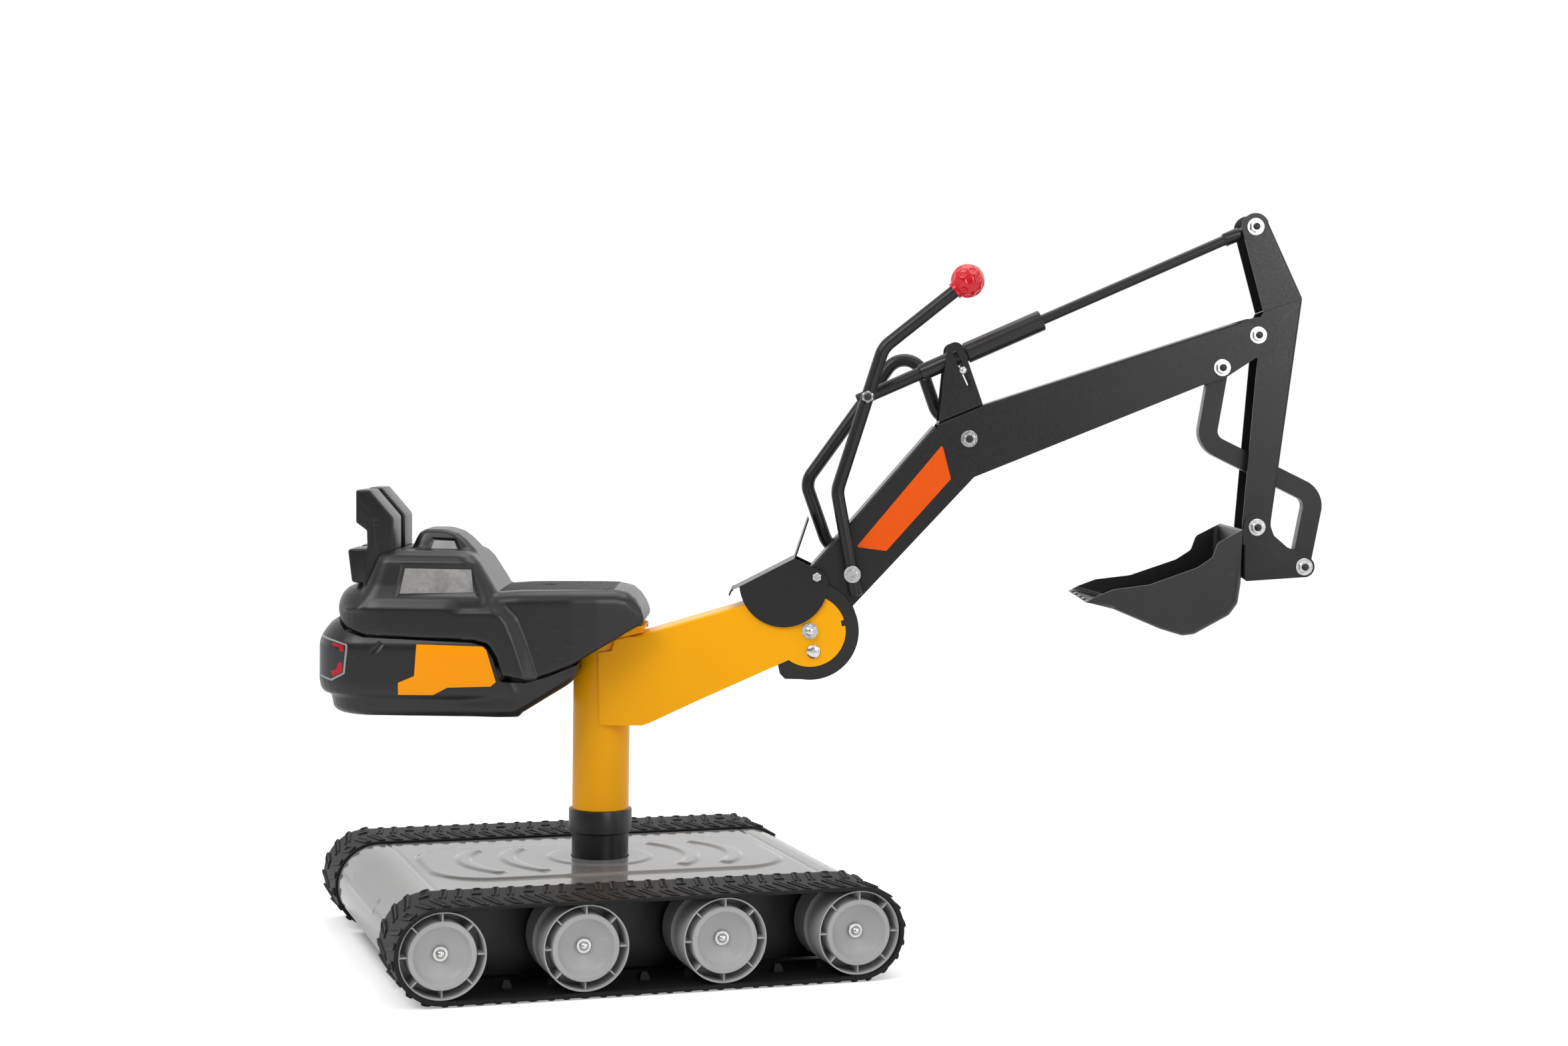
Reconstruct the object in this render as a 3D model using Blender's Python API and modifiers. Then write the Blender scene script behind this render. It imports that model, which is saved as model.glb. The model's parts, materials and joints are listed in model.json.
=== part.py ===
"""Ride-on sandpit digger: a tracked base, a slewing seat and a lever-worked digging arm.

Metres, +Z up. The superstructure looks along +X, +Y is its left side and -Y its right side.
Every moving piece hangs on an empty that sits on its joint's axis.
"""

import math

import bmesh
import bpy
from mathutils import Matrix, Vector

MM = 0.001

# ---- fits -------------------------------------------------------------------------------
RUN = 0.3 * MM                   # gap kept between two pieces that touch
BOLT_RADIUS = 3.0 * MM           # M6 pivots
BOLT_HOLE = BOLT_RADIUS + 0.6 * MM
WASHER_RADIUS = 8.2 * MM
WASHER_THICKNESS = 1.5 * MM
HEX_RADIUS = 6.0 * MM            # across the corners of head and nut
HEAD_HEIGHT = 4.6 * MM
NUT_HEIGHT = 5.6 * MM
THREAD_END = 3.0 * MM
SHEET = 1.5 * MM                 # folded steel of boom, dipper and brackets
FOLD_RADIUS = 2.4 * MM

# ---- base and tracks --------------------------------------------------------------------
BASE_TURN = math.radians(18.56)  # the base stands turned under the superstructure
WHEELS_PER_SIDE = 4
WHEEL_SPACING = 131.4 * MM
WHEEL_RADIUS = 39.9 * MM
WHEEL_WIDTH = 74.0 * MM
RIM_WALL = 2.5 * MM
RIB_RING_RADIUS = 33.0 * MM
RIB_RING_WALL = 2.5 * MM
RIB_COUNT = 8
RIB_THICKNESS = 2.0 * MM
GROOVE_RADIUS = 31.5 * MM
GROOVE_WIDTH = 14.0 * MM
DISH_DEPTH = 12.8 * MM
WHEEL_SIDES = 12
AXLE_RADIUS = 4.0 * MM
SPACER_RADIUS = 9.0 * MM
SPACER_LENGTH = 8.4 * MM
BELT_WALL = 4.0 * MM
BELT_OVERHANG = 3.5 * MM
LUG_HEIGHT = 1.5 * MM
LUG_COUNT = 22
LUG_SHARE = 0.62                 # of a pitch
LUG_SWEEP = 9.0 * MM             # how far a lug's middle runs ahead of its ends
TOOTH_COUNT = 24
TOOTH_BASE = 10.0 * MM
TOOTH_TOP = 5.0 * MM
TOOTH_HEIGHT = 8.0 * MM
TOOTH_WIDTH = 11.0 * MM
CHASSIS_HALF_WIDTH = 128.5 * MM
CHASSIS_WALL = 2.0 * MM
CHASSIS_END_RADIUS = 40.0 * MM
CHASSIS_CLEARANCE = 20.0 * MM    # under the chassis
DECK_SHEET = 1.5 * MM
DECK_OVERHANG = 2.5 * MM
CHASSIS_END_STEPS = 8            # facets round each end of the chassis
DECK_END_STEPS = 7               # of which the deck covers these
PANEL_HALF_LENGTH = 176.0 * MM   # raised panel pressed into the deck
PANEL_HALF_WIDTH = 86.0 * MM
PANEL_CORNER = 45.0 * MM
PANEL_RISE = 2.0 * MM
RIDGE_RISE = 1.2 * MM            # of ring and arcs above the panel
RING_RADIUS = 50.0 * MM
ARC_RADIUS = 92.0 * MM
ARC_STEP = 44.0 * MM             # from the inner pair of arcs to the outer
ARC_HALF_ANGLE = 38.0
ARC_HALF_WIDTH = 6.5 * MM

# ---- slewing post and column ------------------------------------------------------------
POST_RADIUS = 28.0 * MM
POST_HEIGHT = 29.7 * MM          # above the chassis top
POST_FLANGE_RADIUS = 45.0 * MM
POST_FLANGE = 4.0 * MM
SPIGOT_RADIUS = 25.5 * MM
SPIGOT_LENGTH = 74.0 * MM
COLUMN_RADIUS = 28.0 * MM
COLUMN_WALL = 2.0 * MM
COLUMN_TOP = 319.7 * MM
COLLAR_WALL = 2.9 * MM
COLLAR_LIP = 1.0 * MM
COLLAR_HEIGHT = 23.0 * MM
ROUND_SIDES = 20

# ---- arm, main pivot and its guard ------------------------------------------------------
MAIN_PIVOT = Vector((204.6, 0.0, 319.3)) * MM
ARM_SHEET = 1.7 * MM
ARM_END_RADIUS = 35.1 * MM
ARM_WEB_END = -54.6 * MM         # the arm's top sheet ends here, from the main pivot
GUARD_SHEET = 1.4 * MM
GUARD_RADIUS = 47.9 * MM
GUARD_RIM = 3.9 * MM
NUB_ANGLE = 14.0
NUB_DEPTH = 3.4 * MM
GUARD_SCREW = Vector((3.7, 0.0, -20.0)) * MM
MAIN_NUT_RADIUS = 8.0 * MM
SCREW_RADIUS = 2.5 * MM
SCREW_HEAD_RADIUS = 6.9 * MM
SCREW_HEAD_HEIGHT = 3.0 * MM

# ---- boom, from the main pivot ----------------------------------------------------------
LOWER_BOOM_LOBE = 24.0 * MM
BOOM_TIP = Vector((432.1, 0.0, 294.1)) * MM
BOOM_TIP_RADIUS = 17.5 * MM
LINK_PIVOT = Vector((397.7, 0.0, 262.0)) * MM
LINK_LUG_RADIUS = 10.0 * MM
KNEE_BOLT = Vector((152.6, 0.0, 189.4)) * MM
LEVER_PIVOT = Vector((40.4, 0.0, 56.4)) * MM
GUARD_SPACER_RADIUS = 4.5 * MM
GUARD_BOLT_HEADING = Vector((0.1146, 0.0, 0.9934))
GUARD_BOLT = GUARD_BOLT_HEADING * (GUARD_RADIUS + GUARD_SPACER_RADIUS + 0.9 * MM)
HOOD_SHEET = 1.5 * MM
HOOD_GAP = 1.0 * MM              # between hood and arm
HOOD_RADIUS = 43.3 * MM
HOOD_DATUM = 47.9 * MM            # guard radius that the hood's outline is drawn for
HOOD_CENTRE = Vector((-26.1, 0.0, 46.7)) * MM
TUBE_RADIUS = 6.35 * MM          # half-inch tube of lever and handle
TUBE_GAP = 0.55 * MM             # between a tube and the boom's side
LEVER_BEND = 26.0 * MM
HANDLE_BEND = 20.0 * MM
SLOT_RADIUS = 2.3 * MM
STOP_RADIUS = 2.0 * MM
STOP_SHAFT = 1.9 * MM
STOP_HEAD = 4.0 * MM
STOP_GAP = 1.6 * MM              # kept to the rod's sleeve with the lever forward

# ---- lever and push rod -----------------------------------------------------------------
ROD_PIN = Vector((52.6, 0.0, 229.0)) * MM
BALL_RADIUS = 16.5 * MM
ROD_PLANE = -12.0 * MM
ROD_RADIUS = 5.0 * MM
ROD_FOOT_RADIUS = 6.4 * MM
ROD_FOOT_END = 57.2 * MM
THIN_SLEEVE_RADIUS = 8.2 * MM
SLEEVE_RADIUS = 10.25 * MM
SLEEVE_STEP = 106.0 * MM
SLEEVE_END = 186.8 * MM
SOCKET_RADIUS = 6.5 * MM
SOCKET_LENGTH = 18.0 * MM
EYE_RADIUS = 9.8 * MM
EYE_HALF_WIDTH = 5.0 * MM
EYE_BORE = 4.8 * MM              # loose on the head pin, where the linkage is open

# ---- dipper, from the boom's tip --------------------------------------------------------
HEAD_PIN = Vector((-4.5, 0.0, 105.1)) * MM
HEAD_RADIUS = 13.3 * MM
DIPPER_LOBE = 16.0 * MM
BUCKET_PIVOT = Vector((2.9, 0.0, -187.0)) * MM
DIPPER_FOOT_RADIUS = 14.0 * MM
LINK_SLOT_TOP = -87.0 * MM
LINK_SLOT_BOTTOM = -154.0 * MM

# ---- S-shaped link ----------------------------------------------------------------------
LINK_WIDTH = 18.4 * MM
LINK_HALF_THICKNESS = 8.0 * MM
LINK_BEND = 18.0 * MM
LINK_END_RADIUS = 10.6 * MM
LINK_LOOSE_BORE = 6.4 * MM       # loose on the bucket's rear pin, where the linkage is open

# ---- bucket, from its pivot -------------------------------------------------------------
REAR_PIN = Vector((46.9, 0.0, -38.0)) * MM
BRACKET_LOBE = 13.0 * MM
REAR_LOBE = 10.4 * MM
BUCKET_WALL = 2.5 * MM
BUCKET_MOUTH_HALF = 75.0 * MM
BUCKET_BACK_HALF = 64.0 * MM
BUCKET_TEETH = 5
TOOTH_REACH = 9.0 * MM

# ---- seat -------------------------------------------------------------------------------
SEAT_WALL = 3.0 * MM
SEAT_PLATE = 2.0 * MM
SEAT_CORNER = 14.0 * MM
FIN_GAP = 11.5 * MM
FIN_OUTER = 61.5 * MM
SEAT_DATUM = 319.7 * MM          # height of the column's top that the seat's tables are drawn for
BRACKET_FLANGE = SHEET

# ---- sizes that follow ------------------------------------------------------------------
HUB_HEIGHT = WHEEL_RADIUS + RUN + BELT_WALL + LUG_HEIGHT
HALF_BASE = WHEEL_SPACING * (WHEELS_PER_SIDE - 1) / 2
WHEEL_INNER = CHASSIS_HALF_WIDTH + SPACER_LENGTH + 2 * RUN
WHEEL_OUTER = WHEEL_INNER + WHEEL_WIDTH
CHASSIS_TOP = HUB_HEIGHT + CHASSIS_END_RADIUS
POST_TOP = CHASSIS_TOP + POST_HEIGHT
COLLAR_BOTTOM = POST_TOP + RUN
COLUMN_BOTTOM = COLLAR_BOTTOM + COLLAR_LIP + RUN
ARM_INNER = COLUMN_RADIUS + RUN
ARM_OUTER = ARM_INNER + ARM_SHEET
GUARD_OUTER = ARM_INNER - RUN
GUARD_INNER = GUARD_OUTER - GUARD_SHEET
BOOM_OUTER = GUARD_INNER - RUN
BOOM_INNER = BOOM_OUTER - SHEET
UPPER_OUTER = BOOM_INNER - RUN
UPPER_INNER = UPPER_OUTER - SHEET
DIPPER_OUTER = UPPER_INNER - 0.7 * MM
DIPPER_INNER = DIPPER_OUTER - SHEET
BRACKET_INNER = DIPPER_OUTER + RUN
BRACKET_OUTER = BRACKET_INNER + SHEET
HOOD_INNER = ARM_OUTER + HOOD_GAP
HOOD_OUTER = HOOD_INNER + HOOD_SHEET
TUBE_PLANE = BOOM_OUTER + TUBE_GAP + TUBE_RADIUS
SEAT_PLATE_BOTTOM = COLUMN_TOP + RUN
SEAT_PLATE_TOP = SEAT_PLATE_BOTTOM + SEAT_PLATE
SEAT_LIFT = Matrix.Translation((0, 0, COLUMN_TOP - SEAT_DATUM))
ROD_LENGTH = (BOOM_TIP + HEAD_PIN - ROD_PIN).length
ROD_ANGLE = math.atan2((BOOM_TIP + HEAD_PIN - ROD_PIN).z, (BOOM_TIP + HEAD_PIN - ROD_PIN).x)


# ---- scene ------------------------------------------------------------------------------
for leftover in list(bpy.data.objects):
    bpy.data.objects.remove(leftover, do_unlink=True)

model = bpy.data.collections.new("ride_on_digger")
bpy.context.scene.collection.children.link(model)


def paint(name, colour, roughness, metallic=0.0):
    """A plain Principled material."""
    material = bpy.data.materials.new(name)
    material.use_nodes = True
    shader = material.node_tree.nodes["Principled BSDF"]
    shader.inputs["Base Color"].default_value = (*colour, 1.0)
    shader.inputs["Roughness"].default_value = roughness
    shader.inputs["Metallic"].default_value = metallic
    return material


YELLOW = paint("yellow_paint", (0.93, 0.40, 0.004), 0.35)
BLACK_STEEL = paint("black_powder_coat", (0.026, 0.026, 0.027), 0.5)
BLACK_PLASTIC = paint("black_plastic", (0.016, 0.016, 0.017), 0.42)
GREY_WHEEL = paint("grey_plastic", (0.38, 0.38, 0.38), 0.5)
GREY_DECK = paint("deck_paint", (0.45, 0.44, 0.42), 0.3)
RUBBER = paint("belt_rubber", (0.02, 0.02, 0.02), 0.65)
ZINC = paint("zinc", (0.62, 0.62, 0.6), 0.32, 1.0)
RED = paint("red_plastic", (0.62, 0.012, 0.02), 0.35)


# ---- outlines in X and Z ----------------------------------------------------------------
def mm(*points):
    """Outline points written in millimetres."""
    return [(x * MM, z * MM) for x, z in points]


def arc(centre, radius, start, end, steps):
    """Points on an arc from start to end, in degrees, counter-clockwise when end is larger."""
    points = []
    for i in range(steps + 1):
        angle = math.radians(start + (end - start) * i / steps)
        points.append((centre[0] + radius * math.cos(angle), centre[-1] + radius * math.sin(angle)))
    return points


def tangent_angle(point, centre, radius, side):
    """Angle, in degrees, of the touching point on a circle for the line through a point."""
    dx = point[0] - centre[0]
    dz = point[-1] - centre[-1]
    spread = math.acos(radius / math.hypot(dx, dz))
    return math.degrees(math.atan2(dz, dx) + side * spread)


def normal_of(first, second):
    """Left-hand normal of an edge, which points inwards on a counter-clockwise outline."""
    dx = second[0] - first[0]
    dz = second[1] - first[1]
    length = math.hypot(dx, dz)
    return (-dz / length, dx / length)


def area_sign(outline):
    total = 0.0
    for (x0, z0), (x1, z1) in zip(outline, outline[1:] + outline[:1]):
        total += x0 * z1 - x1 * z0
    return 1.0 if total > 0 else -1.0


def moved_outline(outline, distances):
    """Each edge moved inwards by its own distance (outwards if negative).

    Neighbouring edges that move alike meet in a mitre; elsewhere the outline steps across.
    """
    sign = area_sign(outline)
    count = len(outline)
    result = []
    for i in range(count):
        before = outline[i - 1]
        here = outline[i]
        after = outline[(i + 1) % count]
        n0 = normal_of(before, here)
        n1 = normal_of(here, after)
        d0 = distances[i - 1] * sign
        d1 = distances[i] * sign
        if abs(d0 - d1) < 1e-9:
            scale = 1.0 + n0[0] * n1[0] + n0[1] * n1[1]
            result.append((here[0] + d0 * (n0[0] + n1[0]) / scale, here[1] + d0 * (n0[1] + n1[1]) / scale))
        else:
            result.append((here[0] + n0[0] * d0, here[1] + n0[1] * d0))
            result.append((here[0] + n1[0] * d1, here[1] + n1[1] * d1))
    return result


def rounded_path(points, radius, steps=3):
    """A polyline whose inner corners are turned into arcs of one radius."""
    result = [points[0]]
    for before, here, after in zip(points, points[1:], points[2:]):
        corner = Vector(here).to_3d()
        a = (Vector(before).to_3d() - corner).normalized()
        b = (Vector(after).to_3d() - corner).normalized()
        half = a.angle(b) / 2
        centre = corner + (a + b).normalized() * (radius / math.sin(half))
        start = corner + a * (radius / math.tan(half)) - centre
        axis = b.cross(a)
        for i in range(steps + 1):
            turn = Matrix.Rotation((math.pi - 2 * half) * i / steps, 3, axis)
            result.append(tuple(centre + turn @ start)[:len(here)])
    result.append(points[-1])
    return result


def band(points, half_width):
    """Outline of a strip of even width along a polyline."""
    left = []
    right = []
    count = len(points)
    for i, here in enumerate(points):
        n0 = normal_of(points[max(i - 1, 0)], points[max(i, 1)])
        n1 = normal_of(points[min(i, count - 2)], points[min(i + 1, count - 1)])
        scale = 1.0 + n0[0] * n1[0] + n0[1] * n1[1]
        dx = half_width * (n0[0] + n1[0]) / scale
        dz = half_width * (n0[1] + n1[1]) / scale
        left.append((here[0] + dx, here[1] + dz))
        right.append((here[0] - dx, here[1] - dz))
    return left + right[::-1]


# ---- solids -----------------------------------------------------------------------------
def tidy(obj):
    """Welds the seams and turns every face outwards."""
    bm = bmesh.new()
    bm.from_mesh(obj.data)
    bmesh.ops.remove_doubles(bm, verts=bm.verts, dist=2e-6)
    bmesh.ops.dissolve_degenerate(bm, edges=bm.edges, dist=2e-6)
    bmesh.ops.recalc_face_normals(bm, faces=bm.faces)
    bm.to_mesh(obj.data)
    bm.free()
    return obj


def plain_mesh(obj):
    """The plain mesh of a curve, or of an object with modifiers, in its place."""
    model.objects.link(obj)
    bpy.context.view_layer.update()
    graph = bpy.context.evaluated_depsgraph_get()
    mesh = bpy.data.meshes.new_from_object(obj.evaluated_get(graph))
    result = bpy.data.objects.new("piece", mesh)
    bpy.data.objects.remove(obj)
    return tidy(result)


def from_bmesh(bm):
    mesh = bpy.data.meshes.new("piece")
    bm.to_mesh(mesh)
    bm.free()
    return bpy.data.objects.new("piece", mesh)


def shape(obj, matrix):
    obj.data.transform(matrix)
    return obj


def flat_solid(outline, y_from, y_to, holes=(), upright=True):
    """A flat outline as a solid: in X and Z, or in X and Y when it lies flat."""
    curve = bpy.data.curves.new("outline", 'CURVE')
    curve.dimensions = '2D'
    curve.fill_mode = 'BOTH'
    curve.extrude = abs(y_to - y_from) / 2
    curve.render_resolution_u = 0
    for loop in (outline, *holes):
        spline = curve.splines.new('POLY')
        spline.points.add(len(loop) - 1)
        for point, (x, z) in zip(spline.points, loop):
            point.co = (x, z, 0.0, 1.0)
        spline.use_cyclic_u = True
    solid = plain_mesh(bpy.data.objects.new("outline", curve))
    middle = (y_from + y_to) / 2
    if upright:
        return shape(solid, Matrix.Translation((0, middle, 0)) @ Matrix.Rotation(math.pi / 2, 4, 'X'))
    return shape(solid, Matrix.Translation((0, 0, middle)))


def cylinder(radius, start, end, sides, radius_end=None):
    """A cylinder or cone between two points."""
    start = Vector(start)
    end = Vector(end)
    direction = end - start
    turn = direction.to_track_quat('Z', 'Y').to_matrix().to_4x4()
    bm = bmesh.new()
    bmesh.ops.create_cone(bm, cap_ends=True, segments=sides, radius1=radius,
                          radius2=radius if radius_end is None else radius_end, depth=direction.length,
                          matrix=Matrix.Translation((start + end) / 2) @ turn)
    return from_bmesh(bm)


def cross_hole(place, radius, half_length, sides=8, middle=0.0):
    """A cutter along Y through a place in X and Z."""
    return cylinder(radius, (place[0], middle - half_length, place[-1]),
                    (place[0], middle + half_length, place[-1]), sides)


def box(x, y, z):
    """A box between the given pairs of limits."""
    bm = bmesh.new()
    size = Matrix.Diagonal((x[1] - x[0], y[1] - y[0], z[1] - z[0], 1.0))
    centre = Matrix.Translation(((x[0] + x[1]) / 2, (y[0] + y[1]) / 2, (z[0] + z[1]) / 2))
    bmesh.ops.create_cube(bm, size=1.0, matrix=centre @ size)
    return from_bmesh(bm)


def turned(profile, sides, ring=False):
    """A turned shape about Z; its profile of (radius, height) runs down the outer side."""
    mesh = bpy.data.meshes.new("profile")
    edges = [(i, i + 1) for i in range(len(profile) - 1)]
    if ring:
        edges.append((len(profile) - 1, 0))
    mesh.from_pydata([(radius, 0.0, height) for radius, height in profile], edges, [])
    obj = bpy.data.objects.new("profile", mesh)
    screw = obj.modifiers.new("turn", 'SCREW')
    screw.steps = sides
    screw.render_steps = sides
    screw.use_merge_vertices = True
    screw.merge_threshold = 1e-5
    return plain_mesh(obj)


def tube(points, radius, bend, resolution=2):
    """A bent tube through points (x, y, z), closed at both ends."""
    path = rounded_path(points, bend)
    curve = bpy.data.curves.new("tube", 'CURVE')
    curve.dimensions = '3D'
    curve.bevel_depth = radius
    curve.bevel_resolution = resolution
    curve.use_fill_caps = True
    curve.render_resolution_u = 0
    spline = curve.splines.new('POLY')
    spline.points.add(len(path) - 1)
    for point, place in zip(spline.points, path):
        point.co = (*place, 1.0)
    return plain_mesh(bpy.data.objects.new("tube", curve))


def stacked(steps, rounds=()):
    """A bolt along Y from a stack of (end, radius) steps; those numbered in rounds are round."""
    bm = bmesh.new()
    rings = []
    for number, ((start, _), (end, radius)) in enumerate(zip(steps, steps[1:])):
        sides = 12 if number in rounds else 6
        for y in (start, end):
            ring = []
            for i in range(sides):
                angle = math.tau * i / sides
                ring.append(bm.verts.new((radius * math.cos(angle), y, radius * math.sin(angle))))
            rings.append(ring)
    for first, second in zip(rings, rings[1:]):
        count = max(len(first), len(second))
        for i in range(count):
            corners = []
            for ring in (first, second):
                step = count // len(ring)
                pair = (ring[i // step], ring[((i + 1) // step) % len(ring)])
                corners.append(pair)
            face = [corners[0][0], corners[0][1], corners[1][1], corners[1][0]]
            bm.faces.new(list(dict.fromkeys(face)))
    bm.faces.new(rings[0])
    bm.faces.new(rings[-1])
    return tidy(from_bmesh(bm))


def through_bolt(near, far, spacers=(), washer=WASHER_RADIUS):
    """A bolt, its washers and its nut as one body; spacers are (from, to, radius) along it."""
    steps = [(near - RUN - WASHER_THICKNESS - HEAD_HEIGHT, 0.0)]
    steps.append((near - RUN - WASHER_THICKNESS, HEX_RADIUS))
    steps.append((near - RUN, washer))
    for start, end, radius in spacers:
        steps.append((start, BOLT_RADIUS))
        steps.append((end, radius))
    steps.append((far + RUN, BOLT_RADIUS))
    steps.append((far + RUN + WASHER_THICKNESS, washer))
    steps.append((far + RUN + WASHER_THICKNESS + NUT_HEIGHT, HEX_RADIUS))
    steps.append((far + RUN + WASHER_THICKNESS + NUT_HEIGHT + THREAD_END, BOLT_RADIUS * 0.9))
    washers = (1, len(steps) - 4)
    rollers = range(3, 3 + 2 * len(spacers), 2)
    return stacked(steps, rounds=(*washers, *rollers))


def loft(sections):
    """A closed solid through closed sections with the same number of points."""
    bm = bmesh.new()
    rings = [[bm.verts.new(point) for point in section] for section in sections]
    for first, second in zip(rings, rings[1:]):
        for i in range(len(first)):
            j = (i + 1) % len(first)
            bm.faces.new((first[i], first[j], second[j], second[i]))
    bm.faces.new(rings[0])
    bm.faces.new(rings[-1])
    return tidy(from_bmesh(bm))


def boolean(target, tool, operation):
    model.objects.link(target)
    model.objects.link(tool)
    modifier = target.modifiers.new("boolean", 'BOOLEAN')
    modifier.operation = operation
    modifier.object = tool
    modifier.solver = 'EXACT'
    bpy.context.view_layer.update()
    graph = bpy.context.evaluated_depsgraph_get()
    mesh = bpy.data.meshes.new_from_object(target.evaluated_get(graph))
    result = bpy.data.objects.new("piece", mesh)
    bpy.data.objects.remove(target)
    bpy.data.objects.remove(tool)
    return tidy(result)


def cut(target, *tools):
    for tool in tools:
        target = boolean(target, tool, 'DIFFERENCE')
    return target


def joined(target, *others):
    for other in others:
        target = boolean(target, other, 'UNION')
    return target


def grouped(pieces):
    """Loose pieces in one mesh, for use as one cutter or one addition."""
    bm = bmesh.new()
    for piece in pieces:
        bm.from_mesh(piece.data)
        bpy.data.objects.remove(piece)
    return from_bmesh(bm)


def channel(outline, web, inner, outer, wall, fold=0.0, clearance=3 * MM):
    """A folded channel: two side plates of one outline, and a web along the edges named in web."""
    solid = flat_solid(outline, -outer, outer)
    if fold:
        solid = soften_folds(solid, outline, web, outer, fold)
    distances = [wall if i in web else -clearance for i in range(len(outline))]
    return cut(solid, flat_solid(moved_outline(outline, distances), -inner, inner))


def soften_folds(solid, outline, web, outer, radius):
    """Rounds the long edges where the web turns into the side plates."""
    bm = bmesh.new()
    bm.from_mesh(solid.data)
    chosen = []
    for edge in bm.edges:
        a, b = (vert.co for vert in edge.verts)
        if abs(abs(a.y) - outer) > 1e-6 or abs(a.y - b.y) > 1e-6:
            continue
        for i in web:
            ends = (outline[i], outline[(i + 1) % len(outline)])
            for p, q in ((a, b), (b, a)):
                if math.dist((p.x, p.z), ends[0]) < 1e-5 and math.dist((q.x, q.z), ends[1]) < 1e-5:
                    chosen.append(edge)
    bmesh.ops.bevel(bm, geom=chosen, offset=radius, segments=1, affect='EDGES')
    bm.to_mesh(solid.data)
    bm.free()
    return tidy(solid)


def joint_frame(name, parent, place=(0, 0, 0), rotation=(0, 0, 0)):
    """An empty on a joint's axis."""
    empty = bpy.data.objects.new(name, None)
    empty.empty_display_size = 0.03
    empty.location = place
    empty.rotation_euler = rotation
    empty.parent = parent
    model.objects.link(empty)
    return empty


def place(obj, name, parent, material, sharp=35.0):
    """Names a finished piece and hangs it on its frame."""
    obj.name = name
    obj.data.name = name
    obj.data.materials.clear()
    obj.data.materials.append(material)
    obj.data.shade_smooth()
    obj.data.set_sharp_from_angle(angle=math.radians(sharp))
    obj.parent = parent
    model.objects.link(obj)
    return obj


# ---- frames -----------------------------------------------------------------------------
root = joint_frame("root_frame", None)
base = joint_frame("base_frame", root, rotation=(0, 0, BASE_TURN))
upper = joint_frame("slew_frame", root)
boom = joint_frame("boom_frame", upper, MAIN_PIVOT)
lever = joint_frame("lever_frame", boom, LEVER_PIVOT)
rod = joint_frame("rod_frame", lever, ROD_PIN - LEVER_PIVOT, (0, -ROD_ANGLE, 0))
dipper = joint_frame("dipper_frame", boom, BOOM_TIP)
link = joint_frame("link_frame", boom, LINK_PIVOT)
bucket = joint_frame("bucket_frame", dipper, BUCKET_PIVOT)


# ---- base -------------------------------------------------------------------------------
def axle_places():
    """X of each axle, front to back."""
    return [HALF_BASE - WHEEL_SPACING * i for i in range(WHEELS_PER_SIDE)]


def end_arcs(radius, steps):
    """A flat top with round ends about the end axles, some of the chassis end's steps down."""
    low = -math.degrees(math.asin((HUB_HEIGHT - CHASSIS_CLEARANCE) / CHASSIS_END_RADIUS))
    step = (90.0 - low) / CHASSIS_END_STEPS
    right = arc((HALF_BASE, HUB_HEIGHT), radius, 90 - step * steps, 90, steps)
    return right + [(-x, z) for x, z in right[::-1]]


def make_chassis():
    outline = end_arcs(CHASSIS_END_RADIUS, CHASSIS_END_STEPS)
    covered = range(len(outline) - 1)
    frame = channel(outline, covered, CHASSIS_HALF_WIDTH - CHASSIS_WALL, CHASSIS_HALF_WIDTH, CHASSIS_WALL)
    holes = [cross_hole((x, HUB_HEIGHT), AXLE_RADIUS + 0.6 * MM, CHASSIS_HALF_WIDTH * 1.1)
             for x in axle_places()]
    well = cylinder(POST_RADIUS + 0.8 * MM, (0, 0, HUB_HEIGHT), (0, 0, CHASSIS_TOP * 1.1), ROUND_SIDES)
    place(cut(frame, grouped(holes), well), "chassis_frame", base, BLACK_STEEL)


def make_deck():
    inner = end_arcs(CHASSIS_END_RADIUS + RUN, DECK_END_STEPS)
    outer = end_arcs(CHASSIS_END_RADIUS + RUN + DECK_SHEET, DECK_END_STEPS)
    half = CHASSIS_HALF_WIDTH + DECK_OVERHANG
    deck = flat_solid(outer + inner[::-1], -half, half)
    top = CHASSIS_TOP + RUN + DECK_SHEET
    low = top - DECK_SHEET / 2
    panel = [(x, y) for x, y, _ in lying_section(0.0, -PANEL_HALF_LENGTH, PANEL_HALF_LENGTH, PANEL_HALF_WIDTH,
                                                 PANEL_CORNER)]
    deck = joined(deck, flat_solid(panel, low, top + PANEL_RISE, upright=False))
    ridges = [cylinder(RING_RADIUS, (0, 0, top), (0, 0, top + PANEL_RISE + RIDGE_RISE), 24)]
    for side in (0, 180):
        for step in (0, 1):
            centre = (math.cos(math.radians(side)) * ARC_STEP * step, 0.0)
            line = arc(centre, ARC_RADIUS, side - ARC_HALF_ANGLE, side + ARC_HALF_ANGLE, 6)
            ridges.append(flat_solid(band(line, ARC_HALF_WIDTH), top, top + PANEL_RISE + RIDGE_RISE, upright=False))
    deck = joined(deck, grouped(ridges))
    well = cylinder(POST_RADIUS + 0.8 * MM, (0, 0, HUB_HEIGHT), (0, 0, CHASSIS_TOP * 1.1), ROUND_SIDES)
    place(cut(deck, well), "deck_plate", base, GREY_DECK)


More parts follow.
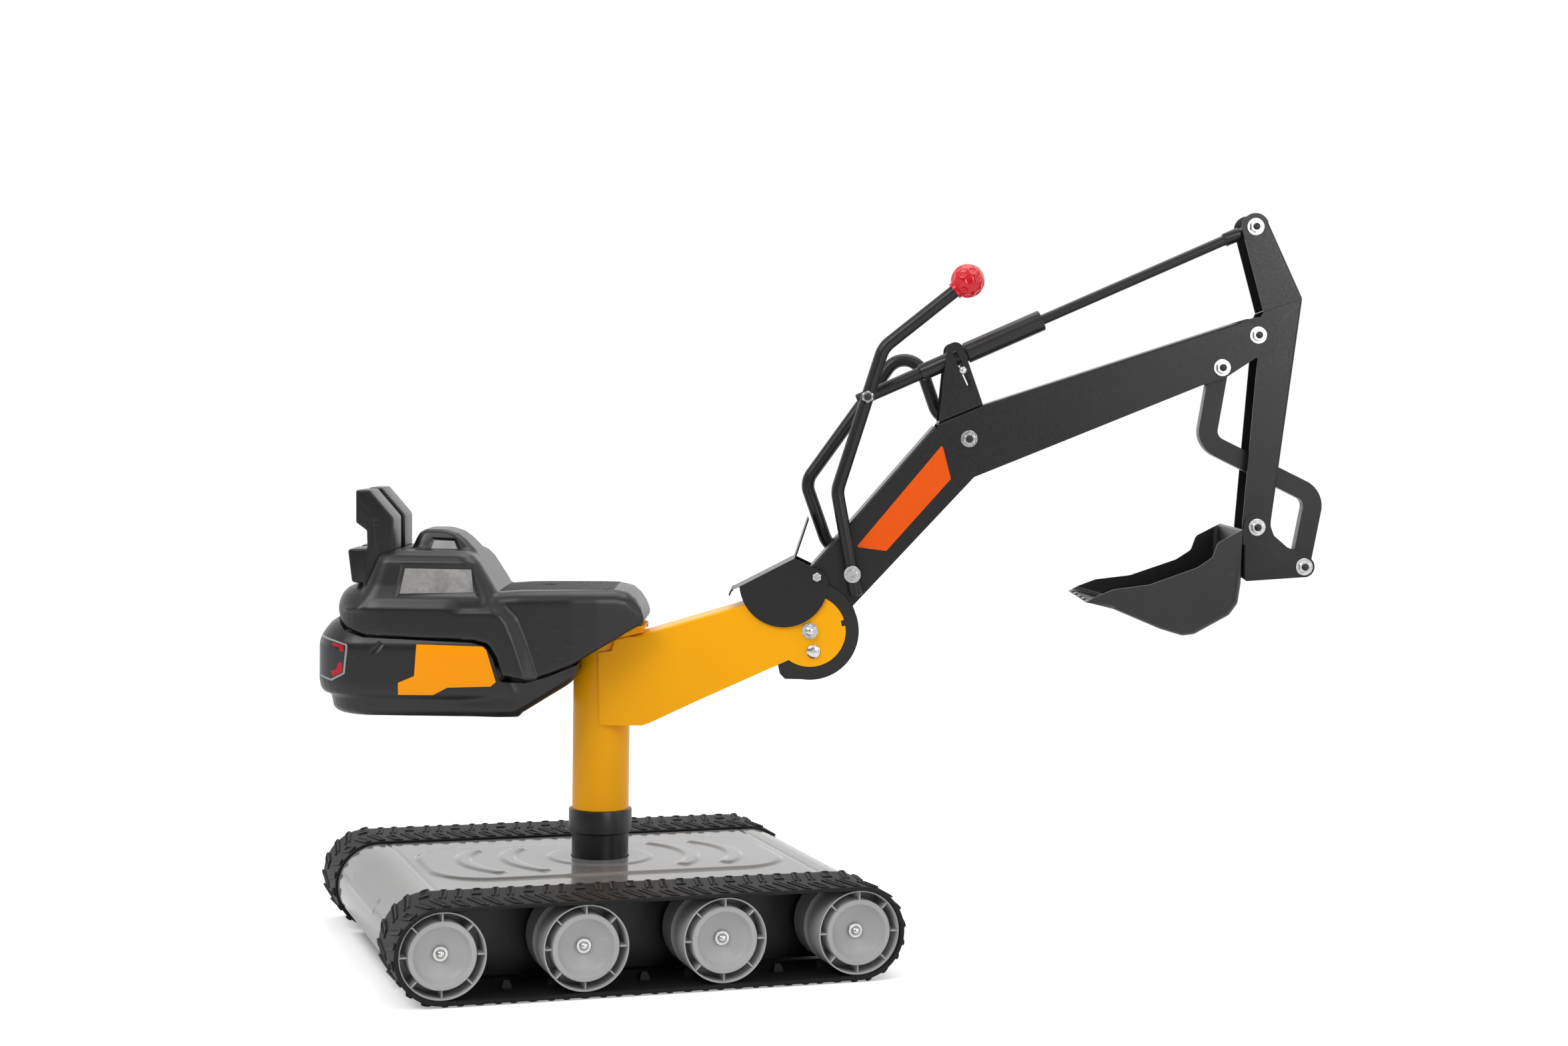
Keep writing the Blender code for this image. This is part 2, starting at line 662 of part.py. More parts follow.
def make_post():
    flange_top = CHASSIS_TOP - CHASSIS_WALL - RUN
    post = turned([(0.0, POST_TOP + SPIGOT_LENGTH), (SPIGOT_RADIUS - 1.5 * MM, POST_TOP + SPIGOT_LENGTH),
                   (SPIGOT_RADIUS, POST_TOP + SPIGOT_LENGTH - 1.5 * MM), (SPIGOT_RADIUS, POST_TOP),
                   (POST_RADIUS, POST_TOP), (POST_RADIUS, flange_top), (POST_FLANGE_RADIUS, flange_top),
                   (POST_FLANGE_RADIUS, flange_top - POST_FLANGE), (0.0, flange_top - POST_FLANGE)],
                  ROUND_SIDES)
    place(post, "pivot_post", base, BLACK_STEEL)


def make_axles():
    outside = WHEEL_OUTER - DISH_DEPTH + RUN
    for number, x in enumerate(axle_places(), 1):
        steps = [(-outside - 8.0 * MM, 0.0), (-outside - 1.5 * MM, HEX_RADIUS * 0.72),
                 (-outside, HEX_RADIUS), (-WHEEL_INNER + RUN, AXLE_RADIUS),
                 (-CHASSIS_HALF_WIDTH - RUN, SPACER_RADIUS), (CHASSIS_HALF_WIDTH + RUN, AXLE_RADIUS),
                 (WHEEL_INNER - RUN, SPACER_RADIUS), (outside, AXLE_RADIUS),
                 (outside + 1.5 * MM, HEX_RADIUS), (outside + 8.0 * MM, HEX_RADIUS * 0.72)]
        axle = shape(stacked(steps, rounds=(1, 3, 5, 7)), Matrix.Translation((x, 0, HUB_HEIGHT)))
        place(axle, f"axle_{number}", base, ZINC)


def make_wheel():
    """A wheel about its own axis, its dished face towards -Y."""
    half = WHEEL_WIDTH / 2
    floor = half - DISH_DEPTH
    profile = [(AXLE_RADIUS + 0.6 * MM, floor),
               (RIB_RING_RADIUS - RIB_RING_WALL, floor), (RIB_RING_RADIUS - RIB_RING_WALL, half - 1 * MM),
               (RIB_RING_RADIUS, half - 1 * MM), (RIB_RING_RADIUS, floor),
               (WHEEL_RADIUS - RIM_WALL, floor), (WHEEL_RADIUS - RIM_WALL, half), (WHEEL_RADIUS, half),
               (WHEEL_RADIUS, GROOVE_WIDTH / 2), (GROOVE_RADIUS, GROOVE_WIDTH / 2),
               (GROOVE_RADIUS, -GROOVE_WIDTH / 2), (WHEEL_RADIUS, -GROOVE_WIDTH / 2),
               (WHEEL_RADIUS, -half), (AXLE_RADIUS + 0.6 * MM, -half)]
    wheel = turned(profile, WHEEL_SIDES, ring=True)
    inner_reach = RIB_RING_RADIUS - RIB_RING_WALL / 2
    outer_reach = (WHEEL_RADIUS - RIM_WALL / 2) * math.cos(math.pi / WHEEL_SIDES)
    ribs = []
    for i in range(RIB_COUNT):
        rib = box((inner_reach, outer_reach), (-RIB_THICKNESS / 2, RIB_THICKNESS / 2),
                  (floor - 1 * MM, half - 2 * MM))
        ribs.append(shape(rib, Matrix.Rotation(math.tau * (i + 0.5) / RIB_COUNT, 4, 'Z')))
    return shape(joined(wheel, grouped(ribs)), Matrix.Rotation(math.pi / 2, 4, 'X'))


def make_wheels():
    pattern = make_wheel()
    middle = (WHEEL_INNER + WHEEL_OUTER) / 2
    for side, sign in (("right", -1), ("left", 1)):
        for number, x in enumerate(axle_places(), 1):
            frame = joint_frame(f"wheel_{side}_{number}_frame", base, (x, sign * middle, HUB_HEIGHT))
            wheel = bpy.data.objects.new("wheel", pattern.data.copy())
            if sign > 0:
                shape(wheel, Matrix.Rotation(math.pi, 4, 'Z'))
            place(wheel, f"wheel_{side}_{number}", frame, GREY_WHEEL)
    bpy.data.objects.remove(pattern)


def loop_point(distance, radius):
    """Point and outward normal at a distance along the belt's loop, measured on one radius."""
    straight = 2 * HALF_BASE
    bend = math.pi * radius
    distance %= 2 * (straight + bend)
    if distance < straight:
        return HALF_BASE - distance, HUB_HEIGHT + radius, 0.0, 1.0
    distance -= straight
    if distance < bend:
        angle = math.pi / 2 + distance / radius
        nx, nz = math.cos(angle), math.sin(angle)
        return -HALF_BASE + radius * nx, HUB_HEIGHT + radius * nz, nx, nz
    distance -= bend
    if distance < straight:
        return -HALF_BASE + distance, HUB_HEIGHT - radius, 0.0, -1.0
    angle = 3 * math.pi / 2 + (distance - straight) / radius
    nx, nz = math.cos(angle), math.sin(angle)
    return HALF_BASE + radius * nx, HUB_HEIGHT + radius * nz, nx, nz


def belt_ring(y, shift):
    """The belt's outer line across its lugs, at one place across its width."""
    radius = WHEEL_RADIUS + RUN + BELT_WALL
    length = 2 * (2 * HALF_BASE + math.pi * radius)
    pitch = length / LUG_COUNT
    points = []
    for i in range(LUG_COUNT):
        for share, height in ((0.0, 0.0), (0.06, LUG_HEIGHT), (LUG_SHARE - 0.06, LUG_HEIGHT), (LUG_SHARE, 0.0)):
            x, z, nx, nz = loop_point(i * pitch + share * pitch + shift, radius)
            points.append((x + nx * height, y, z + nz * height))
    return points


def make_belt():
    """One belt about its own middle plane: chevron lugs outside, driving teeth inside."""
    half = WHEEL_WIDTH / 2 + BELT_OVERHANG
    carcass = loft([belt_ring(-half, 0.0), belt_ring(0.0, LUG_SWEEP), belt_ring(half, 0.0)])
    inner_radius = WHEEL_RADIUS + RUN
    inside = arc((-HALF_BASE, HUB_HEIGHT), inner_radius, 90, 270, 16)
    inside += arc((HALF_BASE, HUB_HEIGHT), inner_radius, -90, 90, 16)
    belt = cut(carcass, flat_solid(inside, -half * 1.1, half * 1.1))
    length = 2 * (2 * HALF_BASE + math.pi * inner_radius)
    teeth = []
    for i in range(TOOTH_COUNT):
        x, z, nx, nz = loop_point(length * (i + 0.5) / TOOTH_COUNT, inner_radius)
        tooth = cylinder(TOOTH_BASE / math.sqrt(2), (0, 0, 1 * MM), (0, 0, -TOOTH_HEIGHT), 4,
                         TOOTH_TOP / math.sqrt(2))
        shape(tooth, Matrix.Rotation(math.pi / 4, 4, 'Z'))
        shape(tooth, Matrix.Diagonal((1, TOOTH_WIDTH / TOOTH_BASE, 1, 1)))
        turn = Matrix.Rotation(math.atan2(nx, nz), 4, 'Y')
        teeth.append(shape(tooth, Matrix.Translation((x, 0, z)) @ turn))
    return joined(belt, grouped(teeth))


def make_belts():
    pattern = make_belt()
    middle = (WHEEL_INNER + WHEEL_OUTER) / 2
    for side, sign in (("right", -1), ("left", 1)):
        belt = bpy.data.objects.new("belt", pattern.data.copy())
        shape(belt, Matrix.Translation((0, sign * middle, 0)))
        place(belt, f"track_{side}", base, RUBBER)
    bpy.data.objects.remove(pattern)


# ---- superstructure ---------------------------------------------------------------------
def make_column():
    inside = COLUMN_RADIUS - COLUMN_WALL
    column = turned([(inside, COLUMN_TOP), (COLUMN_RADIUS, COLUMN_TOP), (COLUMN_RADIUS, COLUMN_BOTTOM),
                     (inside, COLUMN_BOTTOM)], ROUND_SIDES, ring=True)
    place(column, "column", upper, YELLOW)
    bore = COLUMN_RADIUS + RUN
    lip = SPIGOT_RADIUS + RUN
    top = COLLAR_BOTTOM + COLLAR_HEIGHT
    collar = turned([(bore, top), (bore + COLLAR_WALL - 1 * MM, top), (bore + COLLAR_WALL, top - 1 * MM),
                     (bore + COLLAR_WALL, COLLAR_BOTTOM), (lip, COLLAR_BOTTOM),
                     (lip, COLLAR_BOTTOM + COLLAR_LIP), (bore, COLLAR_BOTTOM + COLLAR_LIP)],
                    ROUND_SIDES, ring=True)
    place(collar, "bearing_collar", upper, BLACK_PLASTIC)


def make_arm():
    """The yellow channel from the column to the main pivot, about the main pivot."""
    radius = ARM_END_RADIUS
    top = mm((-70.0, 23.2), (-109.6, 11.0), (-156.3, -3.5), (-176.0, -8.34), (-190.1, -11.8))
    start = tangent_angle(top[0], (0, 0), radius, -1)
    half_notch = math.degrees(3.0 * MM / radius)
    rim = arc((0, 0), radius, -125, NUB_ANGLE - half_notch, 8)
    rim += arc((0, 0), radius - NUB_DEPTH, NUB_ANGLE - half_notch, NUB_ANGLE + half_notch, 1)
    rim += arc((0, 0), radius, NUB_ANGLE + half_notch, start, 6)
    web_end = (ARM_WEB_END, top[0][1] + (ARM_WEB_END - top[0][0]) * math.tan(math.radians(17.1)))
    back = mm((-193.2, -22.3), (-206.2, -24.4), (-204.2, -95.1), (-162.6, -95.1), (-155.3, -92.4),
              (-108.6, -69.9))
    outline = rim + [web_end] + top + back
    first = len(rim)
    arm = channel(outline, range(first, first + 4), ARM_INNER, ARM_OUTER, ARM_SHEET, FOLD_RADIUS)
    reach = ARM_OUTER * 1.2
    arm = cut(arm, cross_hole((0, 0), BOLT_HOLE, reach), cross_hole(GUARD_SCREW, SCREW_RADIUS + RUN, reach))
    shape(arm, Matrix.Translation(MAIN_PIVOT))
    place(arm, "arm", upper, YELLOW)


def make_pivot_guard():
    """Black discs between arm and boom, with a rim round the arm's end and a lip below the boom."""
    inner = ARM_END_RADIUS + 0.4 * MM
    foot = mm((-23.6, -47.3), (-28.6, -42.3), (-30.6, -34.2))
    outline = arc((0, 0), GUARD_RADIUS, 104, -98, 14) + foot + mm((-30.0, 0.0))
    outline += arc((0, 0), 30.0 * MM, 180, 104, 4)
    guard = flat_solid(outline[::-1], -ARM_OUTER, ARM_OUTER)
    lip = arc((0, 0), GUARD_RADIUS - GUARD_RIM, -25, -118, 6)
    far = 90.0 * MM
    middle = lip + [(-far, lip[-1][1]), (-far, far), (far, far), (far, -far * math.tan(math.radians(25)))]
    guard = cut(guard, flat_solid(middle[::-1], -GUARD_INNER, GUARD_INNER))
    nub = math.degrees(3.0 * MM / ARM_END_RADIUS) * 0.86
    bed = arc((0, 0), inner, -124.4, NUB_ANGLE - nub, 8)
    bed += arc((0, 0), inner - NUB_DEPTH + RUN, NUB_ANGLE - nub, NUB_ANGLE + nub, 1)
    bed += arc((0, 0), inner, NUB_ANGLE + nub, 104, 6)
    bed += [(0.25 * -far, far), (-far, far), (-far, -34.2 * MM - 0.6 * far * 0.42), (-30.7 * MM, -34.15 * MM)]
    for sign in (-1, 1):
        guard = cut(guard, flat_solid(bed, sign * GUARD_OUTER, sign * ARM_OUTER * 1.2))
    guard = cut(guard, cross_hole((0, 0), BOLT_HOLE, far), cross_hole(GUARD_SCREW, SCREW_RADIUS + RUN, far))
    shape(guard, Matrix.Translation(MAIN_PIVOT))
    place(guard, "pivot_guard", upper, BLACK_PLASTIC)


def make_main_pivot():
    bolt = through_bolt(-ARM_OUTER, ARM_OUTER, washer=MAIN_NUT_RADIUS)
    place(shape(bolt, Matrix.Translation(MAIN_PIVOT)), "main_pivot_bolt", upper, ZINC)
    for name, sign in (("guard_screw_right", -1), ("guard_screw_left", 1)):
        face = ARM_OUTER + RUN
        steps = [(face + SCREW_HEAD_HEIGHT, 0.0), (face + SCREW_HEAD_HEIGHT / 2, SCREW_HEAD_RADIUS * 0.7),
                 (face, SCREW_HEAD_RADIUS), (GUARD_INNER + 0.1 * MM, SCREW_RADIUS)]
        screw = stacked([(sign * y, radius) for y, radius in steps], rounds=(0, 1))
        place(shape(screw, Matrix.Translation(MAIN_PIVOT + GUARD_SCREW)), name, upper, ZINC)


# ---- boom -------------------------------------------------------------------------------
def make_lower_boom():
    top_left = (-0.4 * MM, 61.3 * MM)
    elbow = (41.9 * MM, 25.0 * MM)
    start = tangent_angle(top_left, (0, 0), LOWER_BOOM_LOBE, 1)
    end = tangent_angle(elbow, (0, 0), LOWER_BOOM_LOBE, -1)
    outline = [top_left] + arc((0, 0), LOWER_BOOM_LOBE, start, 360 + end, 10) + [elbow]
    outline += mm((158.9, 153.2), (162.4, 156.7), (161.5, 162.7), (118.7, 201.2))
    piece = channel(outline, [len(outline) - 1], BOOM_INNER, BOOM_OUTER, SHEET, FOLD_RADIUS)
    reach = BOOM_OUTER * 1.2
    holes = [cross_hole(spot, BOLT_HOLE, reach) for spot in ((0, 0), LEVER_PIVOT, GUARD_BOLT)]
    place(cut(piece, grouped(holes)), "boom_lower", boom, YELLOW)


def make_upper_boom():
    tip = (BOOM_TIP.x, BOOM_TIP.z)
    lug = (LINK_PIVOT.x, LINK_PIVOT.z)
    under = (378.7 * MM, 244.7 * MM)
    outline = mm((122.4, 203.9), (112.0, 173.0), (128.0, 139.5), (160.0, 153.0), (206.7, 172.5)) + [under]
    outline += arc(lug, LINK_LUG_RADIUS, tangent_angle(under, lug, LINK_LUG_RADIUS, 1), -56, 2)
    outline += arc(tip, BOOM_TIP_RADIUS, -56, 104, 8)
    outline += mm((411.0, 305.9), (166.7, 222.8))
    count = len(outline)
    piece = channel(outline, [count - 2, count - 1], UPPER_INNER, UPPER_OUTER, SHEET, FOLD_RADIUS)
    reach = UPPER_OUTER * 1.2
    holes = [cross_hole(spot, BOLT_HOLE, reach) for spot in (BOOM_TIP, LINK_PIVOT, KNEE_BOLT)]
    place(cut(piece, grouped(holes)), "boom_upper", boom, YELLOW)


def stop_place():
    """Where the stop bolt sits in its slot: just under the push rod's thin sleeve."""
    top = Vector((137.6, 272.4)) * MM
    bottom = Vector((151.7, 242.7)) * MM
    along = (top - bottom).normalized()
    pin = Vector((ROD_PIN.x, ROD_PIN.z))
    across = Vector((-math.sin(ROD_ANGLE), math.cos(ROD_ANGLE)))
    wanted = -(THIN_SLEEVE_RADIUS + STOP_HEAD + STOP_GAP)
    travel = (wanted - (bottom - pin).dot(across)) / along.dot(across)
    return bottom + along * travel


def make_slot_bracket():
    foot_left = Vector((122.4, 203.9)) * MM
    foot_right = Vector((166.7, 222.8)) * MM
    lift = Vector(normal_of(foot_left, foot_right)) * RUN
    run_in = (foot_right - foot_left).normalized() * 1.0 * MM
    left = foot_left + lift + run_in
    right = foot_right + lift - run_in
    top = (137.7 * MM, 274.7 * MM)
    radius = 8.5 * MM
    outline = [tuple(left), tuple(right)]
    outline += arc(top, radius, tangent_angle(right, top, radius, 1), tangent_angle(left, top, radius, -1) + 360, 6)
    bracket = channel(outline, [0], UPPER_INNER, UPPER_OUTER, SHEET, FOLD_RADIUS)
    slot = rounded_slot(Vector((137.6, 272.4)) * MM, Vector((151.7, 242.7)) * MM, SLOT_RADIUS)
    place(cut(bracket, flat_solid(slot, -UPPER_OUTER * 1.2, UPPER_OUTER * 1.2)), "slot_bracket", boom, YELLOW)
    spot = stop_place()
    steps = [(-UPPER_OUTER - RUN - 3.5 * MM, 0.0), (-UPPER_OUTER - RUN, STOP_HEAD),
             (-UPPER_INNER + RUN, STOP_SHAFT), (UPPER_INNER - RUN, STOP_RADIUS),
             (UPPER_OUTER + RUN, STOP_SHAFT), (UPPER_OUTER + RUN + 3.2 * MM, STOP_HEAD),
             (UPPER_OUTER + RUN + 5.5 * MM, STOP_SHAFT)]
    bolt = shape(stacked(steps, rounds=(2,)), Matrix.Translation((spot.x, 0, spot.y)))
    place(bolt, "stop_bolt", boom, ZINC)


def rounded_slot(first, second, radius):
    """Outline of a straight slot with round ends."""
    direction = second - first
    heading = math.degrees(math.atan2(direction.y, direction.x))
    outline = arc(first, radius, heading + 90, heading + 270, 5)
    return outline + arc(second, radius, heading - 90, heading + 90, 5)


def make_hood():
    """Sheet guard over the joint of arm and boom: two half discs and a bent top with a flap."""
    centre = (HOOD_CENTRE.x, HOOD_CENTRE.z)
    hook = (-77.7 * MM, 38.3 * MM)
    bend = (-16.0 * MM, 70.7 * MM)
    shoulder = (11.8 * MM, 57.8 * MM)
    outline = [hook] + arc(centre, HOOD_RADIUS, 186, 366, 12) + [shoulder, bend]
    hood = channel(outline, [len(outline) - 1], HOOD_INNER, HOOD_OUTER, HOOD_SHEET, FOLD_RADIUS)
    half = HOOD_INNER - 1.0 * MM
    flap = band([(-15.8 * MM, 69.2 * MM), (-2.9 * MM, 109.0 * MM)], HOOD_SHEET / 2)
    lip = band([(-76.6 * MM, 38.2 * MM), (-79.4 * MM, 33.4 * MM)], HOOD_SHEET / 2)
    hood = joined(hood, flat_solid(flap, -half, half), flat_solid(lip, -half, half))
    shift = GUARD_BOLT_HEADING * (GUARD_RADIUS - HOOD_DATUM)
    if shift.length > 0:
        shape(hood, Matrix.Translation(shift))
    hood = cut(hood, cross_hole(GUARD_BOLT, BOLT_HOLE, HOOD_OUTER * 1.2))
    place(hood, "guard_hood", boom, BLACK_STEEL)
    spacers = [(-HOOD_INNER + RUN, -BOOM_OUTER - RUN, GUARD_SPACER_RADIUS),
               (BOOM_OUTER + RUN, HOOD_INNER - RUN, GUARD_SPACER_RADIUS)]
    bolt = through_bolt(-HOOD_OUTER, HOOD_OUTER, spacers, washer=HEX_RADIUS)
    place(shape(bolt, Matrix.Translation(GUARD_BOLT)), "guard_bolt", boom, ZINC)


def make_boom_bolts():
    tube_outer = TUBE_PLANE + TUBE_RADIUS
    bolt = through_bolt(-tube_outer, tube_outer)
    place(shape(bolt, Matrix.Translation(LEVER_PIVOT)), "lever_bolt", boom, ZINC)
    knee_spacer = (UPPER_OUTER + RUN, TUBE_PLANE - TUBE_RADIUS - RUN, BOLT_RADIUS * 1.6)
    bolt = through_bolt(-UPPER_OUTER, tube_outer, [knee_spacer])
    place(shape(bolt, Matrix.Translation(KNEE_BOLT)), "knee_bolt", boom, ZINC)
    bolt = through_bolt(-UPPER_OUTER, UPPER_OUTER)
    place(shape(bolt, Matrix.Translation(BOOM_TIP)), "tip_pivot_bolt", boom, ZINC)
    side = LINK_HALF_THICKNESS + RUN
    spacers = [(-UPPER_INNER + RUN, -side, BOLT_RADIUS * 1.7), (side, UPPER_INNER - RUN, BOLT_RADIUS * 1.7)]
    bolt = through_bolt(-UPPER_OUTER, UPPER_OUTER, spacers)
    place(shape(bolt, Matrix.Translation(LINK_PIVOT)), "link_bolt", boom, ZINC)


def make_grab_handle():
    y = TUBE_PLANE
    path = [(46.6, 48.4), (15.2, 86.6), (-5.5, 143.4), (97.0, 289.0), (123.5, 216.0), (158.5, 184.0)]
    points = [(x * MM, y, z * MM) for x, z in path]
    handle = tube(points, TUBE_RADIUS, HANDLE_BEND)
    holes = [cross_hole(spot, BOLT_HOLE, TUBE_RADIUS * 1.5, middle=y) for spot in (LEVER_PIVOT, KNEE_BOLT)]
    place(cut(handle, *holes), "grab_handle", boom, BLACK_STEEL)


# ---- lever and push rod -----------------------------------------------------------------
def make_lever():
    y = -TUBE_PLANE
    path = mm((44.0, 37.8), (24.6, 137.2), (67.5, 276.7), (147.9, 342.2))
    path = [(x - LEVER_PIVOT.x, y, z - LEVER_PIVOT.z) for x, z in path]
    ball_centre = Vector(path[-1])
    heading = (ball_centre - Vector(path[-2])).normalized()
    points = path[:-1] + [tuple(ball_centre - heading * 6.0 * MM)]
    stick = tube(points, TUBE_RADIUS, LEVER_BEND)
    pin = ROD_PIN - LEVER_PIVOT
    holes = [cross_hole((0, 0), BOLT_HOLE, TUBE_RADIUS * 1.5, middle=y),
             cross_hole(pin, BOLT_HOLE, TUBE_RADIUS * 1.5, middle=y)]
    place(cut(stick, *holes), "lever_tube", lever, BLACK_STEEL)
    ball_mesh = bmesh.new()
    bmesh.ops.create_uvsphere(ball_mesh, u_segments=14, v_segments=8, radius=BALL_RADIUS,
                              matrix=Matrix.Translation(ball_centre))
    ball = from_bmesh(ball_mesh)
    socket = cylinder(TUBE_RADIUS + RUN, ball_centre - heading * 2 * BALL_RADIUS,
                      ball_centre - heading * (6.0 * MM - RUN), 12)
    place(cut(ball, socket), "lever_ball", lever, RED)
    foot = Vector(path[0])
    down = (foot - Vector(path[1])).normalized()
    cap = cylinder(TUBE_RADIUS, foot + down * RUN, foot + down * (RUN + 2.5 * MM), 12, TUBE_RADIUS * 0.85)
    place(cap, "lever_end_cap", lever, BLACK_PLASTIC)
    near = -TUBE_PLANE - TUBE_RADIUS
    rod_near = ROD_PLANE - ROD_FOOT_RADIUS
    rod_far = ROD_PLANE + ROD_FOOT_RADIUS
    spacer = (-TUBE_PLANE + TUBE_RADIUS + RUN, rod_near - RUN, BOLT_RADIUS * 1.7)
    bolt = through_bolt(near, rod_far, [spacer], washer=HEX_RADIUS)
    place(shape(bolt, Matrix.Translation(pin)), "rod_pin_bolt", lever, ZINC)


def lathed_along_x(profile, sides, ring=False):
    """A turned piece lying along X in the push rod's plane; heights become distances along it."""
    lying = Matrix.Translation((0, ROD_PLANE, 0)) @ Matrix.Rotation(math.pi / 2, 4, 'Y')
    return shape(turned(profile, sides, ring), lying)


def make_push_rod():
    rod_end = ROD_LENGTH - SOCKET_LENGTH - 13.8 * MM
    bar = lathed_along_x([(0.0, rod_end), (ROD_RADIUS, rod_end), (ROD_RADIUS, ROD_FOOT_END),
                          (ROD_FOOT_RADIUS, ROD_FOOT_END), (ROD_FOOT_RADIUS, -10.0 * MM),
                          (0.0, -10.0 * MM)], 12)
    bar = cut(bar, cross_hole((0, 0), BOLT_HOLE, ROD_FOOT_RADIUS * 1.5, middle=ROD_PLANE))
    place(bar, "push_rod", rod, ZINC)
    bore = ROD_RADIUS + RUN
    start = ROD_FOOT_END + RUN
    sleeve = lathed_along_x([(bore, SLEEVE_END), (SLEEVE_RADIUS, SLEEVE_END), (SLEEVE_RADIUS, SLEEVE_STEP),
                             (bore, SLEEVE_STEP)], 16, ring=True)
    place(sleeve, "rod_sleeve", rod, BLACK_PLASTIC)
    foot = lathed_along_x([(bore, SLEEVE_STEP - RUN), (THIN_SLEEVE_RADIUS, SLEEVE_STEP - RUN),
                           (THIN_SLEEVE_RADIUS, start), (bore, start)], 16, ring=True)
    place(foot, "rod_sleeve_foot", rod, BLACK_PLASTIC)
    neck = ROD_LENGTH - EYE_RADIUS * 0.7
    socket = lathed_along_x([(0.0, neck), (SOCKET_RADIUS * 0.75, neck),
                             (SOCKET_RADIUS * 0.75, rod_end + SOCKET_LENGTH),
                             (SOCKET_RADIUS, rod_end + SOCKET_LENGTH - 2 * MM),
                             (SOCKET_RADIUS, rod_end + RUN), (0.0, rod_end + RUN)], 12)
    eye = cylinder(EYE_RADIUS, (ROD_LENGTH, ROD_PLANE - EYE_HALF_WIDTH, 0),
                   (ROD_LENGTH, ROD_PLANE + EYE_HALF_WIDTH, 0), 16)
    end = cut(joined(socket, eye), cross_hole((ROD_LENGTH, 0), EYE_BORE, EYE_HALF_WIDTH * 2, 16, ROD_PLANE))
    place(end, "rod_end", rod, ZINC)


# ---- dipper, link and bucket ------------------------------------------------------------
def make_dipper():
    head = (HEAD_PIN.x, HEAD_PIN.z)
    reach = DIPPER_OUTER * 1.2
    right_top = (8.0 * MM, 109.6 * MM)
    seam_right = (42.8 * MM, 36.4 * MM)
    seam_left = (5.0 * MM, 22.6 * MM)
    left_top = (-17.4 * MM, 89.6 * MM)
    outline = [seam_left, seam_right]
    outline += arc(head, HEAD_RADIUS, 18, tangent_angle(seam_left, head, HEAD_RADIUS, -1) + 360, 8)
    top = channel(outline, [1], DIPPER_INNER, DIPPER_OUTER, SHEET, FOLD_RADIUS)
    place(cut(top, cross_hole(head, BOLT_HOLE, reach)), "dipper_upper", dipper, YELLOW)
    foot = (BUCKET_PIVOT.x, BUCKET_PIVOT.z)
    right_foot = (17.3 * MM, -185.0 * MM)
    left_foot = (-9.8 * MM, -180.0 * MM)
    neck = (0.3 * MM, -22.0 * MM)
    lobe_end = tangent_angle(neck, (0, 0), DIPPER_LOBE, -1)
    outline = [(seam_right[0], seam_right[1] - RUN), (seam_left[0], seam_left[1] - RUN)]
    outline += arc((0, 0), DIPPER_LOBE, 84, lobe_end, 8) + [neck]
    outline += arc(foot, DIPPER_FOOT_RADIUS, tangent_angle(neck, foot, DIPPER_FOOT_RADIUS, 1), 360 + 8, 8)
    bottom = channel(outline, [len(outline) - 1], DIPPER_INNER, DIPPER_OUTER, SHEET, FOLD_RADIUS)
    slot = box((0, 60 * MM), (-LINK_HALF_THICKNESS - 1.5 * MM, LINK_HALF_THICKNESS + 1.5 * MM),
               (LINK_SLOT_BOTTOM, LINK_SLOT_TOP))
    bottom = cut(bottom, slot, cross_hole((0, 0), BOLT_HOLE, reach), cross_hole(foot, BOLT_HOLE, reach))
    place(bottom, "dipper_lower", dipper, YELLOW)
    eye_near = ROD_PLANE - EYE_HALF_WIDTH - RUN
    eye_far = ROD_PLANE + EYE_HALF_WIDTH + RUN
    spacers = [(-DIPPER_INNER + RUN, eye_near, BOLT_RADIUS * 1.9), (eye_far, DIPPER_INNER - RUN, BOLT_RADIUS * 1.9)]
    bolt = through_bolt(-DIPPER_OUTER, DIPPER_OUTER, spacers)
    place(shape(bolt, Matrix.Translation(HEAD_PIN)), "head_pin_bolt", dipper, ZINC)
    bolt = through_bolt(-BRACKET_OUTER, BRACKET_OUTER)
    place(shape(bolt, Matrix.Translation(BUCKET_PIVOT)), "bucket_pivot_bolt", dipper, ZINC)


def make_link():
    end = BOOM_TIP + BUCKET_PIVOT + REAR_PIN - LINK_PIVOT
    path = [(0.0, 0.0)] + mm((-11.3, -72.0), (96.5, -124.0)) + [(end.x, end.z)]
    strip = flat_solid(band(rounded_path(path, LINK_BEND), LINK_WIDTH / 2),
                       -LINK_HALF_THICKNESS, LINK_HALF_THICKNESS)
    half = LINK_HALF_THICKNESS
    ends = [cylinder(LINK_END_RADIUS, (x, -half, z), (x, half, z), 16) for x, z in ((0.0, 0.0), (end.x, end.z))]
    strip = joined(strip, *ends)
    strip = cut(strip, cross_hole((0, 0), BOLT_HOLE, half * 2, 16),
                cross_hole(end, LINK_LOOSE_BORE, half * 2, 16))
    place(strip, "s_link", link, BLACK_STEEL)


def bucket_half_width(x):
    """Half the bucket's width: it narrows from the mouth to the back."""
    mouth = -172.0 * MM
    back = -20.0 * MM
    share = min(max((x - mouth) / (back - mouth), 0.0), 1.0)
    return BUCKET_MOUTH_HALF + (BUCKET_BACK_HALF - BUCKET_MOUTH_HALF) * share


def tapered(solid, less=0.0):
    """Gives a slab of unit half-width the bucket's taper."""
    for vert in solid.data.vertices:
        vert.co.y *= bucket_half_width(vert.co.x) - less
    return solid


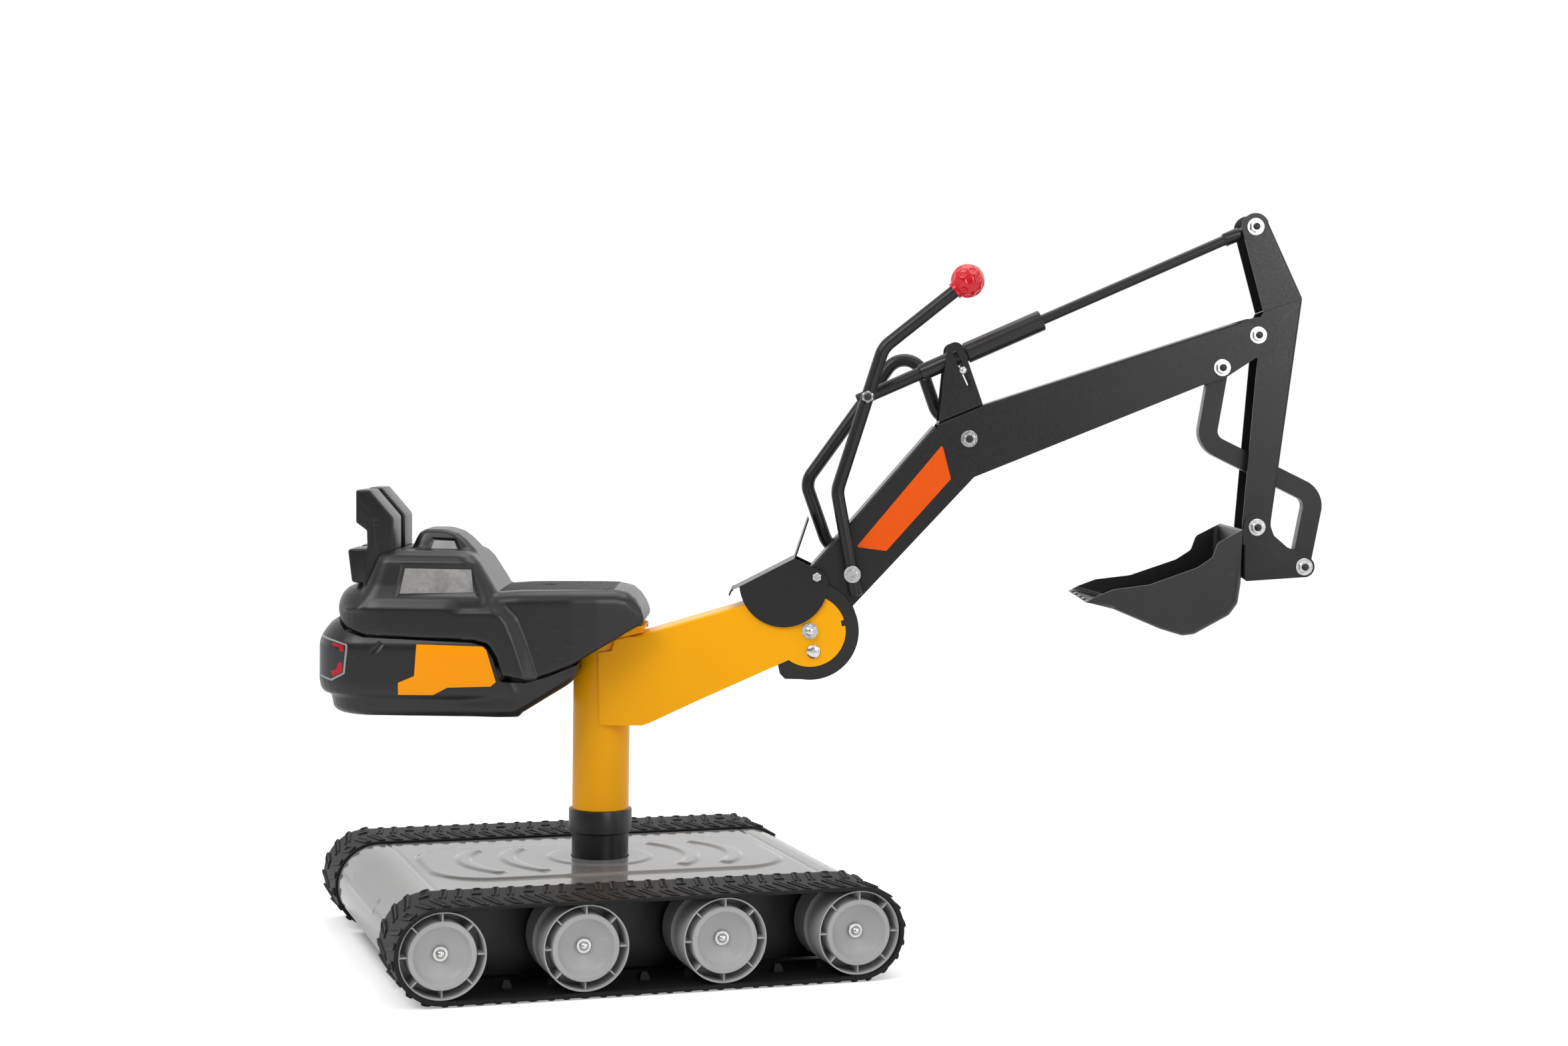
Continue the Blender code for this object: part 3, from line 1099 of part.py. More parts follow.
def make_bucket():
    rim = mm((-20.7, -0.5), (-44.8, -13.6), (-49.6, -27.8), (-64.1, -37.7), (-110.0, -54.6),
             (-144.7, -59.5), (-161.2, -66.1), (-172.0, -72.0))
    floor = mm((-144.0, -78.8), (-98.0, -97.7), (-76.6, -103.9), (-65.1, -102.4), (-31.4, -83.6),
               (-23.3, -72.2), (-20.6, -52.2))
    outline = rim + floor
    closed = range(len(rim) - 1, len(outline))
    distances = [BUCKET_WALL if i in closed else -20.0 * MM for i in range(len(outline))]
    distances[len(rim) - 2] = -20.0 * MM
    body = tapered(flat_solid(outline, -1.0, 1.0))
    hollow = tapered(flat_solid(moved_outline(outline, distances), -1.0, 1.0), BUCKET_WALL)
    back = box((-21.6 * MM, -BRACKET_LOBE - 0.2 * MM - RUN), (-20 * MM, 20 * MM), (-50 * MM, -10 * MM))
    gaps = []
    pitch = 2 * BUCKET_MOUTH_HALF / (BUCKET_TEETH - 0.45)
    for i in range(BUCKET_TEETH - 1):
        middle = (i - (BUCKET_TEETH - 2) / 2) * pitch
        gaps.append(box((-190 * MM, -172 * MM + TOOTH_REACH), (middle - pitch * 0.22, middle + pitch * 0.22),
                        (-90 * MM, -60 * MM)))
    place(cut(joined(cut(body, hollow), back), grouped(gaps)), "bucket_shell", bucket, BLACK_PLASTIC)
    rear = (REAR_PIN.x, REAR_PIN.z)
    outline = arc((0, 0), BRACKET_LOBE, 20, 174, 6) + mm((-13.2, -18.0), (-12.6, -50.0), (-9.0, -52.9))
    outline += arc(rear, REAR_LOBE, -95, 75, 6) + mm((30.0, -19.0), (17.0, -8.0))
    bracket = channel(outline, [7], BRACKET_INNER, BRACKET_OUTER, SHEET, FOLD_RADIUS)
    reach = BRACKET_OUTER * 1.2
    bracket = cut(bracket, cross_hole((0, 0), BOLT_HOLE, reach), cross_hole(rear, BOLT_HOLE, reach))
    place(bracket, "bucket_bracket", bucket, YELLOW)
    side = LINK_HALF_THICKNESS + RUN
    spacers = [(-BRACKET_INNER + RUN, -side, 9.5 * MM), (side, BRACKET_INNER - RUN, 9.5 * MM)]
    bolt = through_bolt(-BRACKET_OUTER, BRACKET_OUTER, spacers)
    place(shape(bolt, Matrix.Translation(REAR_PIN)), "rear_pin_bolt", bucket, ZINC)


# ---- seat -------------------------------------------------------------------------------
def hood_section(x, bottom, top, half, corner, steps=3):
    """A section across X: straight sides, rounded upper corners."""
    corner = min(corner, half * 0.9, (top - bottom) * 0.9)
    points = [(x, half, bottom)]
    for i in range(steps + 1):
        angle = math.pi / 2 * i / steps
        points.append((x, half - corner + corner * math.cos(angle), top - corner + corner * math.sin(angle)))
    return points + [(px, -py, pz) for px, py, pz in points[::-1]]


def lying_section(z, x_from, x_to, half, corner, steps=3):
    """A rounded rectangle lying flat at one height."""
    points = []
    for sx, sy, start in ((1, 1, 0), (-1, 1, 90), (-1, -1, 180), (1, -1, 270)):
        cx = (x_to - corner) if sx > 0 else (x_from + corner)
        cy = sy * (half - corner)
        for i in range(steps + 1):
            angle = math.radians(start + 90 * i / steps)
            points.append((cx + corner * math.cos(angle), cy + corner * math.sin(angle), z))
    return points


SHELL = ((-264, 322, 345, 60), (-258, 317, 352, 75), (-228, 316, 353, 88), (-112, 312, 360, 88),
         (-90, 274, 364, 86), (-58, 273, 364, 81), (-25, 286, 364, 76), (19.5, 319, 363, 66),
         (40, 332, 350, 60), (44.3, 337, 341, 58))
HOUSING = ((-281, 262, 306, 55), (-276, 256, 311, 70), (-262, 240, 313.5, 82), (-232, 237, 313, 90),
           (-115, 236.5, 308.5, 90), (-93, 236.5, 270, 90), (-76, 239, 269, 88), (-58, 249, 269.5, 84),
           (-29.7, 265.7, 281, 72), (-22, 275, 286, 66))


def shell_half_width(x):
    for (x0, _, _, w0), (x1, _, _, w1) in zip(SHELL, SHELL[1:]):
        if x0 <= x <= x1:
            return (w0 + (w1 - w0) * (x - x0) / (x1 - x0)) * MM
    return SHELL[-1][3] * MM


def make_seat_shell():
    sections = [hood_section(x * MM, low * MM, high * MM, half * MM, SEAT_CORNER)
                for x, low, high, half in SHELL]
    shell = loft(sections)
    hump = loft([lying_section(342 * MM, -233 * MM, -94 * MM, 84 * MM, 16 * MM),
                 lying_section(384 * MM, -216 * MM, -118 * MM, 75 * MM, 14 * MM),
                 lying_section(394 * MM, -210 * MM, -124 * MM, 62 * MM, 12 * MM)])
    crown = loft([lying_section(390 * MM, -184 * MM, -126 * MM, 38 * MM, 10 * MM),
                  lying_section(406 * MM, -181 * MM, -138 * MM, 34 * MM, 10 * MM),
                  lying_section(413 * MM, -175 * MM, -154 * MM, 29 * MM, 8 * MM)])
    shell = joined(shell, hump, crown)
    pocket = box((-247 * MM, -196 * MM), (-64 * MM, 64 * MM), (340.5 * MM, 430 * MM))
    low = 220 * MM
    boss_foot = SEAT_DATUM + SEAT_PLATE_TOP - COLUMN_TOP + RUN
    rear = loft([hood_section(x * MM, low, 337.5 * MM, shell_half_width(x) - SEAT_WALL, SEAT_CORNER)
                 for x in (-255, -228, -189)])
    middle = box((-193 * MM, -123 * MM), (-70 * MM, 70 * MM), (low, 381 * MM))
    front = loft([hood_section(x * MM, low, top * MM, shell_half_width(x) - SEAT_WALL, SEAT_CORNER)
                  for x, top in ((-190, 353), (-112, 357), (-90, 361), (-25, 361), (18, 360), (38, 347))])
    shell = cut(shell, pocket, rear, middle, front)
    bosses = []
    for x in (-50.0, 22.0):
        for y in (-24.0, 24.0):
            bosses.append(cylinder(6 * MM, (x * MM, y * MM, boss_foot), (x * MM, y * MM, 362.5 * MM), 8))
    place(shape(joined(shell, grouped(bosses)), SEAT_LIFT), "seat_shell", upper, BLACK_PLASTIC, 30.0)


def make_housing():
    outer = loft([housing_section(x * MM, low * MM, high * MM, half * MM, 10 * MM)
                  for x, low, high, half in HOUSING])
    cavity = ((-276, 301), (-262, 301), (-232, 301), (-115, 301), (-93, 282), (-76, 284), (-58, 284),
              (-29.7, 300))
    inner = loft([housing_section(x * MM, low * MM + SEAT_WALL, top * MM, half * MM - SEAT_WALL, 7 * MM)
                  for (x, top), (_, low, _, half) in zip(cavity, HOUSING[1:])])
    lip_half = shell_half_width(-170) - SEAT_WALL - RUN
    lip_outer = box((-225 * MM, -118 * MM), (-lip_half, lip_half), (300 * MM, 322 * MM))
    inside = lip_half - 2.2 * MM
    lip_inner = box((-222.8 * MM, -104 * MM), (-inside, inside), (299 * MM, 360 * MM))
    notch = cylinder(COLUMN_RADIUS + 1 * MM, (0, 0, 200 * MM), (0, 0, 340 * MM), ROUND_SIDES)
    housing = cut(joined(outer, lip_outer), inner, lip_inner, notch)
    place(shape(housing, SEAT_LIFT), "seat_housing", upper, BLACK_PLASTIC, 30.0)


def housing_section(x, bottom, top, half, corner, steps=3):
    """A section across X: straight sides, rounded lower corners."""
    corner = min(corner, half * 0.9, (top - bottom) * 0.8)
    points = [(x, half, top)]
    for i in range(steps + 1):
        angle = math.pi / 2 * i / steps
        points.append((x, half - corner + corner * math.cos(angle), bottom + corner - corner * math.sin(angle)))
    return points + [(px, -py, pz) for px, py, pz in points[::-1]]


def make_backrest():
    outline = mm((-226.7, 341.0), (-199.0, 341.0), (-199.4, 385.0), (-202.0, 424.5), (-221.6, 444.8),
                 (-236.0, 444.6), (-236.0, 395.0), (-221.0, 388.0), (-221.0, 369.0), (-243.0, 368.6),
                 (-239.6, 341.0))
    rest = flat_solid(outline, -FIN_OUTER, FIN_OUTER)
    gap = box((-260 * MM, -180 * MM), (-FIN_GAP, FIN_GAP), (385 * MM, 460 * MM))
    place(shape(cut(rest, gap), SEAT_LIFT), "backrest", upper, BLACK_PLASTIC)


def make_seat_plate():
    outline = [(x, y) for x, y, _ in lying_section(0.0, -70 * MM, 44 * MM, 35 * MM, 8 * MM)]
    plate = flat_solid(outline, SEAT_PLATE_BOTTOM, SEAT_PLATE_TOP, upright=False)
    outline = mm((-10.0, 320.6), (-10.0, 309.0), (13.5, 308.9), (28.6, 312.3), (44.0, 316.2), (44.0, 320.6))
    near = ARM_INNER + RUN
    for sign in (-1, 1):
        flange = shape(flat_solid(outline, sign * near, sign * (near + BRACKET_FLANGE)), SEAT_LIFT)
        plate = joined(plate, flange)
    place(plate, "seat_plate", upper, YELLOW)


# ---- build ------------------------------------------------------------------------------
for make in (make_chassis, make_deck, make_post, make_axles, make_wheels, make_belts, make_column, make_arm,
             make_pivot_guard, make_main_pivot, make_lower_boom, make_upper_boom, make_slot_bracket, make_hood,
             make_boom_bolts, make_grab_handle, make_lever, make_push_rod, make_dipper, make_link, make_bucket,
             make_seat_shell, make_housing, make_backrest, make_seat_plate):
    make()

# The whole object stands centred over the origin, its tracks on the ground.
bpy.context.view_layer.update()
corners = [obj.matrix_world @ vert.co for obj in model.objects if obj.type == 'MESH' for vert in obj.data.vertices]
low = Vector([min(corner[i] for corner in corners) for i in range(3)])
high = Vector([max(corner[i] for corner in corners) for i in range(3)])
root.location = (-(low.x + high.x) / 2, -(low.y + high.y) / 2, -low.z)
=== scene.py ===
# %% [markdown]
# # A ride-on sandpit digger
# A child sits on the moulded seat, turns the whole top on its post, lifts the boom with the
# grab handle and pulls the red-balled lever to curl the bucket. The steel parts are folded
# sheet with a powder coat, the seat is blow-moulded plastic, and the base runs on rubber belts.
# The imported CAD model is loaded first. It fixes every size and every joint, so each piece made
# here starts from its numbers.

# %% Load the frame
import json
import math
from math import cos, pi, radians, sin

import bmesh
import bpy
from mathutils import Matrix, Vector
from mathutils.bvhtree import BVHTree


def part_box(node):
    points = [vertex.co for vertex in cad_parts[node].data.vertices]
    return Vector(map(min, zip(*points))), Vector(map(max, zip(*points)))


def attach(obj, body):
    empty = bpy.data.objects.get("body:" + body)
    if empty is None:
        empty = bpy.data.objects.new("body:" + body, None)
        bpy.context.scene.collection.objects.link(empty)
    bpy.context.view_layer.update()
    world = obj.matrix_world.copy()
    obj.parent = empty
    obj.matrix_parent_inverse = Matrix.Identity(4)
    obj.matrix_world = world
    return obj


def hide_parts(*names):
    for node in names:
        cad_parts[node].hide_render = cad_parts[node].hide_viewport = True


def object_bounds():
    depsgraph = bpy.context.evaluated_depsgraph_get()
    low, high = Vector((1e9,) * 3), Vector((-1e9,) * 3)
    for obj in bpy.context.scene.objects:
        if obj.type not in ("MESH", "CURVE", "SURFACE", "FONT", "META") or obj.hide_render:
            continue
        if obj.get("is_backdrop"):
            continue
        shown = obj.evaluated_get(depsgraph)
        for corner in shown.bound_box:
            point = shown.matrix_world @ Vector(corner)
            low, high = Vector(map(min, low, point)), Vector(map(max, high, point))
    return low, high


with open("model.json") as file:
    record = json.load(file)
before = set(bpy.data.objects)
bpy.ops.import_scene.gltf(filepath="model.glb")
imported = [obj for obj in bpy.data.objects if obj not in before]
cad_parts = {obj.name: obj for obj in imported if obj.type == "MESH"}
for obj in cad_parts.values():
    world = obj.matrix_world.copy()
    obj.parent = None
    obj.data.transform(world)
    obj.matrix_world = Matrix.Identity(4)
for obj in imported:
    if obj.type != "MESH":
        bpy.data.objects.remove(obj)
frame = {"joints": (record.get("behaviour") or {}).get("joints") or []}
cad_low, cad_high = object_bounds()
joints = {joint["name"]: Vector(joint["pos_m"]) for joint in frame["joints"]}
SLEW = Vector((joints["slew"].x, joints["slew"].y, 0.0))
MAIN = joints["boom_lift"]
LEVER = joints["lever_pull"]
ROD = joints["rod_pivot"]
TIP = joints["dipper_swing"]
LINK = joints["link_swing"]
BUCKET = joints["bucket_curl"]
BASE_TURN = radians(18.56)
print("object box", [round(v, 4) for v in (*cad_low, *cad_high)])

# %% [markdown]
# ## World
# The world is white to the camera, so the object stands in a bright, empty studio. The white
# comes from Light Path, and the object itself is lit at a plain level. A shiny surface shows its
# surroundings, so the world it mirrors is bright overhead and behind, and darker in front, as in
# a tent with the camera's side left open. That keeps the black plastic black.

# %% World
scene = bpy.context.scene
scene.view_settings.view_transform = 'Standard'


def wire(tree, kind, settings=None, slots=None, **feeds):
    """Adds a node, sets its properties and feeds its inputs by name or by number.

    A feed is a value, a socket, or a node that stands for its first output."""
    node = tree.nodes.new(kind)
    for key, value in (settings or {}).items():
        setattr(node, key, value)
    wanted = {label.replace("_", " "): feed for label, feed in feeds.items()}
    wanted.update(slots or {})
    for label, feed in wanted.items():
        socket = node.inputs[label]
        if isinstance(feed, bpy.types.Node):
            feed = feed.outputs[0]
        if isinstance(feed, bpy.types.NodeSocket):
            tree.links.new(feed, socket)
        else:
            socket.default_value = feed
    return node


def maths(tree, operation, *values):
    """Adds a Math node."""
    return wire(tree, "ShaderNodeMath", {"operation": operation}, dict(enumerate(values)))


def any_view_ray(tree):
    """1 for rays that come straight from the camera or through glass, 0 for light on a surface."""
    path = wire(tree, "ShaderNodeLightPath")
    either = maths(tree, 'MAXIMUM', path.outputs["Is Camera Ray"],
                   path.outputs["Is Transmission Ray"])
    return either.outputs[0]


world = bpy.data.worlds.new("studio")
scene.world = world
world.use_nodes = True
tree = world.node_tree
tree.nodes.clear()
seen = any_view_ray(tree)
place = wire(tree, "ShaderNodeTexCoord")
split = wire(tree, "ShaderNodeSeparateXYZ", slots={0: place.outputs["Generated"]})
front = wire(tree, "ShaderNodeMapRange", {"interpolation_type": 'SMOOTHSTEP'},
             Value=split.outputs["Y"], From_Min=-0.75, From_Max=0.45, To_Min=0.10, To_Max=1.15)
above = wire(tree, "ShaderNodeMapRange", {"interpolation_type": 'SMOOTHSTEP'},
             Value=split.outputs["Z"], From_Min=0.15, From_Max=0.75, To_Min=0.0, To_Max=1.0)
level = wire(tree, "ShaderNodeMix", {"data_type": 'FLOAT'}, slots={0: above, 2: front, 3: 0.85})
white = wire(tree, "ShaderNodeMix", {"data_type": 'FLOAT'}, slots={0: seen, 2: level, 3: 1.0})
glow = wire(tree, "ShaderNodeBackground", Color=(1, 1, 1, 1), Strength=white)
wire(tree, "ShaderNodeOutputWorld", Surface=glow)
print("world nodes", len(tree.nodes))

# %% [markdown]
# ## Lamps
# Three soft boxes light the toy: a large one from the upper left, one from above and a weak one
# from the right. A fourth beside the camera is seen only in reflections. It lays a pale sheen on
# the black steel of the dipper, which would otherwise merge with the boom.

# %% Lamps
def softbox(name, place, aim, size, power):
    """A rectangular area lamp aimed at a point."""
    lamp = bpy.data.lights.new(name, 'AREA')
    lamp.shape = 'RECTANGLE'
    lamp.size, lamp.size_y = size
    lamp.energy = power
    obj = bpy.data.objects.new(name, lamp)
    obj.location = place
    obj.rotation_euler = (Vector(aim) - Vector(place)).to_track_quat('-Z', 'Y').to_euler()
    scene.collection.objects.link(obj)
    return obj


softbox("key_softbox", (-1.5, -1.9, 2.3), (-0.05, 0.0, 0.3), (1.6, 1.2), 34.0)
softbox("top_softbox", (0.3, 0.4, 2.6), (0.0, 0.0, 0.2), (2.4, 1.6), 26.0)
softbox("side_softbox", (2.3, -0.8, 1.2), (0.1, 0.0, 0.4), (0.7, 1.4), 8.0)
sheen = softbox("sheen_softbox", (1.34, -2.45, 1.22), (1.2, 0.0, 1.0), (1.2, 1.2), 26.0)
sheen.visible_diffuse = False
print("lamps", [lamp.name for lamp in bpy.data.lights])

# %% [markdown]
# ## Camera
# A long lens stands a little above the seat and looks slightly down. Its matrix is built from
# three directions, so the small roll stays easy to read.

# %% Camera
camera = bpy.data.cameras.new("camera")
camera.sensor_width = 36.0
camera.lens = 57.42
camera.clip_start = 0.05
camera_object = bpy.data.objects.new("camera", camera)
pitch, roll = radians(2.65), radians(-0.80)
forward = Vector((0.0, cos(pitch), -sin(pitch)))
level_right = Vector((1.0, 0.0, 0.0))
level_down = forward.cross(level_right)
right = level_right * cos(roll) + level_down * sin(roll)
down = level_down * cos(roll) - level_right * sin(roll)
turn = Matrix((right, -down, -forward)).transposed().to_4x4()
camera_object.matrix_world = Matrix.Translation((-0.0255, -2.463, 0.537)) @ turn
scene.collection.objects.link(camera_object)
scene.camera = camera_object
print("camera at", [round(v, 3) for v in camera_object.location], "lens", round(camera.lens, 1))

# %% [markdown]
# ## Floor
# The floor is matt and nearly white, and glows a little to the camera, so it meets the world
# without a line and still takes the shadow. Right under the chassis the glow is masked out, a
# painted shadow, because nothing lights the real floor there.

# %% Floor
# Half sizes of the rectangle under the chassis where the glow is masked out: a painted shadow.
PAINTED_SHADOW_LENGTH, PAINTED_SHADOW_WIDTH = 0.232, 0.132
PAINTED_SHADOW_FADE = 0.02
FLOOR_GLOW = 0.34
floor_paint = bpy.data.materials.new("studio_floor")
floor_paint.use_nodes = True
tree = floor_paint.node_tree
tree.nodes.clear()
seen = any_view_ray(tree)
dull = wire(tree, "ShaderNodeBsdfDiffuse", Color=(0.9, 0.9, 0.9, 1))
spot = wire(tree, "ShaderNodeTexCoord")
local = wire(tree, "ShaderNodeMapping", {"vector_type": 'TEXTURE'}, Vector=spot.outputs["Object"],
             Location=SLEW, Rotation=(0, 0, BASE_TURN))
parts = wire(tree, "ShaderNodeSeparateXYZ", slots={0: local})
sides = []
for axis, edge in (("X", PAINTED_SHADOW_LENGTH), ("Y", PAINTED_SHADOW_WIDTH)):
    size = maths(tree, 'ABSOLUTE', parts.outputs[axis])
    sides.append(wire(tree, "ShaderNodeMapRange", {"interpolation_type": 'SMOOTHSTEP'},
                      Value=size, From_Min=edge - PAINTED_SHADOW_FADE, From_Max=edge,
                      To_Min=0.0, To_Max=1.0))
# Inside the rectangle the floor doesn't glow, which paints the shadow under the chassis.
outside = maths(tree, 'MAXIMUM', sides[0], sides[1])
level = maths(tree, 'MULTIPLY', outside, FLOOR_GLOW)
lift = maths(tree, 'MULTIPLY', seen, level)
shine = wire(tree, "ShaderNodeEmission", Color=(1, 1, 1, 1), Strength=lift)
both = wire(tree, "ShaderNodeAddShader", slots={0: dull, 1: shine})
wire(tree, "ShaderNodeOutputMaterial", Surface=both)
bm = bmesh.new()
bmesh.ops.create_grid(bm, x_segments=1, y_segments=1, size=14.0)
floor_mesh = bpy.data.meshes.new("floor")
bm.to_mesh(floor_mesh)
bm.free()
floor_mesh.materials.append(floor_paint)
floor = bpy.data.objects.new("floor", floor_mesh)
floor.location = (0, 0, -0.0004)
scene.collection.objects.link(floor)
floor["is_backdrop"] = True
print("floor", [round(v, 1) for v in floor.dimensions])

# %% [markdown]
# ## Outlines
# Nearly every steel part is a flat blank cut from sheet, so an outline in side view comes
# first. These helpers turn millimetres into metres, draw arcs, and move the edges of an outline.

# %% Points, arcs and moved outlines
MM = 0.001


def mm(*points):
    """Points written in millimetres, as tuples in metres."""
    return [tuple(value * MM for value in point) for point in points]


def sizes(*values):
    """Plain sizes written in millimetres."""
    return [value * MM for value in values]


def arc(centre, radius, start, end, fine=5.0):
    """Points on an arc in degrees, one for every few degrees."""
    steps = max(2, math.ceil(abs(end - start) / fine))
    turns = [radians(start + (end - start) * i / steps) for i in range(steps + 1)]
    return [(centre[0] + radius * cos(t), centre[-1] + radius * sin(t)) for t in turns]


def tangent_angle(point, centre, radius, side):
    """Angle of the touching point on a circle for the line through a point."""
    dx, dz = point[0] - centre[0], point[-1] - centre[-1]
    return math.degrees(math.atan2(dz, dx) + side * math.acos(radius / math.hypot(dx, dz)))


def edge_normal(first, second):
    """Unit normal of an edge, to its left."""
    dx, dz = second[0] - first[0], second[1] - first[1]
    length = math.hypot(dx, dz)
    return (-dz / length, dx / length)


def moved_outline(outline, distances):
    """Each edge moved inwards by its own distance; unlike neighbours step across."""
    area = sum(a[0] * b[1] - b[0] * a[1] for a, b in zip(outline, outline[1:] + outline[:1]))
    sign = 1.0 if area > 0 else -1.0
    count = len(outline)
    result = []
    for i, here in enumerate(outline):
        n0 = edge_normal(outline[i - 1], here)
        n1 = edge_normal(here, outline[(i + 1) % count])
        d0, d1 = distances[i - 1] * sign, distances[i] * sign
        if abs(d0 - d1) < 1e-9:
            scale = 1.0 + n0[0] * n1[0] + n0[1] * n1[1]
            result.append((here[0] + d0 * (n0[0] + n1[0]) / scale,
                           here[1] + d0 * (n0[1] + n1[1]) / scale))
        else:
            result.append((here[0] + n0[0] * d0, here[1] + n0[1] * d0))
            result.append((here[0] + n1[0] * d1, here[1] + n1[1] * d1))
    return result


print("quarter arc", len(arc((0, 0), 1.0, 0, 90)), "points")

# %% [markdown]
# ## Bends and strips
# A press brake leaves a radius at each bend, and a tube or a strip follows a bent middle line.
# Each corner of a path is swapped for an arc that touches both its sides.

# %% Rounded paths and strips
def rounded_path(points, radius, fine=5.0, closed=False):
    """A polyline whose corners are turned into arcs; radius may be one number per corner."""
    count = len(points)
    spots = range(count) if closed else range(1, count - 1)
    result = [] if closed else [tuple(points[0])]
    for i in spots:
        size = radius[i] if isinstance(radius, (list, tuple)) else radius
        corner = Vector(points[i]).to_3d()
        a = Vector(points[i - 1]).to_3d() - corner
        b = Vector(points[(i + 1) % count]).to_3d() - corner
        half = a.angle(b) / 2
        if size <= 0 or half > radians(88):
            result.append(tuple(points[i]))
            continue
        reach = min(size / math.tan(half), a.length * 0.49, b.length * 0.49)
        size = reach * math.tan(half)
        a.normalize()
        b.normalize()
        centre = corner + (a + b).normalized() * (size / sin(half))
        start = corner + a * reach - centre
        axis = b.cross(a)
        sweep = pi - 2 * half
        steps = max(2, math.ceil(math.degrees(sweep) / fine))
        for k in range(steps + 1):
            result.append(tuple(centre + Matrix.Rotation(sweep * k / steps, 3, axis)
                                @ start)[:len(points[i])])
    if not closed:
        result.append(tuple(points[-1]))
    return result


def band(points, half_width):
    """Outline of a strip of even width along a polyline."""
    left, right = [], []
    last = len(points) - 1
    for i, here in enumerate(points):
        n0 = edge_normal(points[max(i - 1, 0)], points[max(i, 1)])
        n1 = edge_normal(points[min(i, last - 1)], points[min(i + 1, last)])
        scale = 1.0 + n0[0] * n1[0] + n0[1] * n1[1]
        step = (half_width * (n0[0] + n1[0]) / scale, half_width * (n0[1] + n1[1]) / scale)
        left.append((here[0] + step[0], here[1] + step[1]))
        right.append((here[0] - step[0], here[1] - step[1]))
    return left + right[::-1]


def lying_frame(x_from, x_to, half, corner):
    """A rounded rectangle in X and Y."""
    corners = [(x_to, -half), (x_to, half), (x_from, half), (x_from, -half)]
    return rounded_path(corners, corner, 9.0, closed=True)


print("rounded square", len(lying_frame(0, 1, 0.5, 0.1)), "points")

# %% [markdown]
# ## Clean meshes
# Modifiers are evaluated once and kept as a plain mesh. Points that coincide are merged and all
# faces are turned outwards, so that a later cut works and the piece is closed.

# %% Mesh helpers
WELD = 1e-6


def plain(obj):
    """The evaluated mesh of an object as a new plain object, doubles merged, normals outward."""
    if obj.name not in scene.collection.objects:
        scene.collection.objects.link(obj)
    bpy.context.view_layer.update()
    graph = bpy.context.evaluated_depsgraph_get()
    mesh = bpy.data.meshes.new_from_object(obj.evaluated_get(graph), depsgraph=graph)
    bpy.data.objects.remove(obj)
    return tidied(bpy.data.objects.new("piece", mesh))


def tidied(obj):
    """Doubles merged, slivers removed, normals outward."""
    bm = bmesh.new()
    bm.from_mesh(obj.data)
    bmesh.ops.remove_doubles(bm, verts=bm.verts, dist=WELD)
    bmesh.ops.dissolve_degenerate(bm, dist=WELD, edges=bm.edges)
    bmesh.ops.recalc_face_normals(bm, faces=bm.faces)
    bm.to_mesh(obj.data)
    bm.free()
    return obj


def from_bmesh(bm):
    """A new object from a bmesh, normals outward."""
    mesh = bpy.data.meshes.new("piece")
    bmesh.ops.recalc_face_normals(bm, faces=bm.faces)
    bm.to_mesh(mesh)
    bm.free()
    return bpy.data.objects.new("piece", mesh)


def moved(obj, matrix):
    """Moves the mesh itself, so the object stays at the origin."""
    if not isinstance(matrix, Matrix):
        matrix = Matrix.Translation(matrix)
    obj.data.transform(matrix)
    return obj


# %% [markdown]
# ## Basic solids
# A flat blank gets its thickness from a filled curve. Bars, blocks and turned shapes are the
# other raw forms. Each helper hands back one closed mesh.

# %% Blanks, bars and turned shapes
def slab(outline, low, high, lying=False):
    """A flat outline with a thickness: upright in X and Z, or lying in X and Y."""
    curve = bpy.data.curves.new("outline", 'CURVE')
    curve.dimensions = '2D'
    curve.fill_mode = 'BOTH'
    curve.extrude = (high - low) / 2
    spline = curve.splines.new('POLY')
    spline.points.add(len(outline) - 1)
    for point, (x, z) in zip(spline.points, outline):
        point.co = (x, z, 0.0, 1.0)
    spline.use_cyclic_u = True
    solid = plain(bpy.data.objects.new("outline", curve))
    middle = (low + high) / 2
    if lying:
        return moved(solid, (0, 0, middle))
    return moved(solid, Matrix.Translation((0, middle, 0)) @ Matrix.Rotation(pi / 2, 4, 'X'))


def bar(radius, start, end, sides=48, radius_end=None):
    """A round bar or cone between two points."""
    start, end = Vector(start), Vector(end)
    turn = (end - start).to_track_quat('Z', 'Y').to_matrix().to_4x4()
    bm = bmesh.new()
    bmesh.ops.create_cone(bm, cap_ends=True, segments=sides, radius1=radius,
                          radius2=radius if radius_end is None else radius_end,
                          depth=(end - start).length,
                          matrix=Matrix.Translation((start + end) / 2) @ turn)
    return from_bmesh(bm)


def hole(place, radius, reach, middle=0.0):
    """A round cutter along Y."""
    x, z = place[0], place[-1]
    return bar(radius, (x, middle - reach, z), (x, middle + reach, z), 36)


def block(x, y, z):
    """A box from three pairs of limits."""
    bm = bmesh.new()
    size = Matrix.Diagonal((x[1] - x[0], y[1] - y[0], z[1] - z[0], 1.0))
    middle = Matrix.Translation(((x[0] + x[1]) / 2, (y[0] + y[1]) / 2, (z[0] + z[1]) / 2))
    bmesh.ops.create_cube(bm, size=1.0, matrix=middle @ size)
    return from_bmesh(bm)


def lathe(profile, sides=72, ring=False):
    """A turned shape about Z from (radius, height) points."""
    mesh = bpy.data.meshes.new("profile")
    last = len(profile) - 1
    edges = [(i, i + 1) for i in range(last)] + ([(last, 0)] if ring else [])
    mesh.from_pydata([(radius, 0.0, height) for radius, height in profile], edges, [])
    obj = bpy.data.objects.new("profile", mesh)
    screw = obj.modifiers.new("turn", 'SCREW')
    screw.steps = screw.render_steps = sides
    screw.use_merge_vertices = True
    screw.merge_threshold = 1e-5
    return plain(obj)


# %% [markdown]
# ## Joining and cutting
# Cutters and additions are joined with exact Booleans. Loose pieces are only put in one mesh,
# and a loft closes a solid through sections that have the same number of points.

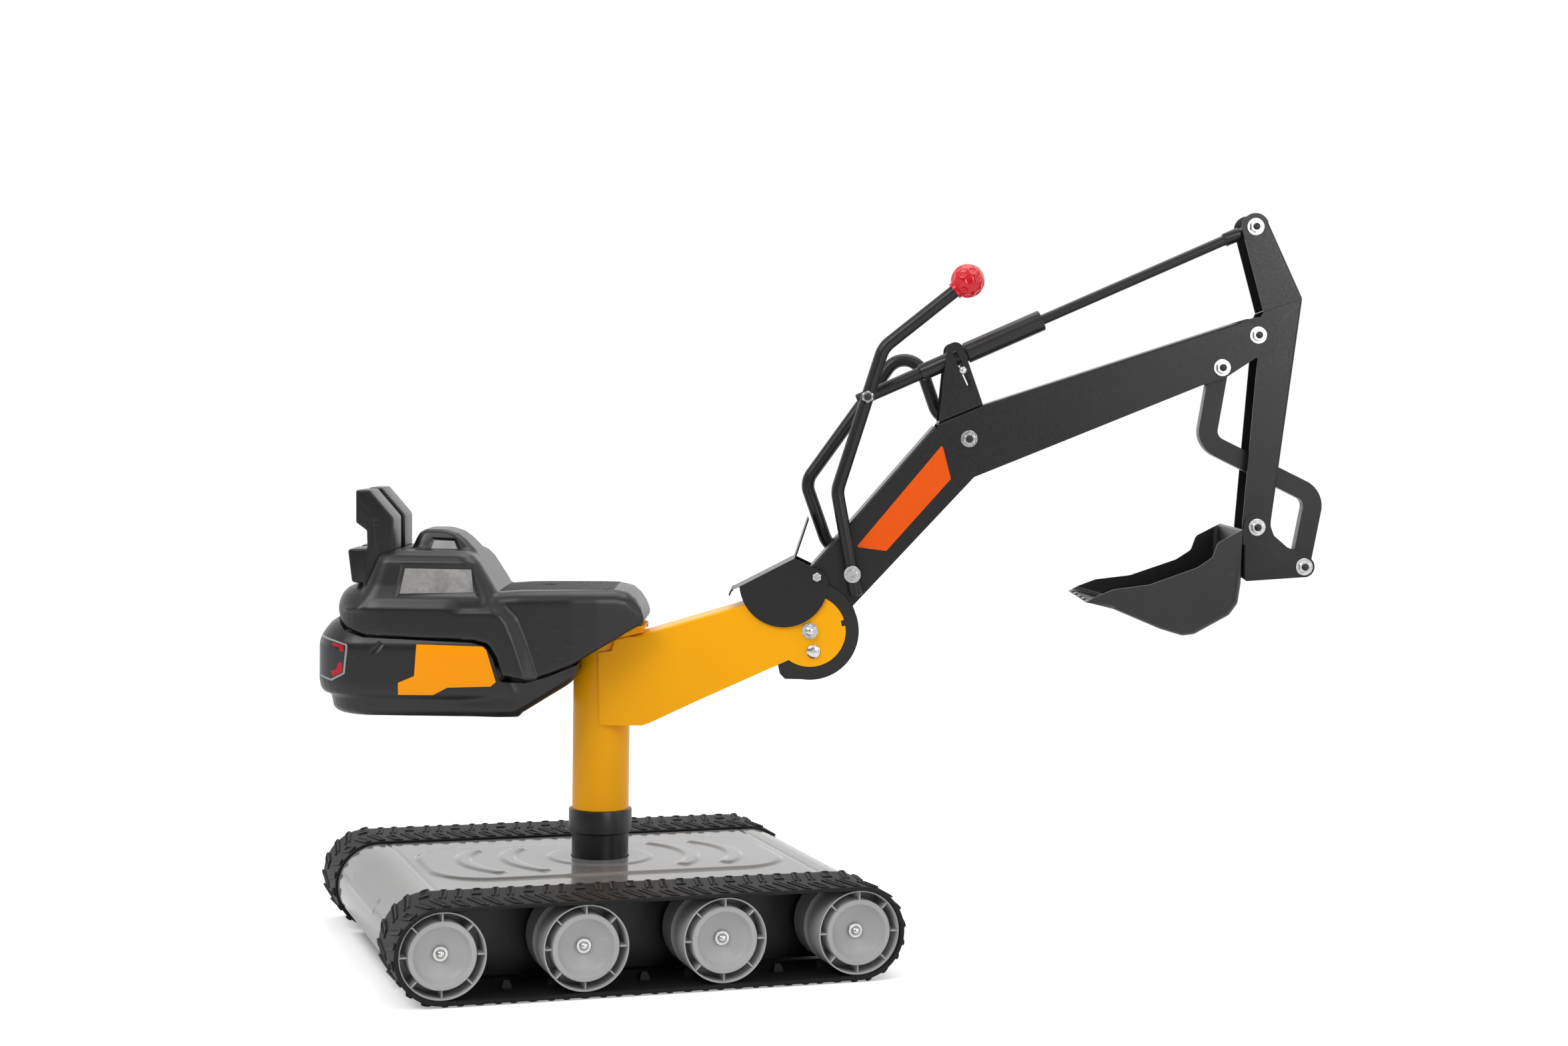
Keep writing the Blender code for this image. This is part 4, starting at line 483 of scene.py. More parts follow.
# %% Joining and cutting
def boolean(target, tool, operation):
    """One exact Boolean; the tool is used up."""
    for obj in (target, tool):
        scene.collection.objects.link(obj)
    modifier = target.modifiers.new("boolean", 'BOOLEAN')
    modifier.operation = operation
    modifier.object = tool
    modifier.solver = 'EXACT'
    result = plain(target)
    bpy.data.objects.remove(tool)
    return result


def carve(target, *tools):
    """Cuts the tools out of the target."""
    for tool in tools:
        target = boolean(target, tool, 'DIFFERENCE')
    return target


def weld(target, *others):
    """Fuses solids into one."""
    for other in others:
        target = boolean(target, other, 'UNION')
    return target


def together(pieces):
    """Loose pieces in one mesh."""
    bm = bmesh.new()
    for piece in pieces:
        bm.from_mesh(piece.data)
        bpy.data.objects.remove(piece)
    return from_bmesh(bm)


def loft(sections):
    """A closed solid through closed sections with the same number of points."""
    bm = bmesh.new()
    rings = [[bm.verts.new(point) for point in section] for section in sections]
    for first, second in zip(rings, rings[1:]):
        for i in range(len(first)):
            j = (i + 1) % len(first)
            bm.faces.new((first[i], first[j], second[j], second[i]))
    bm.faces.new(rings[0])
    bm.faces.new(rings[-1])
    return from_bmesh(bm)


print("helpers", [helper.__name__ for helper in (carve, weld, together, loft)])

# %% [markdown]
# ## Rounding
# A rounding of every hard edge stands for the deburred, painted edge that catches the light. The
# normals of flat faces are then weighted by area, and edges that stayed sharp are marked, so
# that broad sheets look flat.

# %% Rounding
def eased(obj, width=0.35 * MM, segments=2, angle=38.0):
    """Rounds the hard edges and weights the normals, so flat faces stay flat."""
    bevel = obj.modifiers.new("edges", 'BEVEL')
    bevel.width = width
    bevel.segments = segments
    bevel.limit_method = 'ANGLE'
    bevel.angle_limit = radians(angle)
    bevel.use_clamp_overlap = True
    result = plain(obj)
    result.data.shade_smooth()
    result.data.set_sharp_from_angle(angle=radians(50))
    weighted = result.modifiers.new("normals", 'WEIGHTED_NORMAL')
    weighted.keep_sharp = True
    weighted.weight = 80
    return kept_normals(result)


def kept_normals(obj):
    """Applies the modifiers and keeps the weighted normals on the mesh."""
    scene.collection.objects.link(obj)
    bpy.context.view_layer.update()
    graph = bpy.context.evaluated_depsgraph_get()
    mesh = bpy.data.meshes.new_from_object(obj.evaluated_get(graph), depsgraph=graph)
    bpy.data.objects.remove(obj)
    return bpy.data.objects.new("piece", mesh)


# %% [markdown]
# ## Folded channels
# A channel has two equal side plates and a web along some edges of their outline. It is cut
# from a solid with rounded folds: the inside is the same outline, moved in by the sheet's
# thickness at the web and pushed out past the open edges.

# %% Folded channel
SHEET = 1.5 * MM
FOLD = 2.4 * MM
OPEN_EDGE = 3 * MM


def channel(outline, web, inner, outer, wall=SHEET):
    """Folded sheet: two side plates of one outline and a web along the edges named in web."""
    solid = slab(outline, -outer, outer)
    bm = bmesh.new()
    bm.from_mesh(solid.data)
    chosen = []
    for edge in bm.edges:
        a, b = (vert.co for vert in edge.verts)
        if abs(abs(a.y) - outer) > 1e-6 or abs(a.y - b.y) > 1e-6:
            continue
        for i in web:
            ends = (outline[i], outline[(i + 1) % len(outline)])
            for pair in ((a, b), (b, a)):
                if all(math.dist((p.x, p.z), end) < 1e-5 for p, end in zip(pair, ends)):
                    chosen.append(edge)
    bmesh.ops.bevel(bm, geom=chosen, offset=FOLD, segments=5, affect='EDGES', profile=0.5)
    bm.to_mesh(solid.data)
    bm.free()
    distances = [wall if i in web else -OPEN_EDGE for i in range(len(outline))]
    hollow = slab(moved_outline(outline, distances), -inner, inner)
    return carve(tidied(solid), hollow)


print("sheet", SHEET / MM, "mm, folds", FOLD / MM, "mm")

# %% [markdown]
# ## Surface effects
# Three small shader groups give only what varies: fine grain and its bump, slow changes of
# shade, and a few faint scuffs. A powder coat has orange peel, a moulded panel has an etched
# grain, and zinc plate has a cloudy look, so each finish sets its own scale and height.

# %% Shader groups
def effect(name, inputs, outputs):
    """An empty shader group with its sockets."""
    tree = bpy.data.node_groups.new(name, 'ShaderNodeTree')
    for label, value in inputs:
        socket = tree.interface.new_socket(label, in_out='INPUT', socket_type='NodeSocketFloat')
        socket.default_value = value
    for label, kind in outputs:
        tree.interface.new_socket(label, in_out='OUTPUT', socket_type=kind)
    return tree, wire(tree, "NodeGroupInput"), wire(tree, "NodeGroupOutput")


def object_noise(tree, scale, detail, stretch=(1, 1, 1)):
    """Noise in the piece's own coordinates, so it moves with the piece."""
    place = wire(tree, "ShaderNodeTexCoord")
    mapped = wire(tree, "ShaderNodeMapping", Vector=place.outputs["Object"], Scale=stretch)
    noise = wire(tree, "ShaderNodeTexNoise", Vector=mapped, Scale=scale, Detail=detail)
    return noise.outputs[0]


grain_group, given, result = effect("surface_grain",
                                    [("Grain Scale", 900.0), ("Grain Height", 0.0001)],
                                    [("Normal", 'NodeSocketVector'), ("Grain", 'NodeSocketFloat')])
fine = object_noise(grain_group, given.outputs["Grain Scale"], 3.0)
bump = wire(grain_group, "ShaderNodeBump", Height=fine, Distance=given.outputs["Grain Height"],
            Strength=0.9)
grain_group.links.new(bump.outputs[0], result.inputs["Normal"])
grain_group.links.new(fine, result.inputs["Grain"])

patch_group, given, result = effect("slow_patches", [("Patch Scale", 14.0)],
                                    [("Patch", 'NodeSocketFloat')])
slow = object_noise(patch_group, given.outputs["Patch Scale"], 2.0)
span = wire(patch_group, "ShaderNodeMapRange", Value=slow, From_Min=0.32, From_Max=0.68)
patch_group.links.new(span.outputs[0], result.inputs["Patch"])

scuff_group, given, result = effect("faint_scuffs", [("Scuff Amount", 0.5)],
                                    [("Scuff", 'NodeSocketFloat')])
streak = object_noise(scuff_group, 60.0, 5.0, (1.0, 1.0, 5.0))
cloud = object_noise(scuff_group, 22.0, 2.0)
lines = wire(scuff_group, "ShaderNodeMapRange", Value=streak, From_Min=0.60, From_Max=0.72)
zones = wire(scuff_group, "ShaderNodeMapRange", Value=cloud, From_Min=0.50, From_Max=0.66)
both = maths(scuff_group, 'MULTIPLY', lines, zones)
some = maths(scuff_group, 'MULTIPLY', both, given.outputs["Scuff Amount"])
scuff_group.links.new(some.outputs[0], result.inputs["Scuff"])
print("shader groups", [group.name for group in (grain_group, patch_group, scuff_group)])

# %% [markdown]
# ## Finishes
# One material for each slot of the record. The colour drifts between two close shades, the
# roughness follows the grain and the scuffs, and the plain constants sit on the Principled
# shader itself.

# %% A finish
def grouped(tree, group, **values):
    """Places a shader group with its own values."""
    node = wire(tree, "ShaderNodeGroup", {"node_tree": group})
    for label, value in values.items():
        node.inputs[label.replace("_", " ")].default_value = value
    return node


def mixed(tree, share, first, second):
    """Two colours mixed by a share."""
    node = wire(tree, "ShaderNodeMix", {"data_type": 'RGBA'}, {0: share, 6: first, 7: second})
    return node.outputs[2]


def finish(name, colour, deeper, rough, grain, height, patch=14.0, scuff=0.35, scuffed=None,
           **constants):
    """A finish: two close shades, a roughness range, and grain given by scale and height."""
    material = bpy.data.materials.new(name)
    material.use_nodes = True
    tree = material.node_tree
    tree.nodes.clear()
    grains = grouped(tree, grain_group, Grain_Scale=grain, Grain_Height=height)
    patches = grouped(tree, patch_group, Patch_Scale=patch)
    scuffs = grouped(tree, scuff_group, Scuff_Amount=scuff)
    shade = mixed(tree, patches, (*colour, 1), (*deeper, 1))
    worn = scuffed or tuple(min(1.0, value * 1.25 + 0.02) for value in colour)
    shade = mixed(tree, scuffs, shade, (*worn, 1))
    sheen = wire(tree, "ShaderNodeMapRange", Value=grains.outputs["Grain"], From_Min=0.3,
                 From_Max=0.7, To_Min=rough[0], To_Max=rough[1])
    rougher = maths(tree, 'MULTIPLY_ADD', scuffs, 0.25, sheen)
    shader = wire(tree, "ShaderNodeBsdfPrincipled", Base_Color=shade, Roughness=rougher,
                  Normal=grains.outputs["Normal"], **constants)
    wire(tree, "ShaderNodeOutputMaterial", Surface=shader)
    return material


# %% [markdown]
# ## The paints, plastics and films
# The black steel has a coarse orange peel, the plastics a fine etched grain, the zinc a cloudy
# look. The films are the coloured panels stuck on the boom and the seat.

# %% All finishes
finishes = {
    "yellow_paint": finish("yellow_powder_coat", (1.0, 0.435, 0.0), (0.975, 0.42, 0.0),
                           (0.28, 0.36), 420.0, 1.5e-5, scuff=0.1, Specular_IOR_Level=0.16),
    "black_steel": finish("black_powder_coat", (0.012, 0.012, 0.0125), (0.009, 0.009, 0.0095),
                          (0.28, 0.38), 520.0, 4e-5, scuffed=(0.03, 0.03, 0.03),
                          Specular_IOR_Level=0.38),
    "black_plastic": finish("black_moulded_plastic", (0.010, 0.010, 0.0105),
                            (0.0075, 0.0075, 0.008), (0.28, 0.38),
                            1500.0, 4e-5, scuff=0.55, scuffed=(0.03, 0.03, 0.03),
                            Specular_IOR_Level=0.46),
    "grey_plastic": finish("grey_moulded_plastic", (0.42, 0.42, 0.42), (0.38, 0.38, 0.385),
                           (0.38, 0.50), 1300.0, 3e-5),
    "deck_paint": finish("grey_gloss_powder_coat", (0.18, 0.177, 0.174), (0.168, 0.165, 0.162),
                         (0.07, 0.13), 240.0, 2.5e-5, scuff=0.5, scuffed=(0.22, 0.217, 0.213),
                         Specular_IOR_Level=0.32),
    "belt_rubber": finish("belt_rubber", (0.009, 0.009, 0.0095), (0.0065, 0.0065, 0.007),
                          (0.5, 0.66), 1100.0, 6e-5, scuff=0.6, scuffed=(0.026, 0.025, 0.024),
                          Specular_IOR_Level=0.22),
    "zinc": finish("zinc_plate", (0.72, 0.72, 0.71), (0.58, 0.58, 0.58), (0.18, 0.32), 700.0, 2e-5,
                   patch=120.0, Metallic=1.0),
    "red_plastic": finish("red_gloss_plastic", (0.64, 0.004, 0.018), (0.56, 0.003, 0.013),
                          (0.12, 0.20), 900.0, 1e-5, scuff=0.15, Specular_IOR_Level=0.4,
                          Coat_Weight=0.2, Coat_Roughness=0.05),
}
orange_film = finish("orange_film", (0.98, 0.335, 0.0), (0.96, 0.32, 0.0), (0.26, 0.34), 1800.0,
                     6e-6, scuff=0.15, Specular_IOR_Level=0.16)
red_orange_film = finish("red_orange_film", (0.86, 0.108, 0.003), (0.84, 0.10, 0.003), (0.26, 0.34),
                         1800.0, 6e-6, Specular_IOR_Level=0.16)
silver_film = finish("brushed_silver_film", (0.36, 0.35, 0.34), (0.27, 0.265, 0.26), (0.30, 0.46),
                     260.0, 1.5e-5, patch=45.0, Metallic=0.55)
lamp_red = finish("lamp_red", (0.44, 0.008, 0.02), (0.38, 0.006, 0.016), (0.2, 0.3), 1500.0, 1e-5,
                  Specular_IOR_Level=0.3)
lamp_grey = finish("lamp_frame_grey", (0.30, 0.30, 0.30), (0.26, 0.26, 0.26), (0.34, 0.44), 1500.0,
                   1e-5)
lamp_dark = finish("lamp_dark", (0.016, 0.017, 0.020), (0.012, 0.012, 0.014), (0.16, 0.24), 1500.0,
                   1e-5)
films = (orange_film, red_orange_film, silver_film, lamp_red, lamp_grey, lamp_dark)
print(len(finishes), "finishes,", len(films), "films")

# %% [markdown]
# ## Handing a piece over
# Every finished piece is named, painted and hung on its CAD body, and the CAD nodes it stands
# for are hidden. Here each CAD node gets its own piece, so none keeps its plain CAD mesh.

# %% Hand over a piece
made_pieces = {}


def made(piece, name, body, slot, *nodes, material=None, sharp=None):
    """Names, paints and hands over a piece; sharp marks the edges past that angle."""
    piece.name = piece.data.name = name
    piece.data.materials.clear()
    piece.data.materials.append(material or finishes[slot])
    if piece.name not in scene.collection.objects:
        scene.collection.objects.link(piece)
    if sharp is not None:
        piece.data.shade_smooth()
        piece.data.set_sharp_from_angle(angle=radians(sharp))
    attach(piece, body)
    for node in nodes:
        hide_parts(node)
    faces = sum(len(polygon.vertices) - 2 for polygon in piece.data.polygons)
    made_pieces[name] = faces
    print(f"{name}: {faces} triangles")
    return piece


def copied(piece, matrix=None):
    """A copy with a mesh of its own."""
    copy = bpy.data.objects.new("piece", piece.data.copy())
    return moved(copy, matrix) if matrix else copy


print("slots", list(finishes))

# %% [markdown]
# ## Repeating and sweeping with Geometry Nodes
# Four small node trees do the work that repeats. One sweeps a round section along a bent path,
# one sets copies round a circle, one sets copies along a closed loop, and one fills a flat
# field with small bumps. Every tree ends by making the copies real and giving them their
# material, and the finished mesh is kept without the modifier.

# %% Tree helpers
def geometry_tree(name, inputs):
    """An empty geometry tree with its named inputs."""
    tree = bpy.data.node_groups.new(name, 'GeometryNodeTree')
    tree.interface.new_socket("Geometry", in_out='INPUT', socket_type='NodeSocketGeometry')
    for label, kind in inputs:
        tree.interface.new_socket(label, in_out='INPUT', socket_type=kind)
    tree.interface.new_socket("Geometry", in_out='OUTPUT', socket_type='NodeSocketGeometry')
    return tree, wire(tree, "NodeGroupInput"), wire(tree, "NodeGroupOutput")


def end_tree(tree, given, result, geometry):
    """Makes copies real and gives them their material."""
    real = wire(tree, "GeometryNodeRealizeInstances", Geometry=geometry)
    coated = wire(tree, "GeometryNodeSetMaterial", Geometry=real,
                  Material=given.outputs["Material"])
    tree.links.new(coated.outputs[0], result.inputs[0])


def grow(tree, mesh, **values):
    """Runs a tree on a mesh and keeps the result as a plain piece."""
    obj = bpy.data.objects.new("seed", mesh)
    scene.collection.objects.link(obj)
    modifier = obj.modifiers.new("grow", 'NODES')
    modifier.node_group = tree
    sockets = {item.name: item.identifier for item in tree.interface.items_tree
               if item.in_out == 'INPUT'}
    for label, value in values.items():
        modifier[sockets[label.replace("_", " ")]] = value
    return plain(obj)


def path_mesh(points, closed=False):
    """A line of edges for a tree to follow."""
    mesh = bpy.data.meshes.new("path")
    last = len(points) - 1
    edges = [(i, i + 1) for i in range(last)] + ([(last, 0)] if closed else [])
    mesh.from_pydata([tuple(p) for p in points], edges, [])
    return mesh


# %% [markdown]
# ### Sweeping a tube
# The path's corners are filleted to the bend radius of the tube, and a circle is swept along it.

# %% Tube tree
F, I, M, O = 'NodeSocketFloat', 'NodeSocketInt', 'NodeSocketMaterial', 'NodeSocketObject'
tube_tree, given, result = geometry_tree("tube_along_path",
                                         [("Radius", F), ("Bend", F), ("Material", M)])
path = wire(tube_tree, "GeometryNodeMeshToCurve", Mesh=given.outputs["Geometry"])
bent = wire(tube_tree, "GeometryNodeFilletCurve", {"mode": 'POLY'}, Curve=path,
            Radius=given.outputs["Bend"], Count=14)
section = wire(tube_tree, "GeometryNodeCurvePrimitiveCircle", Resolution=40,
               Radius=given.outputs["Radius"])
swept = wire(tube_tree, "GeometryNodeCurveToMesh", Curve=bent,
             Profile_Curve=section, Fill_Caps=True)
smooth = wire(tube_tree, "GeometryNodeSetShadeSmooth", Geometry=swept)
end_tree(tube_tree, given, result, smooth)
print("tube tree", len(tube_tree.nodes), "nodes")

# %% [markdown]
# ### Copies round an axle
# The points of a tiny circle only count the copies: they are all moved to the middle, and each
# copy is turned by its share of a full turn.

# %% Round tree
round_tree, given, result = geometry_tree("copies_round_axle", [("Count", I), ("Material", M)])
circle = wire(round_tree, "GeometryNodeMeshCircle", Vertices=given.outputs["Count"], Radius=0.001)
index = wire(round_tree, "GeometryNodeInputIndex")
part = maths(round_tree, 'DIVIDE', index, given.outputs["Count"])
angle = maths(round_tree, 'MULTIPLY', part, math.tau)
turn = wire(round_tree, "ShaderNodeCombineXYZ", Y=angle)
centred = wire(round_tree, "GeometryNodeSetPosition", Geometry=circle, Position=(0.0, 0.0, 0.0))
copies = wire(round_tree, "GeometryNodeInstanceOnPoints", Points=centred,
              Instance=given.outputs["Geometry"], Rotation=turn)
end_tree(round_tree, given, result, copies)
print("round tree", len(round_tree.nodes), "nodes")

# %% [markdown]
# ### Copies along a loop
# Each copy finds its place on the loop by its share of the length, and lies along the tangent.

# %% Loop tree
loop_tree, given, result = geometry_tree("copies_along_loop",
                                         [("Loop", O), ("Count", I), ("Shift", F), ("Material", M)])
track = wire(loop_tree, "GeometryNodeObjectInfo", Object=given.outputs["Loop"])
line = wire(loop_tree, "GeometryNodeMeshToCurve", Mesh=track.outputs["Geometry"])
spots = wire(loop_tree, "GeometryNodePoints", Count=given.outputs["Count"])
index = wire(loop_tree, "GeometryNodeInputIndex")
moved_on = maths(loop_tree, 'ADD', index, given.outputs["Shift"])
share = maths(loop_tree, 'DIVIDE', moved_on, given.outputs["Count"])
wrapped = maths(loop_tree, 'FRACT', share)
sampled = wire(loop_tree, "GeometryNodeSampleCurve", {"mode": 'FACTOR', "use_all_curves": True},
               Curves=line, Factor=wrapped)
onto = wire(loop_tree, "GeometryNodeSetPosition", Geometry=spots,
            Position=sampled.outputs["Position"])
facing = wire(loop_tree, "FunctionNodeAxesToRotation", {"primary_axis": 'X', "secondary_axis": 'Y'},
              slots={0: sampled.outputs["Tangent"], 1: (0.0, 1.0, 0.0)})
copies = wire(loop_tree, "GeometryNodeInstanceOnPoints", Points=onto,
              Instance=given.outputs["Geometry"], Rotation=facing)
end_tree(loop_tree, given, result, copies)
print("loop tree", len(loop_tree.nodes), "nodes")

# %% [markdown]
# ### A field of bumps
# A grid of points, one for each pitch, carries one bump each.

# %% Field tree
field_tree, given, result = geometry_tree("field_of_bumps",
                                          [("Length", F), ("Width", F), ("Pitch", F),
                                           ("Material", M)])
across = maths(field_tree, 'DIVIDE', given.outputs["Length"], given.outputs["Pitch"])
along = maths(field_tree, 'DIVIDE', given.outputs["Width"], given.outputs["Pitch"])
sheet = wire(field_tree, "GeometryNodeMeshGrid", Size_X=given.outputs["Length"],
             Size_Y=given.outputs["Width"], Vertices_X=across,
             Vertices_Y=along)
copies = wire(field_tree, "GeometryNodeInstanceOnPoints", Points=sheet,
              Instance=given.outputs["Geometry"])
end_tree(field_tree, given, result, copies)
print("field tree", len(field_tree.nodes), "nodes")

# %% [markdown]
# ## Chassis
# The base is a long steel tray: a folded sheet with round ends and open underneath, held up by
# four axles. It stands turned under the seat, so it is drawn straight and turned at the end.

# %% Chassis frame
HUB = 45.7 * MM
WHEEL_STEP = 131.4 * MM
AXLES = [WHEEL_STEP * (1.5 - i) for i in range(4)]
BASE = Matrix.Translation(SLEW) @ Matrix.Rotation(BASE_TURN, 4, 'Z')
BOLT, BOLT_HOLE = 3.0 * MM, 3.6 * MM
THROUGH = 40 * MM
SIDES = (("right", -1), ("left", 1))
POST_WELL = 28.8 * MM


def end_arcs(radius, lowest):
    """A flat top with round ends about the end axles."""
    right = arc((AXLES[0], HUB), radius, lowest, 90.0, 4.0)
    return right + [(-x, z) for x, z in right[::-1]]


outline = end_arcs(40.0 * MM, -76.0)
frame_piece = channel(outline, range(len(outline) - 1), 126.5 * MM, 128.5 * MM, 2.0 * MM)
axle_holes = [hole((x, HUB), 4.6 * MM, 150 * MM) for x in AXLES]
well = bar(POST_WELL, (0, 0, 60 * MM), (0, 0, 95 * MM), 64)
frame_piece = eased(carve(frame_piece, together(axle_holes), well))
made(moved(frame_piece, BASE), "pressed_chassis", "base", "black_steel", "chassis_frame")

# %% [markdown]
# ## Deck
# The grey deck is a pressing. A fine grid follows one height function: a raised panel, a ring
# round the post, curved ridges on both sides and crease lines near the ends. The press rounds
# every step, so each step is a smooth ramp. Each feature tells how far inside it a place lies.

# %% Heights of the deck
DECK_TOP = 87.5 * MM
DECK_HALF, DECK_END = 131.0 * MM, AXLES[0]


def ramp(distance, width):
    """0 outside, 1 inside, smooth over the width of the step; distance is positive inside."""
    t = min(max(distance / width + 0.5, 0.0), 1.0)
    return t * t * (3 - 2 * t)


def inside_frame(x, y, half_length, half_width, corner):
    """Distance inside a rounded rectangle."""
    dx, dy = abs(x) - (half_length - corner), abs(y) - (half_width - corner)
    outside = math.hypot(max(dx, 0.0), max(dy, 0.0))
    return corner - (outside if outside > 0 else max(dx, dy))


def ridge(x, y, centre, radius, half_width, half_angle):
    """Distance inside a curved ridge with round ends, about an arc facing +X."""
    px, py = x - centre, y
    angle = math.atan2(py, px)
    limit = min(max(angle, -half_angle), half_angle)
    return half_width - math.hypot(px - radius * cos(limit), py - radius * sin(limit))


def deck_height(x, y):
    """Height of the pressing above its edge, in plan about the post."""
    height = 2.0 * MM * ramp(inside_frame(x, y, 176 * MM, 86 * MM, 55 * MM), 5 * MM)
    radius = math.hypot(x, y)
    height += 1.3 * MM * ramp(51.0 * MM - radius, 4 * MM)
    side = abs(x)
    for centre in (0.0, 44.0 * MM):
        inside = ridge(side, y, centre, 91 * MM, 7.0 * MM, radians(39))
        height += 1.7 * MM * ramp(inside, 4 * MM)
    height -= 0.7 * MM * ramp(1.4 * MM - abs(side - 187 * MM), 2.2 * MM)
    return height


def deck_point(along, y, lift):
    """A place on the deck: flat in the middle, bent down round each end."""
    side = 1.0 if along >= 0 else -1.0
    reach = abs(along)
    radius = DECK_TOP - HUB + lift
    if reach <= DECK_END:
        return Vector((along, y, HUB + radius))
    angle = (reach - DECK_END) / (DECK_TOP - HUB)
    return Vector((side * (DECK_END + radius * sin(angle)), y, HUB + radius * cos(angle)))


def end_ridge(along, y):
    """Two low ribs pressed across the curved end."""
    reach = abs(along) - DECK_END
    inside = 74 * MM - abs(y)
    height = 0.0
    for middle in (40 * MM, 50 * MM):
        height += 0.9 * MM * ramp(min(inside, 2.2 * MM - abs(reach - middle)), 2.4 * MM)
    return height


print("deck is", round(deck_height(0.0, 0.0) / MM, 2), "mm higher at the post")

# %% [markdown]
# ### Deck mesh
# The grid is bent down round the end axles as it is made, once for the top and once for the
# underside, and the open borders are closed between the two.

# %% Deck mesh
BEND = (DECK_TOP - HUB) * radians(112)
COLUMNS, ROWS = 300, 130
columns = [-DECK_END - BEND + (2 * (DECK_END + BEND)) * i / COLUMNS for i in range(COLUMNS + 1)]
rows = [-DECK_HALF + 2 * DECK_HALF * j / ROWS for j in range(ROWS + 1)]
bm = bmesh.new()
layers = []
for depth in (0.0, -SHEET):
    layers.append([[bm.verts.new(deck_point(a, y, deck_height(a, y) + end_ridge(a, y) + depth))
                    for y in rows] for a in columns])
for grid in layers:
    for first, second in zip(grid, grid[1:]):
        for j in range(ROWS):
            bm.faces.new((first[j], first[j + 1], second[j + 1], second[j]))
borders = [(grid[0], grid[-1], [c[0] for c in grid], [c[-1] for c in grid]) for grid in layers]
for line_top, line_under in zip(*borders):
    for j in range(len(line_top) - 1):
        bm.faces.new((line_top[j], line_top[j + 1], line_under[j + 1], line_under[j]))
deck = carve(from_bmesh(bm), bar(POST_WELL, (0, 0, 80 * MM), (0, 0, 95 * MM), 72))
made(moved(deck, BASE), "pressed_deck", "base", "deck_paint", "deck_plate", sharp=40)

# %% [markdown]
# ## Post
# A black turned post stands in the middle of the tray, its flange welded underneath. The
# yellow column turns on the thinner spigot above it.

# %% Pivot post
POST_TOP = HUB + 69.7 * MM
flange = HUB + 37.7 * MM
post = lathe([(0.0, POST_TOP + 74 * MM), (24.0 * MM, POST_TOP + 74 * MM),
              (25.5 * MM, POST_TOP + 72.5 * MM), (25.5 * MM, POST_TOP), (27.4 * MM, POST_TOP),
              (28.0 * MM, POST_TOP - 0.6 * MM), (28.0 * MM, flange), (44.4 * MM, flange),
              (45.0 * MM, flange - 0.6 * MM), (45.0 * MM, flange - 4 * MM),
              (0.0, flange - 4 * MM)], 96)
made(moved(post, BASE), "turned_post", "base", "black_steel", "pivot_post", sharp=30)

# %% [markdown]
# ## Nuts, washers and bolts
# Every screwed joint is drawn about Z and then turned to the side of the arm that it stands on.
# Nut, washers and rod of one joint are one solid; the black dome on each lock nut is apart.

# %% Nuts and bolts
PLAY = 0.3 * MM


def hexagon(radius, low, high, chamfer=0.6 * MM):
    """A hexagonal nut about Z: turned on its outer corners, flat on its six sides."""
    bm = bmesh.new()
    bmesh.ops.create_cone(bm, cap_ends=True, segments=6, radius1=radius, radius2=radius,
                          depth=high - low, matrix=Matrix.Translation((0, 0, (low + high) / 2)))
    nut = from_bmesh(bm)
    flat = radius * cos(pi / 6)
    turned_blank = lathe([(0.0, high), (flat * 0.99, high), (radius, high - chamfer),
                          (radius, low), (0.0, low)], 36)
    return boolean(nut, turned_blank, 'INTERSECT')


def dome(radius, base, height, rings=5, sides=28):
    """A round-topped disc on a base height, about Z."""
    profile = [(0.0, base + height)]
    for i in range(1, rings + 1):
        angle = pi / 2 * i / rings
        profile.append((radius * sin(angle), base + height * cos(angle)))
    return lathe(profile + [(radius, base - 0.3 * MM), (0.0, base - 0.3 * MM)], sides)


def disc(radius, low, high, sides=40):
    """A flat disc about Z with a small chamfer on top."""
    edge = 0.3 * MM
    return lathe([(0.0, high), (radius - edge, high), (radius, high - edge), (radius, low),
                  (0.0, low)], sides)


def cross_cut(head, reach, half_width, low, high):
    """Cuts the cross for a screwdriver into a head; sizes in millimetres."""
    long_side, short_side, depth = mm((-reach, reach), (-half_width, half_width), (low, high))
    return carve(head, block(long_side, short_side, depth), block(short_side, long_side, depth))


print("nuts lie", PLAY / MM, "mm off the sheet")

# %% [markdown]
# ### Complete bolts
# The head on the right may have a socket for a key; every other end has a nut.

# %% Complete bolts
def to_side(solid, face, sign, spot):
    """Turns a part drawn about Z so that it stands out of one side of the arm at a spot."""
    matrix = Matrix.Translation((spot.x, spot.y + sign * face, spot.z))
    return moved(solid, matrix @ Matrix.Rotation(-sign * pi / 2, 4, 'X'))


def bolt(spot, near, far, washer=8.3 * MM, across=5.9 * MM, spacers=(), recess=0.0):
    """A screwed joint along Y: washer and nut on each side, and black domes on the nuts."""
    thick, nut_height = sizes(1.4, 4.8)
    black_domes = []
    parts = [bar(BOLT, (spot.x, spot.y + near - 1 * MM, spot.z),
                 (spot.x, spot.y + far + 1 * MM, spot.z), 28)]
    parts += [bar(radius, (spot.x, spot.y + start, spot.z), (spot.x, spot.y + end, spot.z), 36)
              for start, end, radius in spacers]
    for sign, face in ((-1, -near), (1, far)):
        lift = face + PLAY
        if washer:
            parts.append(to_side(disc(washer, 0.0, thick), lift, sign, spot))
            lift += thick
        head = hexagon(across, 0.0, nut_height)
        if recess and sign < 0:
            head = carve(head, bar(recess, (0, 0, 1.6 * MM), (0, 0, 9 * MM), 24))
        parts.append(to_side(head, lift, sign, spot))
        # A black dome on each nut that has no socket.
        if not (recess and sign < 0):
            black_domes.append(to_side(dome(3.6 * MM, nut_height, 2.3 * MM), lift, sign, spot))
    return weld(*parts), weld(*black_domes)


